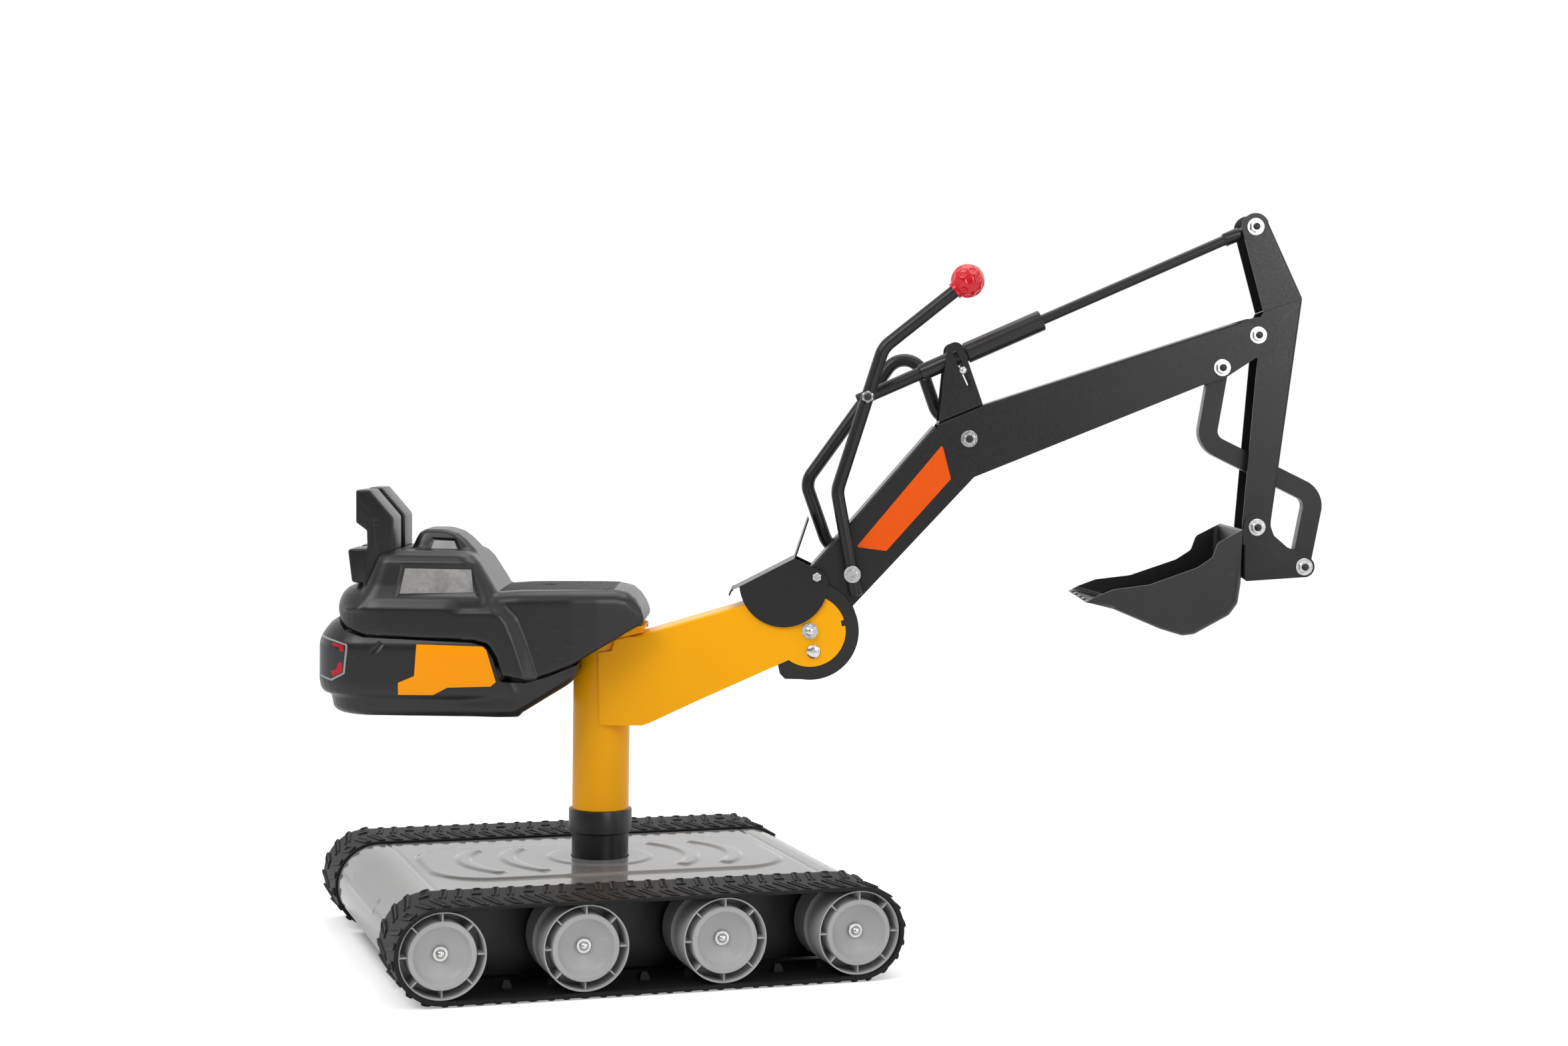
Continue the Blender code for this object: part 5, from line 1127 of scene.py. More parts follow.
print("bolt", 2 * BOLT / MM, "mm, hole", 2 * BOLT_HOLE / MM, "mm")

# %% [markdown]
# ## Axles
# Each axle is a steel rod through the tray, with a spacer on each side and a domed cap in the
# middle of each wheel.

# %% Axles
WHEEL_INNER = 137.5 * MM
WHEEL_OUTER = WHEEL_INNER + 74 * MM
WHEEL_MIDDLE = (WHEEL_INNER + WHEEL_OUTER) / 2
for number, x in enumerate(AXLES, 1):
    ends = WHEEL_MIDDLE + 24.6 * MM
    parts = [bar(4.0 * MM, (x, -ends, HUB), (x, ends, HUB), 32)]
    for sign in (-1, 1):
        parts.append(bar(9.0 * MM, (x, sign * 128.8 * MM, HUB),
                         (x, sign * (WHEEL_INNER - PLAY), HUB), 32))
        cap = weld(disc(*sizes(6.9, 0.0, 1.6)), dome(*sizes(4.6, 1.5, 4.6)))
        parts.append(to_side(cap, ends, sign, Vector((x, 0, HUB))))
    made(moved(weld(*parts), BASE), f"axle_rod_{number}", "base", "zinc", f"axle_{number}",
         sharp=30)

# %% [markdown]
# ## Wheels
# Each wheel is a moulding: a deep dished face with thin ribs between the rim and an inner ring,
# and a groove round the tread that takes the belt's teeth. One is made, then copied.

# %% Wheels
DISH_WIDTH, DISH_DEPTH, DISH_FLOOR = 19.0, 9.4, 33.6
dish = [(DISH_WIDTH * sin(radians(a)) * 1.32 * MM,
         (DISH_FLOOR - DISH_DEPTH * cos(radians(a))) * MM) for a in range(24, 84, 6)]
middle = mm((4.6, 24.2), (8.4, 24.2), (9.2, 24.7))
ring_and_gap = mm((25.9, 34.6), (26.7, 35.6), (30.6, 35.6), (31.2, 35.0), (31.2, 9.0), (38.0, 9.0))
rim = mm((38.5, 36.4), (38.9, 37.0), (39.5, 37.0), (39.9, 36.6), (39.9, 7.4), (39.3, 6.8))
belt_groove = mm((31.5, 6.8), (31.5, -6.8))
back = mm((39.3, -6.8), (39.9, -7.4), (39.9, -36.4), (39.3, -37.0), (4.6, -37.0))
body = lathe(middle + dish + ring_and_gap + rim + belt_groove + back, 84, ring=True)
body = moved(body, Matrix.Rotation(pi / 2, 4, 'X'))
rib = eased(block(*mm((30.9, 38.6), (-35.6, -8.4), (-0.65, 0.65))), 0.25 * MM)
ribs = grow(round_tree, rib.data, Count=8, Material=finishes["grey_plastic"])
wheel = weld(body, ribs)
wheel.data.shade_smooth()
wheel.data.set_sharp_from_angle(angle=radians(32))
for side, sign in SIDES:
    for number, x in enumerate(AXLES, 1):
        place = BASE @ Matrix.Translation((x, sign * WHEEL_MIDDLE, HUB))
        if sign > 0:
            place = place @ Matrix.Rotation(pi, 4, 'Z')
        made(copied(wheel, place), f"moulded_wheel_{side}_{number}", f"wheel_{side}_{number}",
             "grey_plastic", f"wheel_{side}_{number}")
bpy.data.objects.remove(wheel)

# %% [markdown]
# ## Belts
# The belt is a rubber loop, thicker than it looks, with teeth inside and raised treads outside.
# Each pitch carries two long looped treads and one short one on each half of the belt, and the
# two halves are half a pitch apart. The treads repeat along the loop, so a node tree sets them.

# %% Belt body
INNER, OUTER = 40.2 * MM, 44.2 * MM
BELT_HALF = 40.5 * MM
BELT_EDGE = 0.9 * MM


def loop_line(radius):
    """The belt's line at a distance from the hubs, in short steps."""
    right = arc((AXLES[0], HUB), radius, 90, -90, 4.0)
    left = arc((AXLES[-1], HUB), radius, -90, -270, 4.0)
    line = []
    for first, second in zip(right + left, (right + left)[1:] + right[:1]):
        steps = max(1, round(math.dist(first, second) / (8 * MM)))
        line += [(first[0] + (second[0] - first[0]) * k / steps,
                  first[1] + (second[1] - first[1]) * k / steps) for k in range(steps)]
    return line


bm = bmesh.new()
rings = []
for half_width, push in ((-BELT_HALF, BELT_EDGE), (-BELT_HALF + BELT_EDGE, 0.0),
                         (BELT_HALF - BELT_EDGE, 0.0), (BELT_HALF, BELT_EDGE)):
    rings.append([[bm.verts.new((x, half_width, z)) for x, z in loop_line(radius)]
                  for radius in (OUTER - push, INNER + push * 0.5)])
pairs = [pair for near, far in zip(rings, rings[1:]) for pair in zip(near, far)]
for first, second in pairs + [rings[0], rings[-1]]:
    for i in range(len(first)):
        j = (i + 1) % len(first)
        bm.faces.new((first[i], first[j], second[j], second[i]))
carcass = from_bmesh(bm)
print("belt body", len(carcass.data.polygons), "faces")

# %% [markdown]
# ### Treads
# A tread is a rounded rubber bar with a groove along its middle, a little narrower on top, and
# slanted across the belt. The second half of the belt has the mirror image.

# %% One tread
TREAD_HEIGHT, TREAD_FOOT, GROOVE_FLOOR = sizes(1.75, 0.55, 0.75)


def tread(length, width, rim, start, hollow_to, slant, mirror):
    """One tread lying along Y: a rounded bar with a groove, as low as its rim is wide."""
    half = width / 2
    end = start + length
    outline = rounded_path([(-half, start), (half, start), (half, end), (-half, end)],
                           [0.8 * MM, 0.8 * MM, half * 0.98, half * 0.98], 22.0, closed=True)
    inner = half - rim
    groove = rounded_path([(-inner, hollow_to), (inner, hollow_to), (inner, end - rim),
                           (-inner, end - rim)],
                          [0.5 * MM, 0.5 * MM, inner * 0.98, inner * 0.98], 30.0, closed=True)
    solid = slab(outline, 0.0, TREAD_HEIGHT, lying=True)
    solid = carve(solid, slab(groove, GROOVE_FLOOR, 3 * MM, lying=True))
    for vert in solid.data.vertices:
        taper = 1.0 - 0.10 * max(vert.co.z, 0.0) / TREAD_HEIGHT
        vert.co.x = vert.co.x * taper + math.tan(radians(slant)) * vert.co.y
        if mirror:
            vert.co.y *= -1
        vert.co.z -= TREAD_FOOT
    return tidied(solid)


print("tread stands", (TREAD_HEIGHT - TREAD_FOOT) / MM, "mm proud")

# %% [markdown]
# ### Treads and teeth along the loop
# The loop tree sets the treads along the outside and the teeth along the inside of the belt.

# %% Complete belts
PITCHES, TEETH = 22, 24


def loop_object(name, radius):
    """A line that the loop tree can follow."""
    line = path_mesh([(x, 0.0, z) for x, z in loop_line(radius)], closed=True)
    obj = bpy.data.objects.new(name, line)
    scene.collection.objects.link(obj)
    return obj


outer_loop = loop_object("loop", OUTER)
length = 2 * (AXLES[0] - AXLES[-1]) + math.tau * OUTER
pitch = length / PITCHES
rubber = finishes["belt_rubber"]
pieces = []
for mirror in (False, True):
    half_shift = 0.5 if mirror else 0.0
    for reach, start, width, hollow_to, along in mm((36.5, 2.5, 7.0, -9.0, 0.0),
                                                    (36.5, 2.5, 7.0, -9.0, 14.0),
                                                    (26.0, 12.5, 10.0, 15.0, 31.0)):
        one = tread(reach, width, 2.0 * MM, start, hollow_to, 12.0, mirror)
        pieces.append(grow(loop_tree, one.data, Loop=outer_loop, Count=PITCHES,
                           Shift=half_shift + along / pitch, Material=rubber))
tooth = loft([[(x * s * MM, y * s * MM, z * MM)
               for x, y in ((-5, -5.5), (5, -5.5), (5, 5.5), (-5, 5.5))]
              for s, z in ((1.0, 1.0), (0.92, -3.0), (0.5, -8.0))])
inner_loop = loop_object("inner_loop", INNER)
teeth = grow(loop_tree, eased(tooth, 0.5 * MM).data, Loop=inner_loop, Count=TEETH, Shift=0.5,
             Material=rubber)
belt = together([carcass, teeth] + pieces)
for helper in (outer_loop, inner_loop):
    bpy.data.objects.remove(helper)
belt.data.shade_smooth()
belt.data.set_sharp_from_angle(angle=radians(35))
for side, sign in SIDES:
    place = BASE @ Matrix.Translation((0, sign * WHEEL_MIDDLE, 0))
    made(copied(belt, place), f"rubber_belt_{side}", "base", "belt_rubber", f"track_{side}")
bpy.data.objects.remove(belt)

# %% [markdown]
# ## Column and collar
# The column is a plain steel tube in the same yellow as the arm. A black moulded collar at its
# foot is the bearing on the post.

# %% Column and collar
column = lathe(mm((26.0, 319.7), (27.7, 319.7), (28.0, 319.4), (28.0, 117.3), (27.7, 117.0),
                  (26.0, 117.0)), 96, ring=True)
made(moved(column, SLEW), "yellow_column", "upper", "yellow_paint", "column", sharp=30)
collar = lathe(mm((28.3, 138.7), (30.0, 138.7), (30.9, 138.2), (31.2, 137.4), (31.2, 116.4),
                  (30.6, 115.7), (25.8, 115.7), (25.8, 116.7), (28.3, 116.7)), 96, ring=True)
made(moved(collar, SLEW), "bearing_ring", "upper", "black_plastic", "bearing_collar", sharp=30)

# %% [markdown]
# ## Arm
# A folded channel runs from the column to the main pivot. Its two sides clasp the tube, its
# top is bent along four lines, and its front end is a half disc with a small notch that locks
# the black guard.

# %% Arm
ARM_IN, ARM_OUT = 28.3 * MM, 30.0 * MM
radius = 35.1 * MM
top = mm((-70.0, 23.2), (-109.6, 11.0), (-156.3, -3.5), (-176.0, -8.34), (-190.1, -11.8))
start = tangent_angle(top[0], (0, 0), radius, -1)
notch = math.degrees(3.0 * MM / radius)
rim = arc((0, 0), radius, -125, 14 - notch, 4)
rim += arc((0, 0), radius - 3.4 * MM, 14 - notch, 14 + notch)
rim += arc((0, 0), radius, 14 + notch, start, 4)
web_end = (-54.6 * MM, top[0][1] + 15.4 * MM * math.tan(radians(17.1)))
back = rounded_path(mm((-193.2, -22.3), (-206.2, -24.4), (-204.2, -95.1), (-162.6, -95.1),
                       (-155.3, -92.4), (-108.6, -69.9)), sizes(0, 2, 3, 0, 6, 0))
outline = rim + [web_end] + top + back
first = len(rim)
arm = channel(outline, range(first, first + 4), ARM_IN, ARM_OUT, 1.7 * MM)
arm = carve(arm, hole((0, 0), BOLT_HOLE, THROUGH), hole((3.7 * MM, -20 * MM), 2.8 * MM, THROUGH))
made(moved(eased(arm), MAIN), "folded_arm", "upper", "yellow_paint", "arm")

# %% [markdown]
# ## Pivot guard
# Black moulded discs fill the gap between the arm and the boom, so no finger gets into the
# joint. A rim runs round the arm's end and a lip closes the gap below the boom.

# %% Pivot guard
GUARD_IN, GUARD_OUT, GUARD_RADIUS = 26.6 * MM, 28.0 * MM, 47.9 * MM
foot = rounded_path(mm((-23.6, -47.3), (-28.6, -42.3), (-30.6, -34.2), (-30.0, 0.0)), 2.5 * MM)
outline = arc((0, 0), GUARD_RADIUS, 104, -98, 3) + foot + arc((0, 0), 30.0 * MM, 180, 104, 5)
guard = slab(outline[::-1], -ARM_OUT, ARM_OUT)
lip = arc((0, 0), 44.0 * MM, -25, -118, 4)
far = 90.0 * MM
middle = lip + [(-far, lip[-1][1]), (-far, far), (far, far), (far, -far * math.tan(radians(25)))]
guard = carve(guard, slab(middle[::-1], -GUARD_IN, GUARD_IN))
inner = 35.5 * MM
nub = math.degrees(3.0 * MM / radius) * 0.86
bed = arc((0, 0), inner, -124.4, 14 - nub, 4) + arc((0, 0), inner - 3.1 * MM, 14 - nub, 14 + nub)
bed += arc((0, 0), inner, 14 + nub, 104, 4)
bed += [(0.25 * -far, far), (-far, far), (-far, -34.2 * MM - 0.252 * far),
        (-30.7 * MM, -34.15 * MM)]
for sign in (-1, 1):
    low, high = sorted((sign * GUARD_OUT, sign * ARM_OUT * 1.2))
    guard = carve(guard, slab(bed, low, high))
guard = carve(guard, hole((0, 0), BOLT_HOLE, 60 * MM),
              hole((3.7 * MM, -20 * MM), 2.8 * MM, 60 * MM))
made(moved(eased(guard, 0.5 * MM), MAIN), "moulded_pivot_guard", "upper", "black_plastic",
     "pivot_guard")

# %% [markdown]
# ### Main pivot and guard screws
# The main pivot has domed nuts on both sides. One cross-head screw on each side holds the guard.

# %% Main pivot and guard screws
face = ARM_OUT + PLAY
parts = [bar(BOLT, (0, -face - 1 * MM, 0), (0, face + 1 * MM, 0), 28)]
for sign in (-1, 1):
    nut = weld(disc(*sizes(8.0, 0.0, 1.3)), hexagon(*sizes(6.9, 1.0, 5.4, 0.9)),
               dome(*sizes(4.4, 5.2, 2.2)))
    parts.append(to_side(nut, face, sign, Vector((0, 0, 0))))
made(moved(weld(*parts), MAIN), "main_pivot_nut", "upper", "zinc", "main_pivot_bolt", sharp=28)
for name, sign in SIDES:
    head = weld(dome(6.8 * MM, 0.6 * MM, 2.5 * MM, 6, 40), disc(*sizes(6.8, 0.0, 0.8)))
    head = cross_cut(head, 2.6, 0.5, 1.6, 5)
    screw = weld(head, disc(2.5 * MM, -3.3 * MM, 0.3 * MM, 24))
    screw = to_side(screw, face, sign, MAIN + Vector((3.7 * MM, 0, -20 * MM)))
    made(screw, f"guard_screw_head_{name}", "upper", "zinc", f"guard_screw_{name}", sharp=28)

# %% [markdown]
# ## Seat bracket
# A yellow plate on top of the column carries the seat; its two side flanges show under the
# front of the seat.

# %% Seat bracket
plate = slab(lying_frame(*sizes(-70, 44, 35, 8)), 320.0 * MM, 322.0 * MM, lying=True)
outline = rounded_path(mm((-10.0, 320.8), (-10.0, 309.0), (13.5, 308.9), (28.6, 312.3),
                          (44.0, 316.2), (44.0, 320.8)), sizes(0, 2, 6, 6, 2.5, 0))
flanges = [slab(outline, y, y + 1.5 * MM) for y in (28.6 * MM, -30.1 * MM)]
made(moved(eased(weld(plate, *flanges)), SLEW), "seat_bracket", "upper", "yellow_paint",
     "seat_plate")

# %% [markdown]
# ## Boom
# The boom is two folded channels, one inside the other, bolted at the knee. The lower one
# opens upwards round the main pivot, and the upper one reaches to the dipper.

# %% Lower boom
BOOM_IN, BOOM_OUT = 24.8 * MM, 26.3 * MM
UPPER_IN, UPPER_OUT = 23.0 * MM, 24.5 * MM
top_left, elbow = mm((-0.4, 61.3), (41.9, 25.0))
start = tangent_angle(top_left, (0, 0), 24 * MM, 1)
end = tangent_angle(elbow, (0, 0), 24 * MM, -1)
corners = [elbow] + mm((158.9, 153.2), (162.4, 156.7), (161.5, 162.7), (118.7, 201.2))
outline = [top_left] + arc((0, 0), 24 * MM, start, 360 + end, 4)
outline += rounded_path(corners, sizes(0, 2.5, 3, 3, 0))
lower = channel(outline, [len(outline) - 1], BOOM_IN, BOOM_OUT)
lever_spot, knee_spot = LEVER - MAIN, Vector((152.6, 0.0, 189.4)) * MM
guard_spot = Vector((0.1146, 0.0, 0.9934)) * (GUARD_RADIUS + 5.4 * MM)
lower = carve(lower, *[hole(spot, BOLT_HOLE, THROUGH) for spot in ((0, 0), lever_spot, guard_spot)])
made(moved(eased(lower), MAIN), "lower_boom", "boom", "black_steel", "boom_lower")

# %% [markdown]
# ### Upper boom
# The upper channel opens downwards. Its sides end in a round lug for the curved link and in the
# round tip that carries the dipper.

# %% Upper boom
tip, lug = (tuple((joint - MAIN).xz) for joint in (TIP, LINK))
under = (378.7 * MM, 244.7 * MM)
outline = rounded_path(mm((122.4, 203.9), (112.0, 173.0), (128.0, 139.5), (160.0, 153.0),
                          (206.7, 172.5)),
                       sizes(0, 5, 5, 0, 0))
outline += [under] + arc(lug, 10 * MM, tangent_angle(under, lug, 10 * MM, 1), -56, 8)
outline += arc(tip, 17.5 * MM, -56, 104, 4) + mm((411.0, 305.9), (166.7, 222.8))
count = len(outline)
upper_boom = channel(outline, [count - 2, count - 1], UPPER_IN, UPPER_OUT)
upper_boom = carve(upper_boom, *[hole(spot, BOLT_HOLE, THROUGH) for spot in (tip, lug, knee_spot)])
made(moved(eased(upper_boom), MAIN), "upper_boom", "boom", "black_steel", "boom_upper")

# %% [markdown]
# ## Slot bracket
# A small folded bracket stands on the boom with a slanted slot on each side. A bolt in the slot
# is the stop for the push rod.

# %% Slot bracket and stop bolt
foot_left, foot_right = Vector((122.4, 203.9)) * MM, Vector((166.7, 222.8)) * MM
lift = Vector(edge_normal(foot_left, foot_right)) * 0.3 * MM
inwards = (foot_right - foot_left).normalized() * 1.0 * MM
left, right_end = foot_left + lift + inwards, foot_right + lift - inwards
crown = (137.7 * MM, 274.7 * MM)
outline = [tuple(left), tuple(right_end)]
outline += arc(crown, 8.5 * MM, tangent_angle(right_end, crown, 8.5 * MM, 1),
               tangent_angle(left, crown, 8.5 * MM, -1) + 360, 5)
bracket = channel(outline, [0], UPPER_IN, UPPER_OUT)
slot_top, slot_foot = Vector((137.6, 272.4)) * MM, Vector((151.7, 242.7)) * MM
heading = math.degrees(math.atan2(slot_foot.y - slot_top.y, slot_foot.x - slot_top.x))
slot = arc(slot_top, 2.3 * MM, heading + 90, heading + 270, 10)
slot += arc(slot_foot, 2.3 * MM, heading - 90, heading + 90, 10)
bracket = carve(bracket, slab(slot, -THROUGH, THROUGH))
made(moved(eased(bracket, 0.3 * MM), MAIN), "slot_bracket_sheet", "boom", "black_steel",
     "slot_bracket")
stop_low, stop_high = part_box("stop_bolt")
stop = (stop_low + stop_high) / 2
stop.y = 0.0
shaft = bar(1.9 * MM, (stop.x, -UPPER_OUT - 1 * MM, stop.z),
            (stop.x, UPPER_OUT + 5.4 * MM, stop.z), 24)
head = weld(disc(*sizes(4.0, 0.0, 0.7)), dome(*sizes(3.9, 0.6, 2.6)))
head = to_side(head, UPPER_OUT + PLAY, -1, stop)
nut = to_side(hexagon(*sizes(4.0, 0.0, 3.2)), UPPER_OUT + PLAY, 1, stop)
made(weld(shaft, head, nut), "stop_screw", "boom", "zinc", "stop_bolt", sharp=28)

# %% [markdown]
# ## Hood
# A bent black sheet covers the joint of arm and boom: two half discs hang down its sides, and a
# flap stands up in front.

# %% Hood
HOOD_IN, HOOD_OUT = 31.0 * MM, 32.5 * MM
hook, bend, shoulder = mm((-77.7, 38.3), (-16.0, 70.7), (11.8, 57.8))
outline = [hook] + arc((-26.1 * MM, 46.7 * MM), 43.3 * MM, 186, 366, 4) + [shoulder, bend]
hood = channel(outline, [len(outline) - 1], HOOD_IN, HOOD_OUT)
half = HOOD_IN - 1.0 * MM
flap = slab(band(mm((-15.8, 69.2), (-2.9, 109.0)), 0.75 * MM), -half, half)
flap = carve(flap, *[block((-4.5 * MM, 2 * MM), sorted((s * (half - 3 * MM), s * (half + 1 * MM))),
                           (106.5 * MM, 112 * MM)) for s in (-1, 1)])
curl = rounded_path(mm((-75.4, 39.4), (-77.2, 38.0), (-79.2, 33.4)), 1.5 * MM)
curl = slab(band(curl, 0.75 * MM), -half, half)
hood = carve(weld(hood, flap, curl), hole(guard_spot, BOLT_HOLE, THROUGH))
made(moved(eased(hood), MAIN), "bent_hood", "boom", "black_steel", "guard_hood")
spot = MAIN + guard_spot
parts = [bar(BOLT, spot + Vector((0, -HOOD_OUT - 1 * MM, 0)),
             spot + Vector((0, HOOD_OUT + 1 * MM, 0)), 28)]
for sign in (-1, 1):
    low, high = sorted((sign * (HOOD_IN - PLAY), sign * (BOOM_OUT + PLAY)))
    parts.append(bar(4.5 * MM, spot + Vector((0, low, 0)), spot + Vector((0, high, 0)), 32))
    head = hexagon(*sizes(4.6, 0.0, 3.6))
    if sign < 0:
        head = cross_cut(head, 2.2, 0.45, 2.4, 6)
    parts.append(to_side(head, HOOD_OUT + PLAY, sign, spot))
made(weld(*parts), "hood_bolt", "boom", "zinc", "guard_bolt", sharp=28)

# %% [markdown]
# ## Grab handle and lever
# Both are bent from half-inch tube and powder coated black. The handle is on the rider's left,
# the lever with its red ball on the right, and one bolt goes through both.

# %% Bent tubes
TUBE, TUBE_PLANE = 6.35 * MM, 33.2 * MM
path = mm((46.6, 48.4), (15.2, 86.6), (-5.5, 143.4), (97.0, 289.0), (123.5, 216.0), (158.5, 184.0))
points = [MAIN + Vector((x, TUBE_PLANE, z)) for x, z in path]
handle = grow(tube_tree, path_mesh(points), Radius=TUBE, Bend=20 * MM,
              Material=finishes["black_steel"])
handle = carve(handle, *[hole(MAIN + spot, BOLT_HOLE, 10 * MM, TUBE_PLANE)
                         for spot in (lever_spot, knee_spot)])
made(eased(handle, 0.5 * MM, angle=50), "bent_grab_handle", "boom", "black_steel", "grab_handle")
path = mm((44.0, 37.8), (24.6, 137.2), (67.5, 276.7), (147.9, 342.2))
points = [MAIN + Vector((x, -TUBE_PLANE, z)) for x, z in path]
ball_centre = points[-1].copy()
heading = (ball_centre - points[-2]).normalized()
points[-1] = ball_centre - heading * 6.0 * MM
stick = grow(tube_tree, path_mesh(points), Radius=TUBE, Bend=26 * MM,
             Material=finishes["black_steel"])
up = (points[1] - points[0]).normalized()
sleeve = bar(6.75 * MM, points[0] + up * 4 * MM, points[0] + up * 28 * MM, 48)
stick = weld(stick, sleeve)
stick = carve(stick, *[hole(spot, BOLT_HOLE, 10 * MM, -TUBE_PLANE) for spot in (LEVER, ROD)])
made(eased(stick, 0.4 * MM, angle=50), "bent_lever", "lever", "black_steel", "lever_tube")
plug = lathe(mm((0.0, 2.8), (3.0, 2.8), (5.2, 2.6), (6.0, 2.0), (6.35, 1.2), (6.35, 0.3),
                (0.0, 0.3)), 40)
turn = (-up).to_track_quat('Z', 'Y').to_matrix().to_4x4()
made(moved(plug, Matrix.Translation(points[0]) @ turn), "lever_plug", "lever", "black_plastic",
     "lever_end_cap", sharp=30)

# %% [markdown]
# ## Lever ball
# The ball is dimpled like a golf ball, which gives a small hand some grip. The dimples are
# shallow bowls pressed into a finely divided sphere.

# %% Dimpled ball
BALL = 16.5 * MM
bm = bmesh.new()
bmesh.ops.create_icosphere(bm, subdivisions=6, radius=BALL)
dimples = []
for row, count in ((-66, 5), (-34, 9), (0, 11), (34, 9), (66, 5)):
    level_angle = radians(row)
    for i in range(count):
        turn_angle = math.tau * (i + 0.5 * (row % 68 == 0)) / count
        dimples.append(Vector((cos(level_angle) * cos(turn_angle),
                               cos(level_angle) * sin(turn_angle),
                               sin(level_angle))))
for vert in bm.verts:
    way = vert.co.normalized()
    near = max(way.dot(spot) for spot in dimples)
    apart = math.acos(min(near, 1.0)) * BALL
    vert.co -= way * 0.75 * MM * ramp(3.1 * MM - apart, 2.6 * MM)
turn = heading.to_track_quat('Z', 'Y').to_matrix().to_4x4()
ball = moved(from_bmesh(bm), Matrix.Translation(ball_centre) @ turn)
collar = bar(8.6 * MM, ball_centre - heading * 16.4 * MM, ball_centre - heading * 12 * MM, 48)
socket = bar(TUBE + PLAY, ball_centre - heading * 34 * MM, ball_centre - heading * 5.7 * MM, 48)
made(carve(weld(ball, collar), socket), "dimpled_ball", "lever", "red_plastic", "lever_ball",
     sharp=40)

# %% [markdown]
# ## Push rod
# A black-coated rod carries the lever's pull to the dipper's head. Its foot is thicker, a black
# plastic sleeve keeps fingers off the slot, and its far end is a screwed rod eye.

# %% Push rod, sleeve and rod eye
ROD_PLANE = -12.0 * MM
head_place = MAIN + (TIP - MAIN) + Vector((-4.5, 0.0, 105.1)) * MM
reach = (head_place - ROD).length
lie = Matrix.Translation(ROD + Vector((0, ROD_PLANE, 0)))
lie = lie @ Matrix.Rotation(-math.atan2((head_place - ROD).z, (head_place - ROD).x), 4, 'Y')
along_x = Matrix.Rotation(pi / 2, 4, 'Y')
rod_stop = reach - 31.8 * MM
rod = lathe([(0.0, rod_stop), (5.0 * MM, rod_stop)]
            + mm((5.0, 58.4), (6.4, 57.2), (6.4, -8.4), (5.6, -9.6), (4.2, -10.0), (0.0, -10.0)),
            48)
rod = carve(moved(rod, along_x), hole((0, 0), BOLT_HOLE, 10 * MM))
made(moved(rod, lie), "push_rod_bar", "push_rod_body", "black_steel", "push_rod", sharp=30)
sleeve = lathe(mm((5.3, 186.8), (9.4, 186.8), (10.25, 186.0), (10.25, 106.8), (9.5, 106.0),
                  (5.3, 106.0)), 64, ring=True)
made(moved(moved(sleeve, along_x), lie), "plastic_sleeve", "push_rod_body", "black_plastic",
     "rod_sleeve", sharp=30)
foot = lathe(mm((5.3, 105.7), (8.2, 105.7), (8.2, 59.0), (7.6, 57.6), (5.3, 57.6)), 64, ring=True)
made(moved(moved(foot, along_x), lie), "plastic_sleeve_foot", "push_rod_body", "black_plastic",
     "rod_sleeve_foot", sharp=30)
neck = reach - 6.9 * MM
socket = lathe([(0.0, neck), (4.9 * MM, neck), (4.9 * MM, rod_stop + 18.0 * MM),
                (6.5 * MM, rod_stop + 16.4 * MM),
                (6.5 * MM, rod_stop + 1.0 * MM), (5.9 * MM, rod_stop + 0.3 * MM),
                (0.0, rod_stop + 0.3 * MM)], 48)
eye = bar(9.8 * MM, (reach, -5.0 * MM, 0), (reach, 5.0 * MM, 0), 56)
end = eased(weld(moved(socket, along_x), eye), 0.5 * MM, angle=50)
end = carve(end, hole((reach, 0), 4.8 * MM, 10 * MM))
made(moved(end, lie), "rod_eye", "push_rod_body", "black_steel", "rod_end", sharp=32)

# %% [markdown]
# ## Dipper
# Two folded channels again: the upper one carries the rod eye between its cheeks, the lower one
# swings on the boom's tip and carries the bucket. A slot in its web lets the curved link pass.

# %% Dipper
DIP_IN, DIP_OUT = 20.8 * MM, 22.3 * MM
head_pin = tuple(Vector((-4.5, 105.1)) * MM)
seam_right, seam_left = mm((42.8, 36.4), (5.0, 22.6))
outline = [seam_left, seam_right]
outline += arc(head_pin, 13.3 * MM, 18, tangent_angle(seam_left, head_pin, 13.3 * MM, -1) + 360, 4)
cheek = channel(outline, [1], DIP_IN, DIP_OUT)
cheek = carve(cheek, hole(head_pin, BOLT_HOLE, THROUGH))
made(moved(eased(cheek), TIP), "upper_dipper", "dipper", "black_steel", "dipper_upper")
pin = tuple((BUCKET - TIP).xz)
neck = (0.3 * MM, -22.0 * MM)
outline = [(seam_right[0], seam_right[1] - PLAY), (seam_left[0], seam_left[1] - PLAY)]
outline += arc((0, 0), 16 * MM, 84, tangent_angle(neck, (0, 0), 16 * MM, -1), 4) + [neck]
outline += arc(pin, 14 * MM, tangent_angle(neck, pin, 14 * MM, 1), 368, 4)
lower_dipper = channel(outline, [len(outline) - 1], DIP_IN, DIP_OUT)
opening = rounded_path(mm((-9.5, -154), (9.5, -154), (9.5, -87), (-9.5, -87)), 4 * MM, 12,
                       closed=True)
opening = slab(opening, 0.0, 60 * MM)
opening = moved(opening, Matrix.Rotation(pi / 2, 4, 'Z') @ Matrix.Translation((0, -60 * MM, 0)))
lower_dipper = carve(lower_dipper, opening, *[hole(spot, BOLT_HOLE, THROUGH)
                                              for spot in ((0, 0), pin)])
made(moved(eased(lower_dipper), TIP), "lower_dipper", "dipper", "black_steel", "dipper_lower")

# %% [markdown]
# ## Curved link
# The black link between boom and bucket is a bar bent twice into an S.

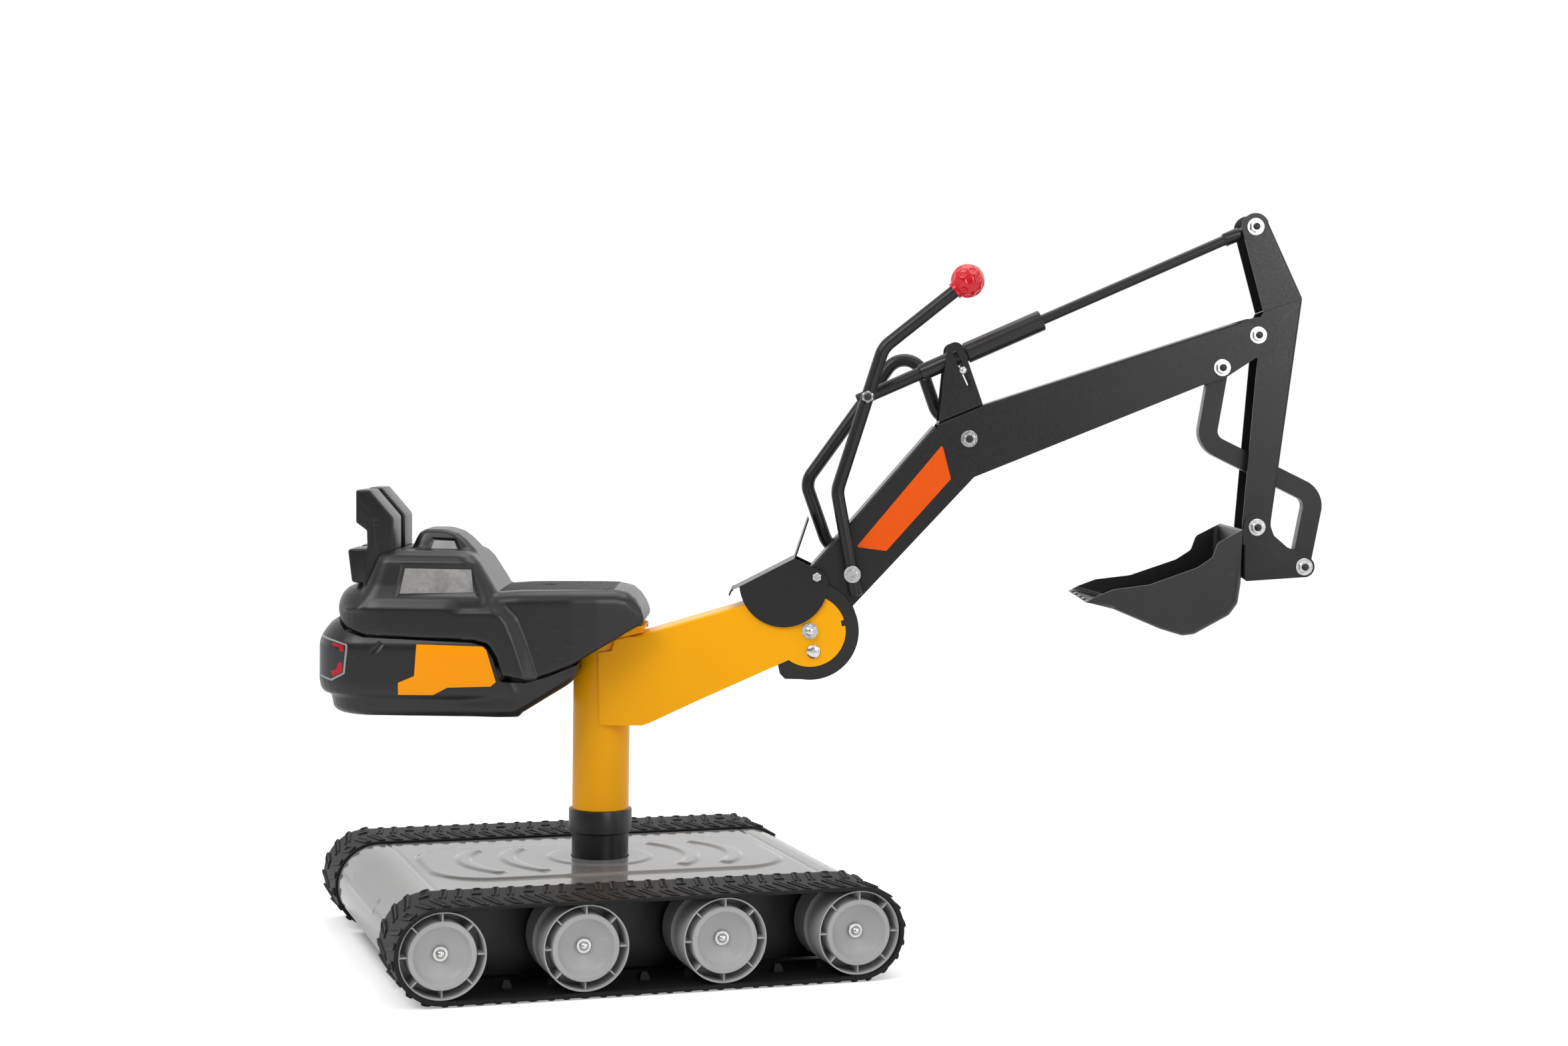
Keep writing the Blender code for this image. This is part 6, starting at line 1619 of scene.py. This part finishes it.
# %% Curved link
REAR = BUCKET + Vector((46.9, 0.0, -38.0)) * MM
link_end = tuple((REAR - LINK).xz)
path = rounded_path([(0.0, 0.0)] + mm((-11.3, -72.0), (96.5, -124.0)) + [link_end], 18 * MM, 4)
strip = slab(band(path, 9.2 * MM), -8 * MM, 8 * MM)
ends = [bar(10.6 * MM, (x, -8 * MM, z), (x, 8 * MM, z), 56) for x, z in ((0.0, 0.0), link_end)]
strip = eased(weld(strip, *ends), 1.1 * MM, 3, 50)
strip = carve(strip, hole((0, 0), BOLT_HOLE, 20 * MM), hole(link_end, 6.4 * MM, 20 * MM))
made(moved(strip, LINK), "curved_link", "link", "black_steel", "s_link", sharp=32)

# %% [markdown]
# ## Bucket
# The bucket is moulded: its sides flare towards the mouth, the outer corners are well rounded,
# and a row of short teeth runs along the lip.

# %% Bucket
def bucket_half(x):
    """Half the bucket's width at a place along it."""
    share = min(max((x + 172 * MM) / (152 * MM), 0.0), 1.0)
    return 75 * MM - 11 * MM * share


rim = mm((-20.7, -0.5), (-44.8, -13.6), (-49.6, -27.8), (-64.1, -37.7), (-110.0, -54.6),
         (-144.7, -59.5), (-161.2, -66.1), (-172.0, -72.0))
rim = rounded_path(rim, 7 * MM, 8)
floor_line = mm((-144.0, -78.8), (-98.0, -97.7), (-76.6, -103.9), (-65.1, -102.4), (-31.4, -83.6),
                (-23.3, -72.2), (-20.6, -52.2))
floor_line = rounded_path([rim[-1]] + floor_line + [rim[0]], sizes(0, 8, 8, 9, 10, 9, 9, 0, 0),
                          8)[1:-1]
outline = rim + floor_line
count = len(outline)
closed = range(len(rim) - 1, count)


def drawn_in(amount):
    """The outline with the points of its closed part moved inwards; the rim stays."""
    result = []
    for i, here in enumerate(outline):
        n0 = edge_normal(outline[i - 1], here)
        n1 = edge_normal(here, outline[(i + 1) % count])
        reach = amount / (1.0 + n0[0] * n1[0] + n0[1] * n1[1]) if i >= len(rim) else 0.0
        result.append((here[0] + turn * reach * (n0[0] + n1[0]),
                       here[1] + turn * reach * (n0[1] + n1[1])))
    return result


def round_sided(line_at, radius, inset=0.0):
    """A solid across Y whose long edges are rounded; line_at gives the outline for an inset."""
    half_sections = []
    for k in range(7):
        angle = pi / 2 * (1 - k / 6)
        line = line_at(radius * (1 - cos(angle)))
        drop = inset + radius * (1 - sin(angle))
        half_sections.append([(x, bucket_half(x) - drop, z) for x, z in line])
    mirrored = [[(x, -y, z) for x, y, z in section] for section in reversed(half_sections)]
    return loft(half_sections + mirrored)


print("bucket outline", count, "points")

# %% [markdown]
# ### Bucket shell
# The hollow is the same outline moved in by the wall, and open at the mouth. A pad inside the
# back takes the screws, and four gaps in the lip leave the teeth.

# %% Bucket shell
BUCKET_WALL = 2.5 * MM
area = sum(a[0] * b[1] - b[0] * a[1] for a, b in zip(outline, outline[1:] + outline[:1]))
turn = 1.0 if area > 0 else -1.0
solid = round_sided(drawn_in, 7.5 * MM)
hollow = round_sided(lambda extra: moved_outline(outline, [BUCKET_WALL + extra if i in closed
                                                           else -20 * MM for i in range(count)]),
                     5 * MM, BUCKET_WALL)
shell = carve(solid, hollow)
shell = weld(shell, block(*mm((-21.6, -13.5), (-20, 20), (-50, -10))))
step = 150 * MM / 4.55
gap_foot, gap_mouth = sizes(-162.8, -190)
gaps = []
for i in range(4):
    middle = (i - 1.5) * step
    outline = rounded_path([(gap_mouth, middle - 9 * MM), (gap_foot, middle - 5.5 * MM),
                            (gap_foot, middle + 5.5 * MM), (gap_mouth, middle + 9 * MM)],
                           sizes(0, 3, 3, 0), 12, closed=True)
    gaps.append(slab(outline, -90 * MM, -60 * MM, lying=True))
shell = carve(shell, together(gaps))
made(moved(eased(shell, 0.45 * MM, 2, 35), BUCKET), "moulded_bucket", "bucket", "black_plastic",
     "bucket_shell")

# %% [markdown]
# ### Bucket bracket
# The folded bracket behind the bucket takes the dipper's pivot and the end of the curved link.

# %% Bucket bracket
rear = (46.9 * MM, -38.0 * MM)
outline = arc((0, 0), 13 * MM, 20, 174, 5) + mm((-13.2, -18.0), (-12.6, -50.0), (-9.0, -52.9))
fold_edge = len(outline) - 3
outline += arc(rear, 10.4 * MM, -95, 75, 5) + mm((30.0, -19.0), (17.0, -8.0))
bracket = channel(outline, [fold_edge], 22.6 * MM, 24.1 * MM)
bracket = carve(bracket, hole((0, 0), BOLT_HOLE, THROUGH), hole(rear, BOLT_HOLE, THROUGH))
made(moved(eased(bracket), BUCKET), "folded_bucket_bracket", "bucket", "black_steel",
     "bucket_bracket")

# %% [markdown]
# ## Pivot bolts
# Every joint of the arm is an M6 bolt with large washers and hexagonal lock nuts, zinc plated,
# with a black dome in the middle of the nuts. Thin tubes on the bolts keep the link and the
# rod eye in the middle.

# %% Pivot bolts
tube_out = TUBE_PLANE + TUBE
knee = MAIN + knee_spot
bolt_list = {
    "lever_bolt": (LEVER, "boom", -tube_out, tube_out,
                   dict(washer=8.2 * MM, across=5.4 * MM, recess=2.4 * MM)),
    "knee_bolt": (knee, "boom", -UPPER_OUT, tube_out,
                  dict(spacers=[(UPPER_OUT + PLAY, TUBE_PLANE - TUBE - PLAY, 4.8 * MM)])),
    "tip_pivot_bolt": (TIP, "boom", -UPPER_OUT, UPPER_OUT, {}),
    "link_bolt": (LINK, "boom", -UPPER_OUT, UPPER_OUT,
                  dict(spacers=[(-UPPER_IN + PLAY, -8.3 * MM, 5.1 * MM),
                                (8.3 * MM, UPPER_IN - PLAY, 5.1 * MM)])),
    "rod_pin_bolt": (ROD, "lever", -tube_out, ROD_PLANE + 6.4 * MM,
                     dict(washer=0.0, across=5.9 * MM,
                          spacers=[(-TUBE_PLANE + TUBE + PLAY, ROD_PLANE - 6.7 * MM, 5.1 * MM)])),
    "head_pin_bolt": (head_place, "dipper", -DIP_OUT, DIP_OUT,
                      dict(spacers=[(-DIP_IN + PLAY, ROD_PLANE - 5.3 * MM, 5.7 * MM),
                                    (ROD_PLANE + 5.3 * MM, DIP_IN - PLAY, 5.7 * MM)])),
    "bucket_pivot_bolt": (BUCKET, "dipper", -24.1 * MM, 24.1 * MM, {}),
    "rear_pin_bolt": (REAR, "bucket", -24.1 * MM, 24.1 * MM,
                      dict(spacers=mm((-22.3, -8.3, 9.5), (8.3, 22.3, 9.5)))),
}
for name, (spot, body, near, far, options) in bolt_list.items():
    steel, black_domes = bolt(spot, near, far, **options)
    made(steel, name.replace("bolt", "screw"), body, "zinc", name, sharp=28)
    # The black domes on the nuts, in one piece.
    made(black_domes, name.replace("bolt", "nut_stops"), body, "black_plastic", sharp=28)

# %% [markdown]
# ## Seat shell
# The seat is blow-moulded, so every form runs into the next with a soft radius. The forms are
# drawn as simple lofts: the body with its stepped side, the nose, the hump behind the child and
# the low crown on it. They are fused, remeshed finely and smoothed, which gives the radii.

# %% Seat helpers
def lying_loft(rows, front_corner=None):
    """A solid through rounded rectangles: (height, x from, x to, half width, corner) in mm."""
    sections = []
    for z, x_from, x_to, half, rear_corner in rows:
        line = []
        for sx, sy, first in ((1, 1, 0), (-1, 1, 90), (-1, -1, 180), (1, -1, 270)):
            corner = front_corner if front_corner and sx > 0 else rear_corner
            cx = x_to - corner if sx > 0 else x_from + corner
            for k in range(9):
                angle = radians(first + 90 * k / 8)
                line.append(((cx + corner * cos(angle)) * MM,
                             (sy * (half - corner) + corner * sin(angle)) * MM, z * MM))
        sections.append(line)
    return loft(sections)


def upright_loft(*rows):
    """A solid through (half width, outline in X and Z), the same on both sides."""
    both = [(-half, outline) for half, outline in rows]
    both += [(half, outline) for half, outline in reversed(rows)]
    return loft([mm(*((x, y, z) for x, z in outline)) for y, outline in both])


def melted(solids, grain, rounds):
    """Fuses overlapping solids with a fine even mesh and softens every edge."""
    merged = together(solids)
    remesh = merged.modifiers.new("remesh", 'REMESH')
    remesh.mode = 'VOXEL'
    remesh.voxel_size = grain
    smooth = merged.modifiers.new("soften", 'SMOOTH')
    smooth.factor = 0.5
    smooth.iterations = rounds
    return plain(merged)


# %% [markdown]
# ### Forms of the seat shell
# Sizes in this cell are in millimetres from the post's middle and from the ground.

# %% Seat shell
skirt = [(-206, 322), (-199.5, 314.2), (-117, 310.6), (-103, 307), (-95, 294.5), (-89.5, 276.5)]
side_low = skirt + [(-66, 272.5), (-69, 279), (-79, 308), (-87.6, 328), (-92, 334), (-97, 337),
                    (-201.5, 336), (-206, 335)]
side_high = skirt + [(-55, 273), (-58.5, 279), (-67, 307.5), (-76, 332), (-88.7, 345),
                     (-103.5, 349), (-201.5, 345), (-206, 344)]
body = lying_loft([(308, -250, -100, 86, 43), (318, -251.5, -100, 87.6, 44),
                   (340, -252, -100, 88, 44), (346, -251, -100, 85, 43),
                   (352, -248.5, -100, 80, 40), (357, -244, -100, 74, 37),
                   (361, -236, -100, 66, 33), (363.5, -225, -100, 55, 26)])
underside = mm((-300, 290), (-300, 335), (-251, 334), (-247, 327), (-240, 319.5), (-222, 314.2),
               (-199.5, 313.4), (-117, 310.6), (-95, 300), (-80, 290))
body = carve(body, slab(rounded_path(underside, 3 * MM, 12, closed=True), -120 * MM, 120 * MM))
flank = upright_loft((88, side_low), (80, side_high))
nose = []
for x, low, high, half in ((-112, 310, 354.5, 80), (-88, 276, 356.5, 80), (-75, 273, 357.5, 80),
                           (-58, 273, 358, 79), (-25, 286, 358.5, 76), (0, 301, 358.8, 71),
                           (17, 311, 358.8, 66), (28, 318, 356.4, 63),
                           (36, 322.5, 350, 60.5), (41.5, 325, 341, 59), (44, 327, 333, 58)):
    corner = min(12.0, (high - low) * 0.45)
    line = [(x, half - 1, low), (x, half, low + 2)]
    for k in range(9):
        angle = pi / 2 * k / 8
        line.append((x, half - corner - 3 + (corner + 3) * cos(angle),
                     high - corner + corner * sin(angle)))
    for share in (0.6, 0.25):
        line.append((x, (half - 15) * share, high + 0.9 * (1 - share)))
    line = line + [(px, -py, pz) for px, py, pz in line[::-1]]
    nose.append(mm(*line))
nose = loft(nose)
hump = lying_loft([(338, -246, -88, 86, 24), (347, -236, -92.5, 84, 22),
                   (354, -229, -95.5, 81.8, 19), (362, -223.5, -99.5, 79.5, 17),
                   (384, -215, -113.5, 75, 15), (390.5, -212, -120, 71, 13),
                   (394.6, -206, -128, 62, 12)])
crown = lying_loft([(388, -186, -118, 40, 11), (394.6, -184, -122, 38, 10),
                    (404, -180.5, -131, 35.2, 9), (410, -177, -139, 33, 8),
                    (412.6, -173.5, -147, 31, 7), (413.8, -170, -152, 28, 7)])
shell = melted([body, flank, nose, hump, crown], 1.7 * MM, 3)

# %% [markdown]
# The panels are pressed into the hump and the crown: a flat frame with a brushed silver face.
# Behind the hump a pocket takes the backrest, and the underside is hollow.

# %% Seat shell cuts
def grown(outline, amount):
    """The outline with every edge moved outwards."""
    return moved_outline(outline, [-amount] * len(outline))


def on_slope(outline, height, side_at, slope, sign, out=0.0):
    """Outline points on a sloping side that is side_at wide at a height."""
    return [(x, sign * (side_at - (z - height) * slope + out), z) for x, z in outline]


HUMP_SIDE, CROWN_SIDE = (362 * MM, 79.3 * MM, 0.205), (394.6 * MM, 37.6 * MM, 0.29)
hump_panel = mm((-184.4, 378.5), (-120.2, 378.1), (-117.3, 355.5), (-189.1, 353.4))
crown_panel = mm((-162.1, 403.7), (-142.1, 403.1), (-136.9, 391.7), (-166.4, 392))
recesses, plates = [], []
for outline, wide, depth, (height, side_at, slope) in (
        (hump_panel, 4.8 * MM, 2.2 * MM, HUMP_SIDE), (crown_panel, 3.6 * MM, 1.8 * MM, CROWN_SIDE)):
    for sign in (-1, 1):
        floor_edge = on_slope(outline, height, side_at, slope, sign, -depth)
        brim = on_slope(grown(outline, wide), height, side_at, slope, sign, 1.2 * MM)
        recesses.append(loft([floor_edge, brim]))
        small = grown(outline, -0.5 * MM)
        plates.append(loft([on_slope(small, height, side_at, slope, sign, out)
                            for out in (-depth - 0.2 * MM, 0.5 * MM - depth)]))
pocket = block(*mm((-243, -195.8), (-62.6, 62.6), (363.2, 430)))
stem_slot = block(*mm((-228, -197.8), (-61.9, 61.9), (341, 372)))
rear_room = lying_loft([(200, -243, -100, 78, 36), (337, -243, -100, 78, 36)])
middle_room = lying_loft([(200, -193, -123, 70, 8), (381, -193, -123, 66, 8)])
front_room = []
for x, top, half in ((-112, 349, 76), (-90, 352, 75), (-58, 353.6, 73), (-25, 354, 70),
                     (14, 354, 61), (30, 345.5, 56), (39, 334, 54)):
    front_room.append(mm((x, half, 200), (x, half, top - 8), (x, half - 8, top),
                         (x, 8 - half, top), (x, -half, top - 8), (x, -half, 200)))
front_room = loft(front_room)
shell = carve(shell, *recesses, pocket, stem_slot, rear_room, middle_room, front_room)
bosses = [bar(6 * MM, (x * MM, y * MM, 322.3 * MM), (x * MM, y * MM, 356 * MM), 24)
          for x in (-50, 22) for y in (-24, 24)]
pad_hole = bar(7.5 * MM, *mm((-52, 0, 356.2), (-52, 0, 372)), 40)
shell = carve(weld(shell, together(bosses)), pad_hole)
made(moved(shell, SLEW), "moulded_seat_shell", "upper", "black_plastic", "seat_shell", sharp=42)
for name, plate in zip(("hump_panel_right", "hump_panel_left", "crown_panel_right",
                        "crown_panel_left"), plates):
    made(moved(eased(plate, 0.15 * MM), SLEW), name, "upper", "black_plastic", material=silver_film)

# %% [markdown]
# ## Seat housing
# The lower moulding is a tray with round rear corners. Its skirt is set in below a small step,
# and its front runs out as a narrow bumper on both sides of the column. A dark gap follows the
# edge of the seat shell above it.

# %% Seat housing
tray = lying_loft([(236.6, -246, -74, 78, 36), (238.2, -252, -72, 82, 39),
                   (242, -256.5, -71, 85, 42), (253, -258.5, -71, 86.2, 43),
                   (255, -259.5, -71, 86.8, 44), (256.6, -265.5, -71.5, 88.6, 46),
                   (260, -269, -72, 89.7, 48), (268, -270.6, -76, 90, 48),
                   (302, -270.6, -92, 90, 48), (307, -270, -92, 89.2, 47.5),
                   (312, -268, -94, 86.5, 46), (318, -264.5, -96, 82.5, 44),
                   (324, -259.5, -98, 77, 41), (328.5, -253, -100, 70, 38)], 5)
bumper = []
for x, low, high, half in ((-130, 237, 290, 86), (-93, 236.6, 285, 89), (-78, 237, 283, 88.5),
                           (-72, 240, 281, 87), (-58, 248.5, 284, 83.5), (-45, 256.5, 289, 79),
                           (-30, 265.5, 294, 73), (-24, 270, 296, 70), (-19, 278, 298, 68)):
    corner = 9.0
    line = [(x, half, high)]
    for k in range(7):
        angle = pi / 2 * k / 6
        line.append((x, half - corner + corner * cos(angle), low + corner - corner * sin(angle)))
    line = line + [(px, -py, pz) for px, py, pz in line[::-1]]
    bumper.append(mm(*line))
housing = melted([tray, loft(bumper)], 1.8 * MM, 3)
gap_line = mm((-300, 333), (-256, 332), (-249.5, 326), (-241, 317.6), (-222, 312.2),
              (-199.5, 311.4), (-118, 308.4),
              (-105.2, 305.2), (-97.4, 293.2), (-91.9, 274.6), (-89.6, 271.4), (-66, 270.2),
              (-45, 276.4), (-18, 287.2), (0, 294.5), (0, 400), (-300, 400))
housing = carve(housing, slab(rounded_path(gap_line, 3 * MM, 12, closed=True), -120 * MM, 120 * MM),
                bar(29 * MM, (0, 0, 200 * MM), (0, 0, 340 * MM), 72))
dent = bar(7 * MM, *mm((-222, -99.0, 288), (-203, -91.5, 308)), 32, 5 * MM)
mirror = copied(dent, Matrix.Diagonal((1, -1, 1, 1)))
housing = carve(housing, dent, tidied(mirror))
housing = made(moved(housing, SLEW), "moulded_seat_housing", "upper", "black_plastic",
               "seat_housing", sharp=42)

# %% [markdown]
# ## Backrest
# Two thick fins stand behind the hump with a narrow gap between them. All their edges are
# rounded, and a shallow line is pressed into each side face near the border.

# %% Backrest
profile = mm((-226.7, 341.0), (-199.0, 341.0), (-197.2, 385.0), (-197.5, 425.5), (-220.6, 452.0),
             (-233.8, 451.8), (-233.6, 420.6), (-223.2, 413.0), (-222.6, 395.6), (-241.4, 395.0),
             (-237.2, 363.0), (-226.7, 362.0))
soft = rounded_path(profile, sizes(0, 0, 8, 6, 3, 2, 3, 3, 2, 3, 3, 1), 12, closed=True)


def cushioned(outline, low, high, radius):
    """A solid across Y whose long edges are rounded all the way round."""
    layers = []
    for k in range(5):
        angle = pi / 2 * k / 4
        line = moved_outline(outline, [radius * (1 - sin(angle))] * len(outline))
        layers.append([(x, low + radius * (1 - cos(angle)), z) for x, z in line])
    middle = low + high
    return loft(layers + [[(x, middle - y, z) for x, y, z in layer] for layer in reversed(layers)])


foot = block(*mm((-226.7, -199.5), (-58, 58), (341.5, 386)))
rest = weld(foot, *[cushioned(soft, low, high, 1.8 * MM)
                    for low, high in mm((-61.5, -11.5), (11.5, 61.5))])
borders = []
for points in (mm((-232.6, 436.9), (-219.2, 427.2), (-217.6, 411.0), (-218.0, 398.0)),
               mm((-222.4, 388.0), (-224.8, 377.4), (-222.2, 371.2))):
    groove = band(rounded_path(points, 3 * MM, 10), 0.4 * MM)
    borders += [slab(groove, 61.0 * MM, 63 * MM), slab(groove, -63 * MM, -61.0 * MM)]
rest = carve(rest, *borders)
made(moved(rest, SLEW), "moulded_backrest", "upper", "black_plastic", "backrest", sharp=30)

# %% [markdown]
# ## Seat pad and panels
# Small flat-topped bumps in rows make the pad, so a child doesn't slide. Only the bumps that
# stand wholly on the flat top of the seat are kept.

# %% Seat pad
PAD_MIDDLE = -45.5 * MM


def surface_of(piece):
    """The piece as a tree that rays can be cast at."""
    bm = bmesh.new()
    bm.from_mesh(piece.data)
    tree = BVHTree.FromBMesh(bm)
    bm.free()
    return tree


shell_surface = surface_of(bpy.data.objects["moulded_seat_shell"])
knob = lathe(mm((0.0, 0.75), (0.55, 0.7), (0.95, 0.25), (1.05, -0.4), (0.0, -0.4)), 8)
knobs = grow(field_tree, knob.data, Length=118 * MM, Width=108 * MM, Pitch=2.45 * MM,
             Material=finishes["black_plastic"])
bm = bmesh.new()
bm.from_mesh(knobs.data)
islands, seen_verts = [], set()
for vert in bm.verts:
    if vert in seen_verts:
        continue
    stack, island = [vert], []
    while stack:
        here = stack.pop()
        if here in seen_verts:
            continue
        seen_verts.add(here)
        island.append(here)
        stack.extend(edge.other_vert(here) for edge in here.link_edges)
    islands.append(island)
drop = []
for island in islands:
    middle = sum((vert.co for vert in island), Vector()) / len(island)
    spot = SLEW + Vector((middle.x + PAD_MIDDLE, middle.y, 0.42))
    hit, normal, _, _ = shell_surface.ray_cast(spot, Vector((0, 0, -1)))
    edge = inside_frame(middle.x, middle.y, 60 * MM, 55 * MM, 9 * MM)
    on_pad = hit is not None and normal.z > 0.95 and hit.z < 0.3625 and edge > 0
    on_pad = on_pad and math.hypot(spot.x - SLEW.x + 52 * MM, spot.y) > 9.5 * MM
    if not on_pad:
        drop += island
        continue
    for vert in island:
        vert.co = Vector((vert.co.x + PAD_MIDDLE + SLEW.x, vert.co.y, hit.z + vert.co.z))
bmesh.ops.delete(bm, geom=drop, context='VERTS')
bm.to_mesh(knobs.data)
bm.free()
made(knobs, "seat_pad_bumps", "upper", "black_plastic", sharp=40)

# %% [markdown]
# ### Films on the mouldings
# The coloured panels are thin films that follow the moulding: each is cut from a fine grid,
# dropped sideways onto the surface and given a thickness.

# %% Film
FAR_SIDE = 0.2


def film(outline, surface, side, thick=0.35 * MM, lift=0.05 * MM, cell=3.0 * MM):
    """A thin film with an outline in X and Z about the post, dropped sideways onto a surface."""
    bm = bmesh.new()
    verts = [bm.verts.new((x + SLEW.x, 0.0, z)) for x, z in outline]
    bm.faces.new(verts)
    lows = [min(v.co[axis] for v in verts) for axis in (0, 2)]
    highs = [max(v.co[axis] for v in verts) for axis in (0, 2)]
    for axis, low, high in ((0, lows[0], highs[0]), (2, lows[1], highs[1])):
        normal = Vector((1, 0, 0)) if axis == 0 else Vector((0, 0, 1))
        steps = max(1, math.ceil((high - low) / cell))
        for k in range(1, steps):
            cut_at = Vector((0, 0, 0))
            cut_at[axis] = low + (high - low) * k / steps
            bmesh.ops.bisect_plane(bm, geom=bm.verts[:] + bm.edges[:] + bm.faces[:],
                                   plane_co=cut_at, plane_no=normal)
    bm.verts.ensure_lookup_table()
    outer = {}
    for vert in list(bm.verts):
        ray = Vector((vert.co.x, side * FAR_SIDE, vert.co.z))
        hit, normal, _, _ = surface.ray_cast(ray, Vector((0, -side, 0)))
        if hit is None:
            raise RuntimeError("the film misses its surface")
        vert.co = hit + normal * lift
        outer[vert] = normal
    faces = list(bm.faces)
    copies_of = {vert: bm.verts.new(vert.co + normal * thick) for vert, normal in outer.items()}
    edges = [edge for edge in bm.edges if len(edge.link_faces) == 1]
    for face in faces:
        bm.faces.new([copies_of[v] for v in face.verts])
    for edge in edges:
        a, b = edge.verts
        bm.faces.new((a, b, copies_of[b], copies_of[a]))
    return from_bmesh(bm)


def both_sides(name, outline, material, slot="black_plastic", **options):
    """The same film on both sides of the housing."""
    for label, side in SIDES:
        made(film(outline, housing_surface, side, **options), f"{name}_{label}", "upper", slot,
             material=material, sharp=35)


housing_surface = surface_of(housing)
print("film from", FAR_SIDE, "m aside")

# %% [markdown]
# ### Side panels and lamps
# Each side has an orange panel and, at the rear corner, a lamp: a grey frame, a dark face and
# two red corners, one film over the other.

# %% Films on the housing
panel = mm((-170.4, 306.5), (-107.6, 305.3), (-103.8, 302.2), (-94.4, 271.6), (-99.5, 267.3),
           (-140.6, 265.7), (-154.2, 258.4), (-187.5, 258.2), (-187.6, 269.7), (-172.3, 276.3))
both_sides("orange_panel", panel, orange_film)
lamps = (
    ("lamp_frame", lamp_grey, "black_plastic", 0.6, 0.05,
     mm((-265.6, 311.6), (-250.4, 308.8), (-236.9, 305.6), (-236.2, 302.4), (-238.8, 277.2),
        (-252.5, 269.6), (-265.6, 272.4))),
    ("lamp_face", lamp_dark, "black_plastic", 0.5, 0.4,
     mm((-265.4, 310.0), (-250.8, 307.2), (-238.6, 304.4), (-238.2, 302.0), (-240.6, 278.2),
        (-252.8, 271.6), (-265.4, 274.2))),
    ("lamp_red_top", lamp_red, "red_plastic", 0.4, 0.75,
     mm((-251.4, 306.4), (-239.6, 304.2), (-239.8, 298.4), (-243.9, 298.9), (-243.7, 302.3),
        (-251.2, 303.3))),
    ("lamp_red_foot", lamp_red, "red_plastic", 0.4, 0.75,
     mm((-241.2, 288.3), (-240.8, 279.0), (-250.4, 273.8), (-252.8, 278.8), (-247.2, 281.4),
        (-245.2, 287.6))),
)
for name, material, slot, thick, lift, outline in lamps:
    both_sides(name, outline, material, slot, thick=thick * MM, lift=lift * MM, cell=2.0 * MM)

# %% [markdown]
# ### Boom label
# The label is a plain red-orange film on each side of the lower boom.

# %% Boom label
label = rounded_path(mm((126.5, 183.2), (135.5, 150.2), (73.6, 79.0), (44.3, 82.5)), 1.2 * MM, 15,
                     closed=True)
for side, low in (("right", -BOOM_OUT - 0.3 * MM), ("left", BOOM_OUT - 0.05 * MM)):
    made(moved(slab(label, low, low + 0.35 * MM), MAIN), f"boom_label_{side}", "boom",
         "black_steel", material=red_orange_film)

# %% Size and piece count
bpy.context.view_layer.update()
low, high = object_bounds()
size = {"cad_low": list(cad_low), "cad_high": list(cad_high), "low": list(low), "high": list(high)}
print(len(made_pieces), "pieces,", sum(made_pieces.values()), "triangles")
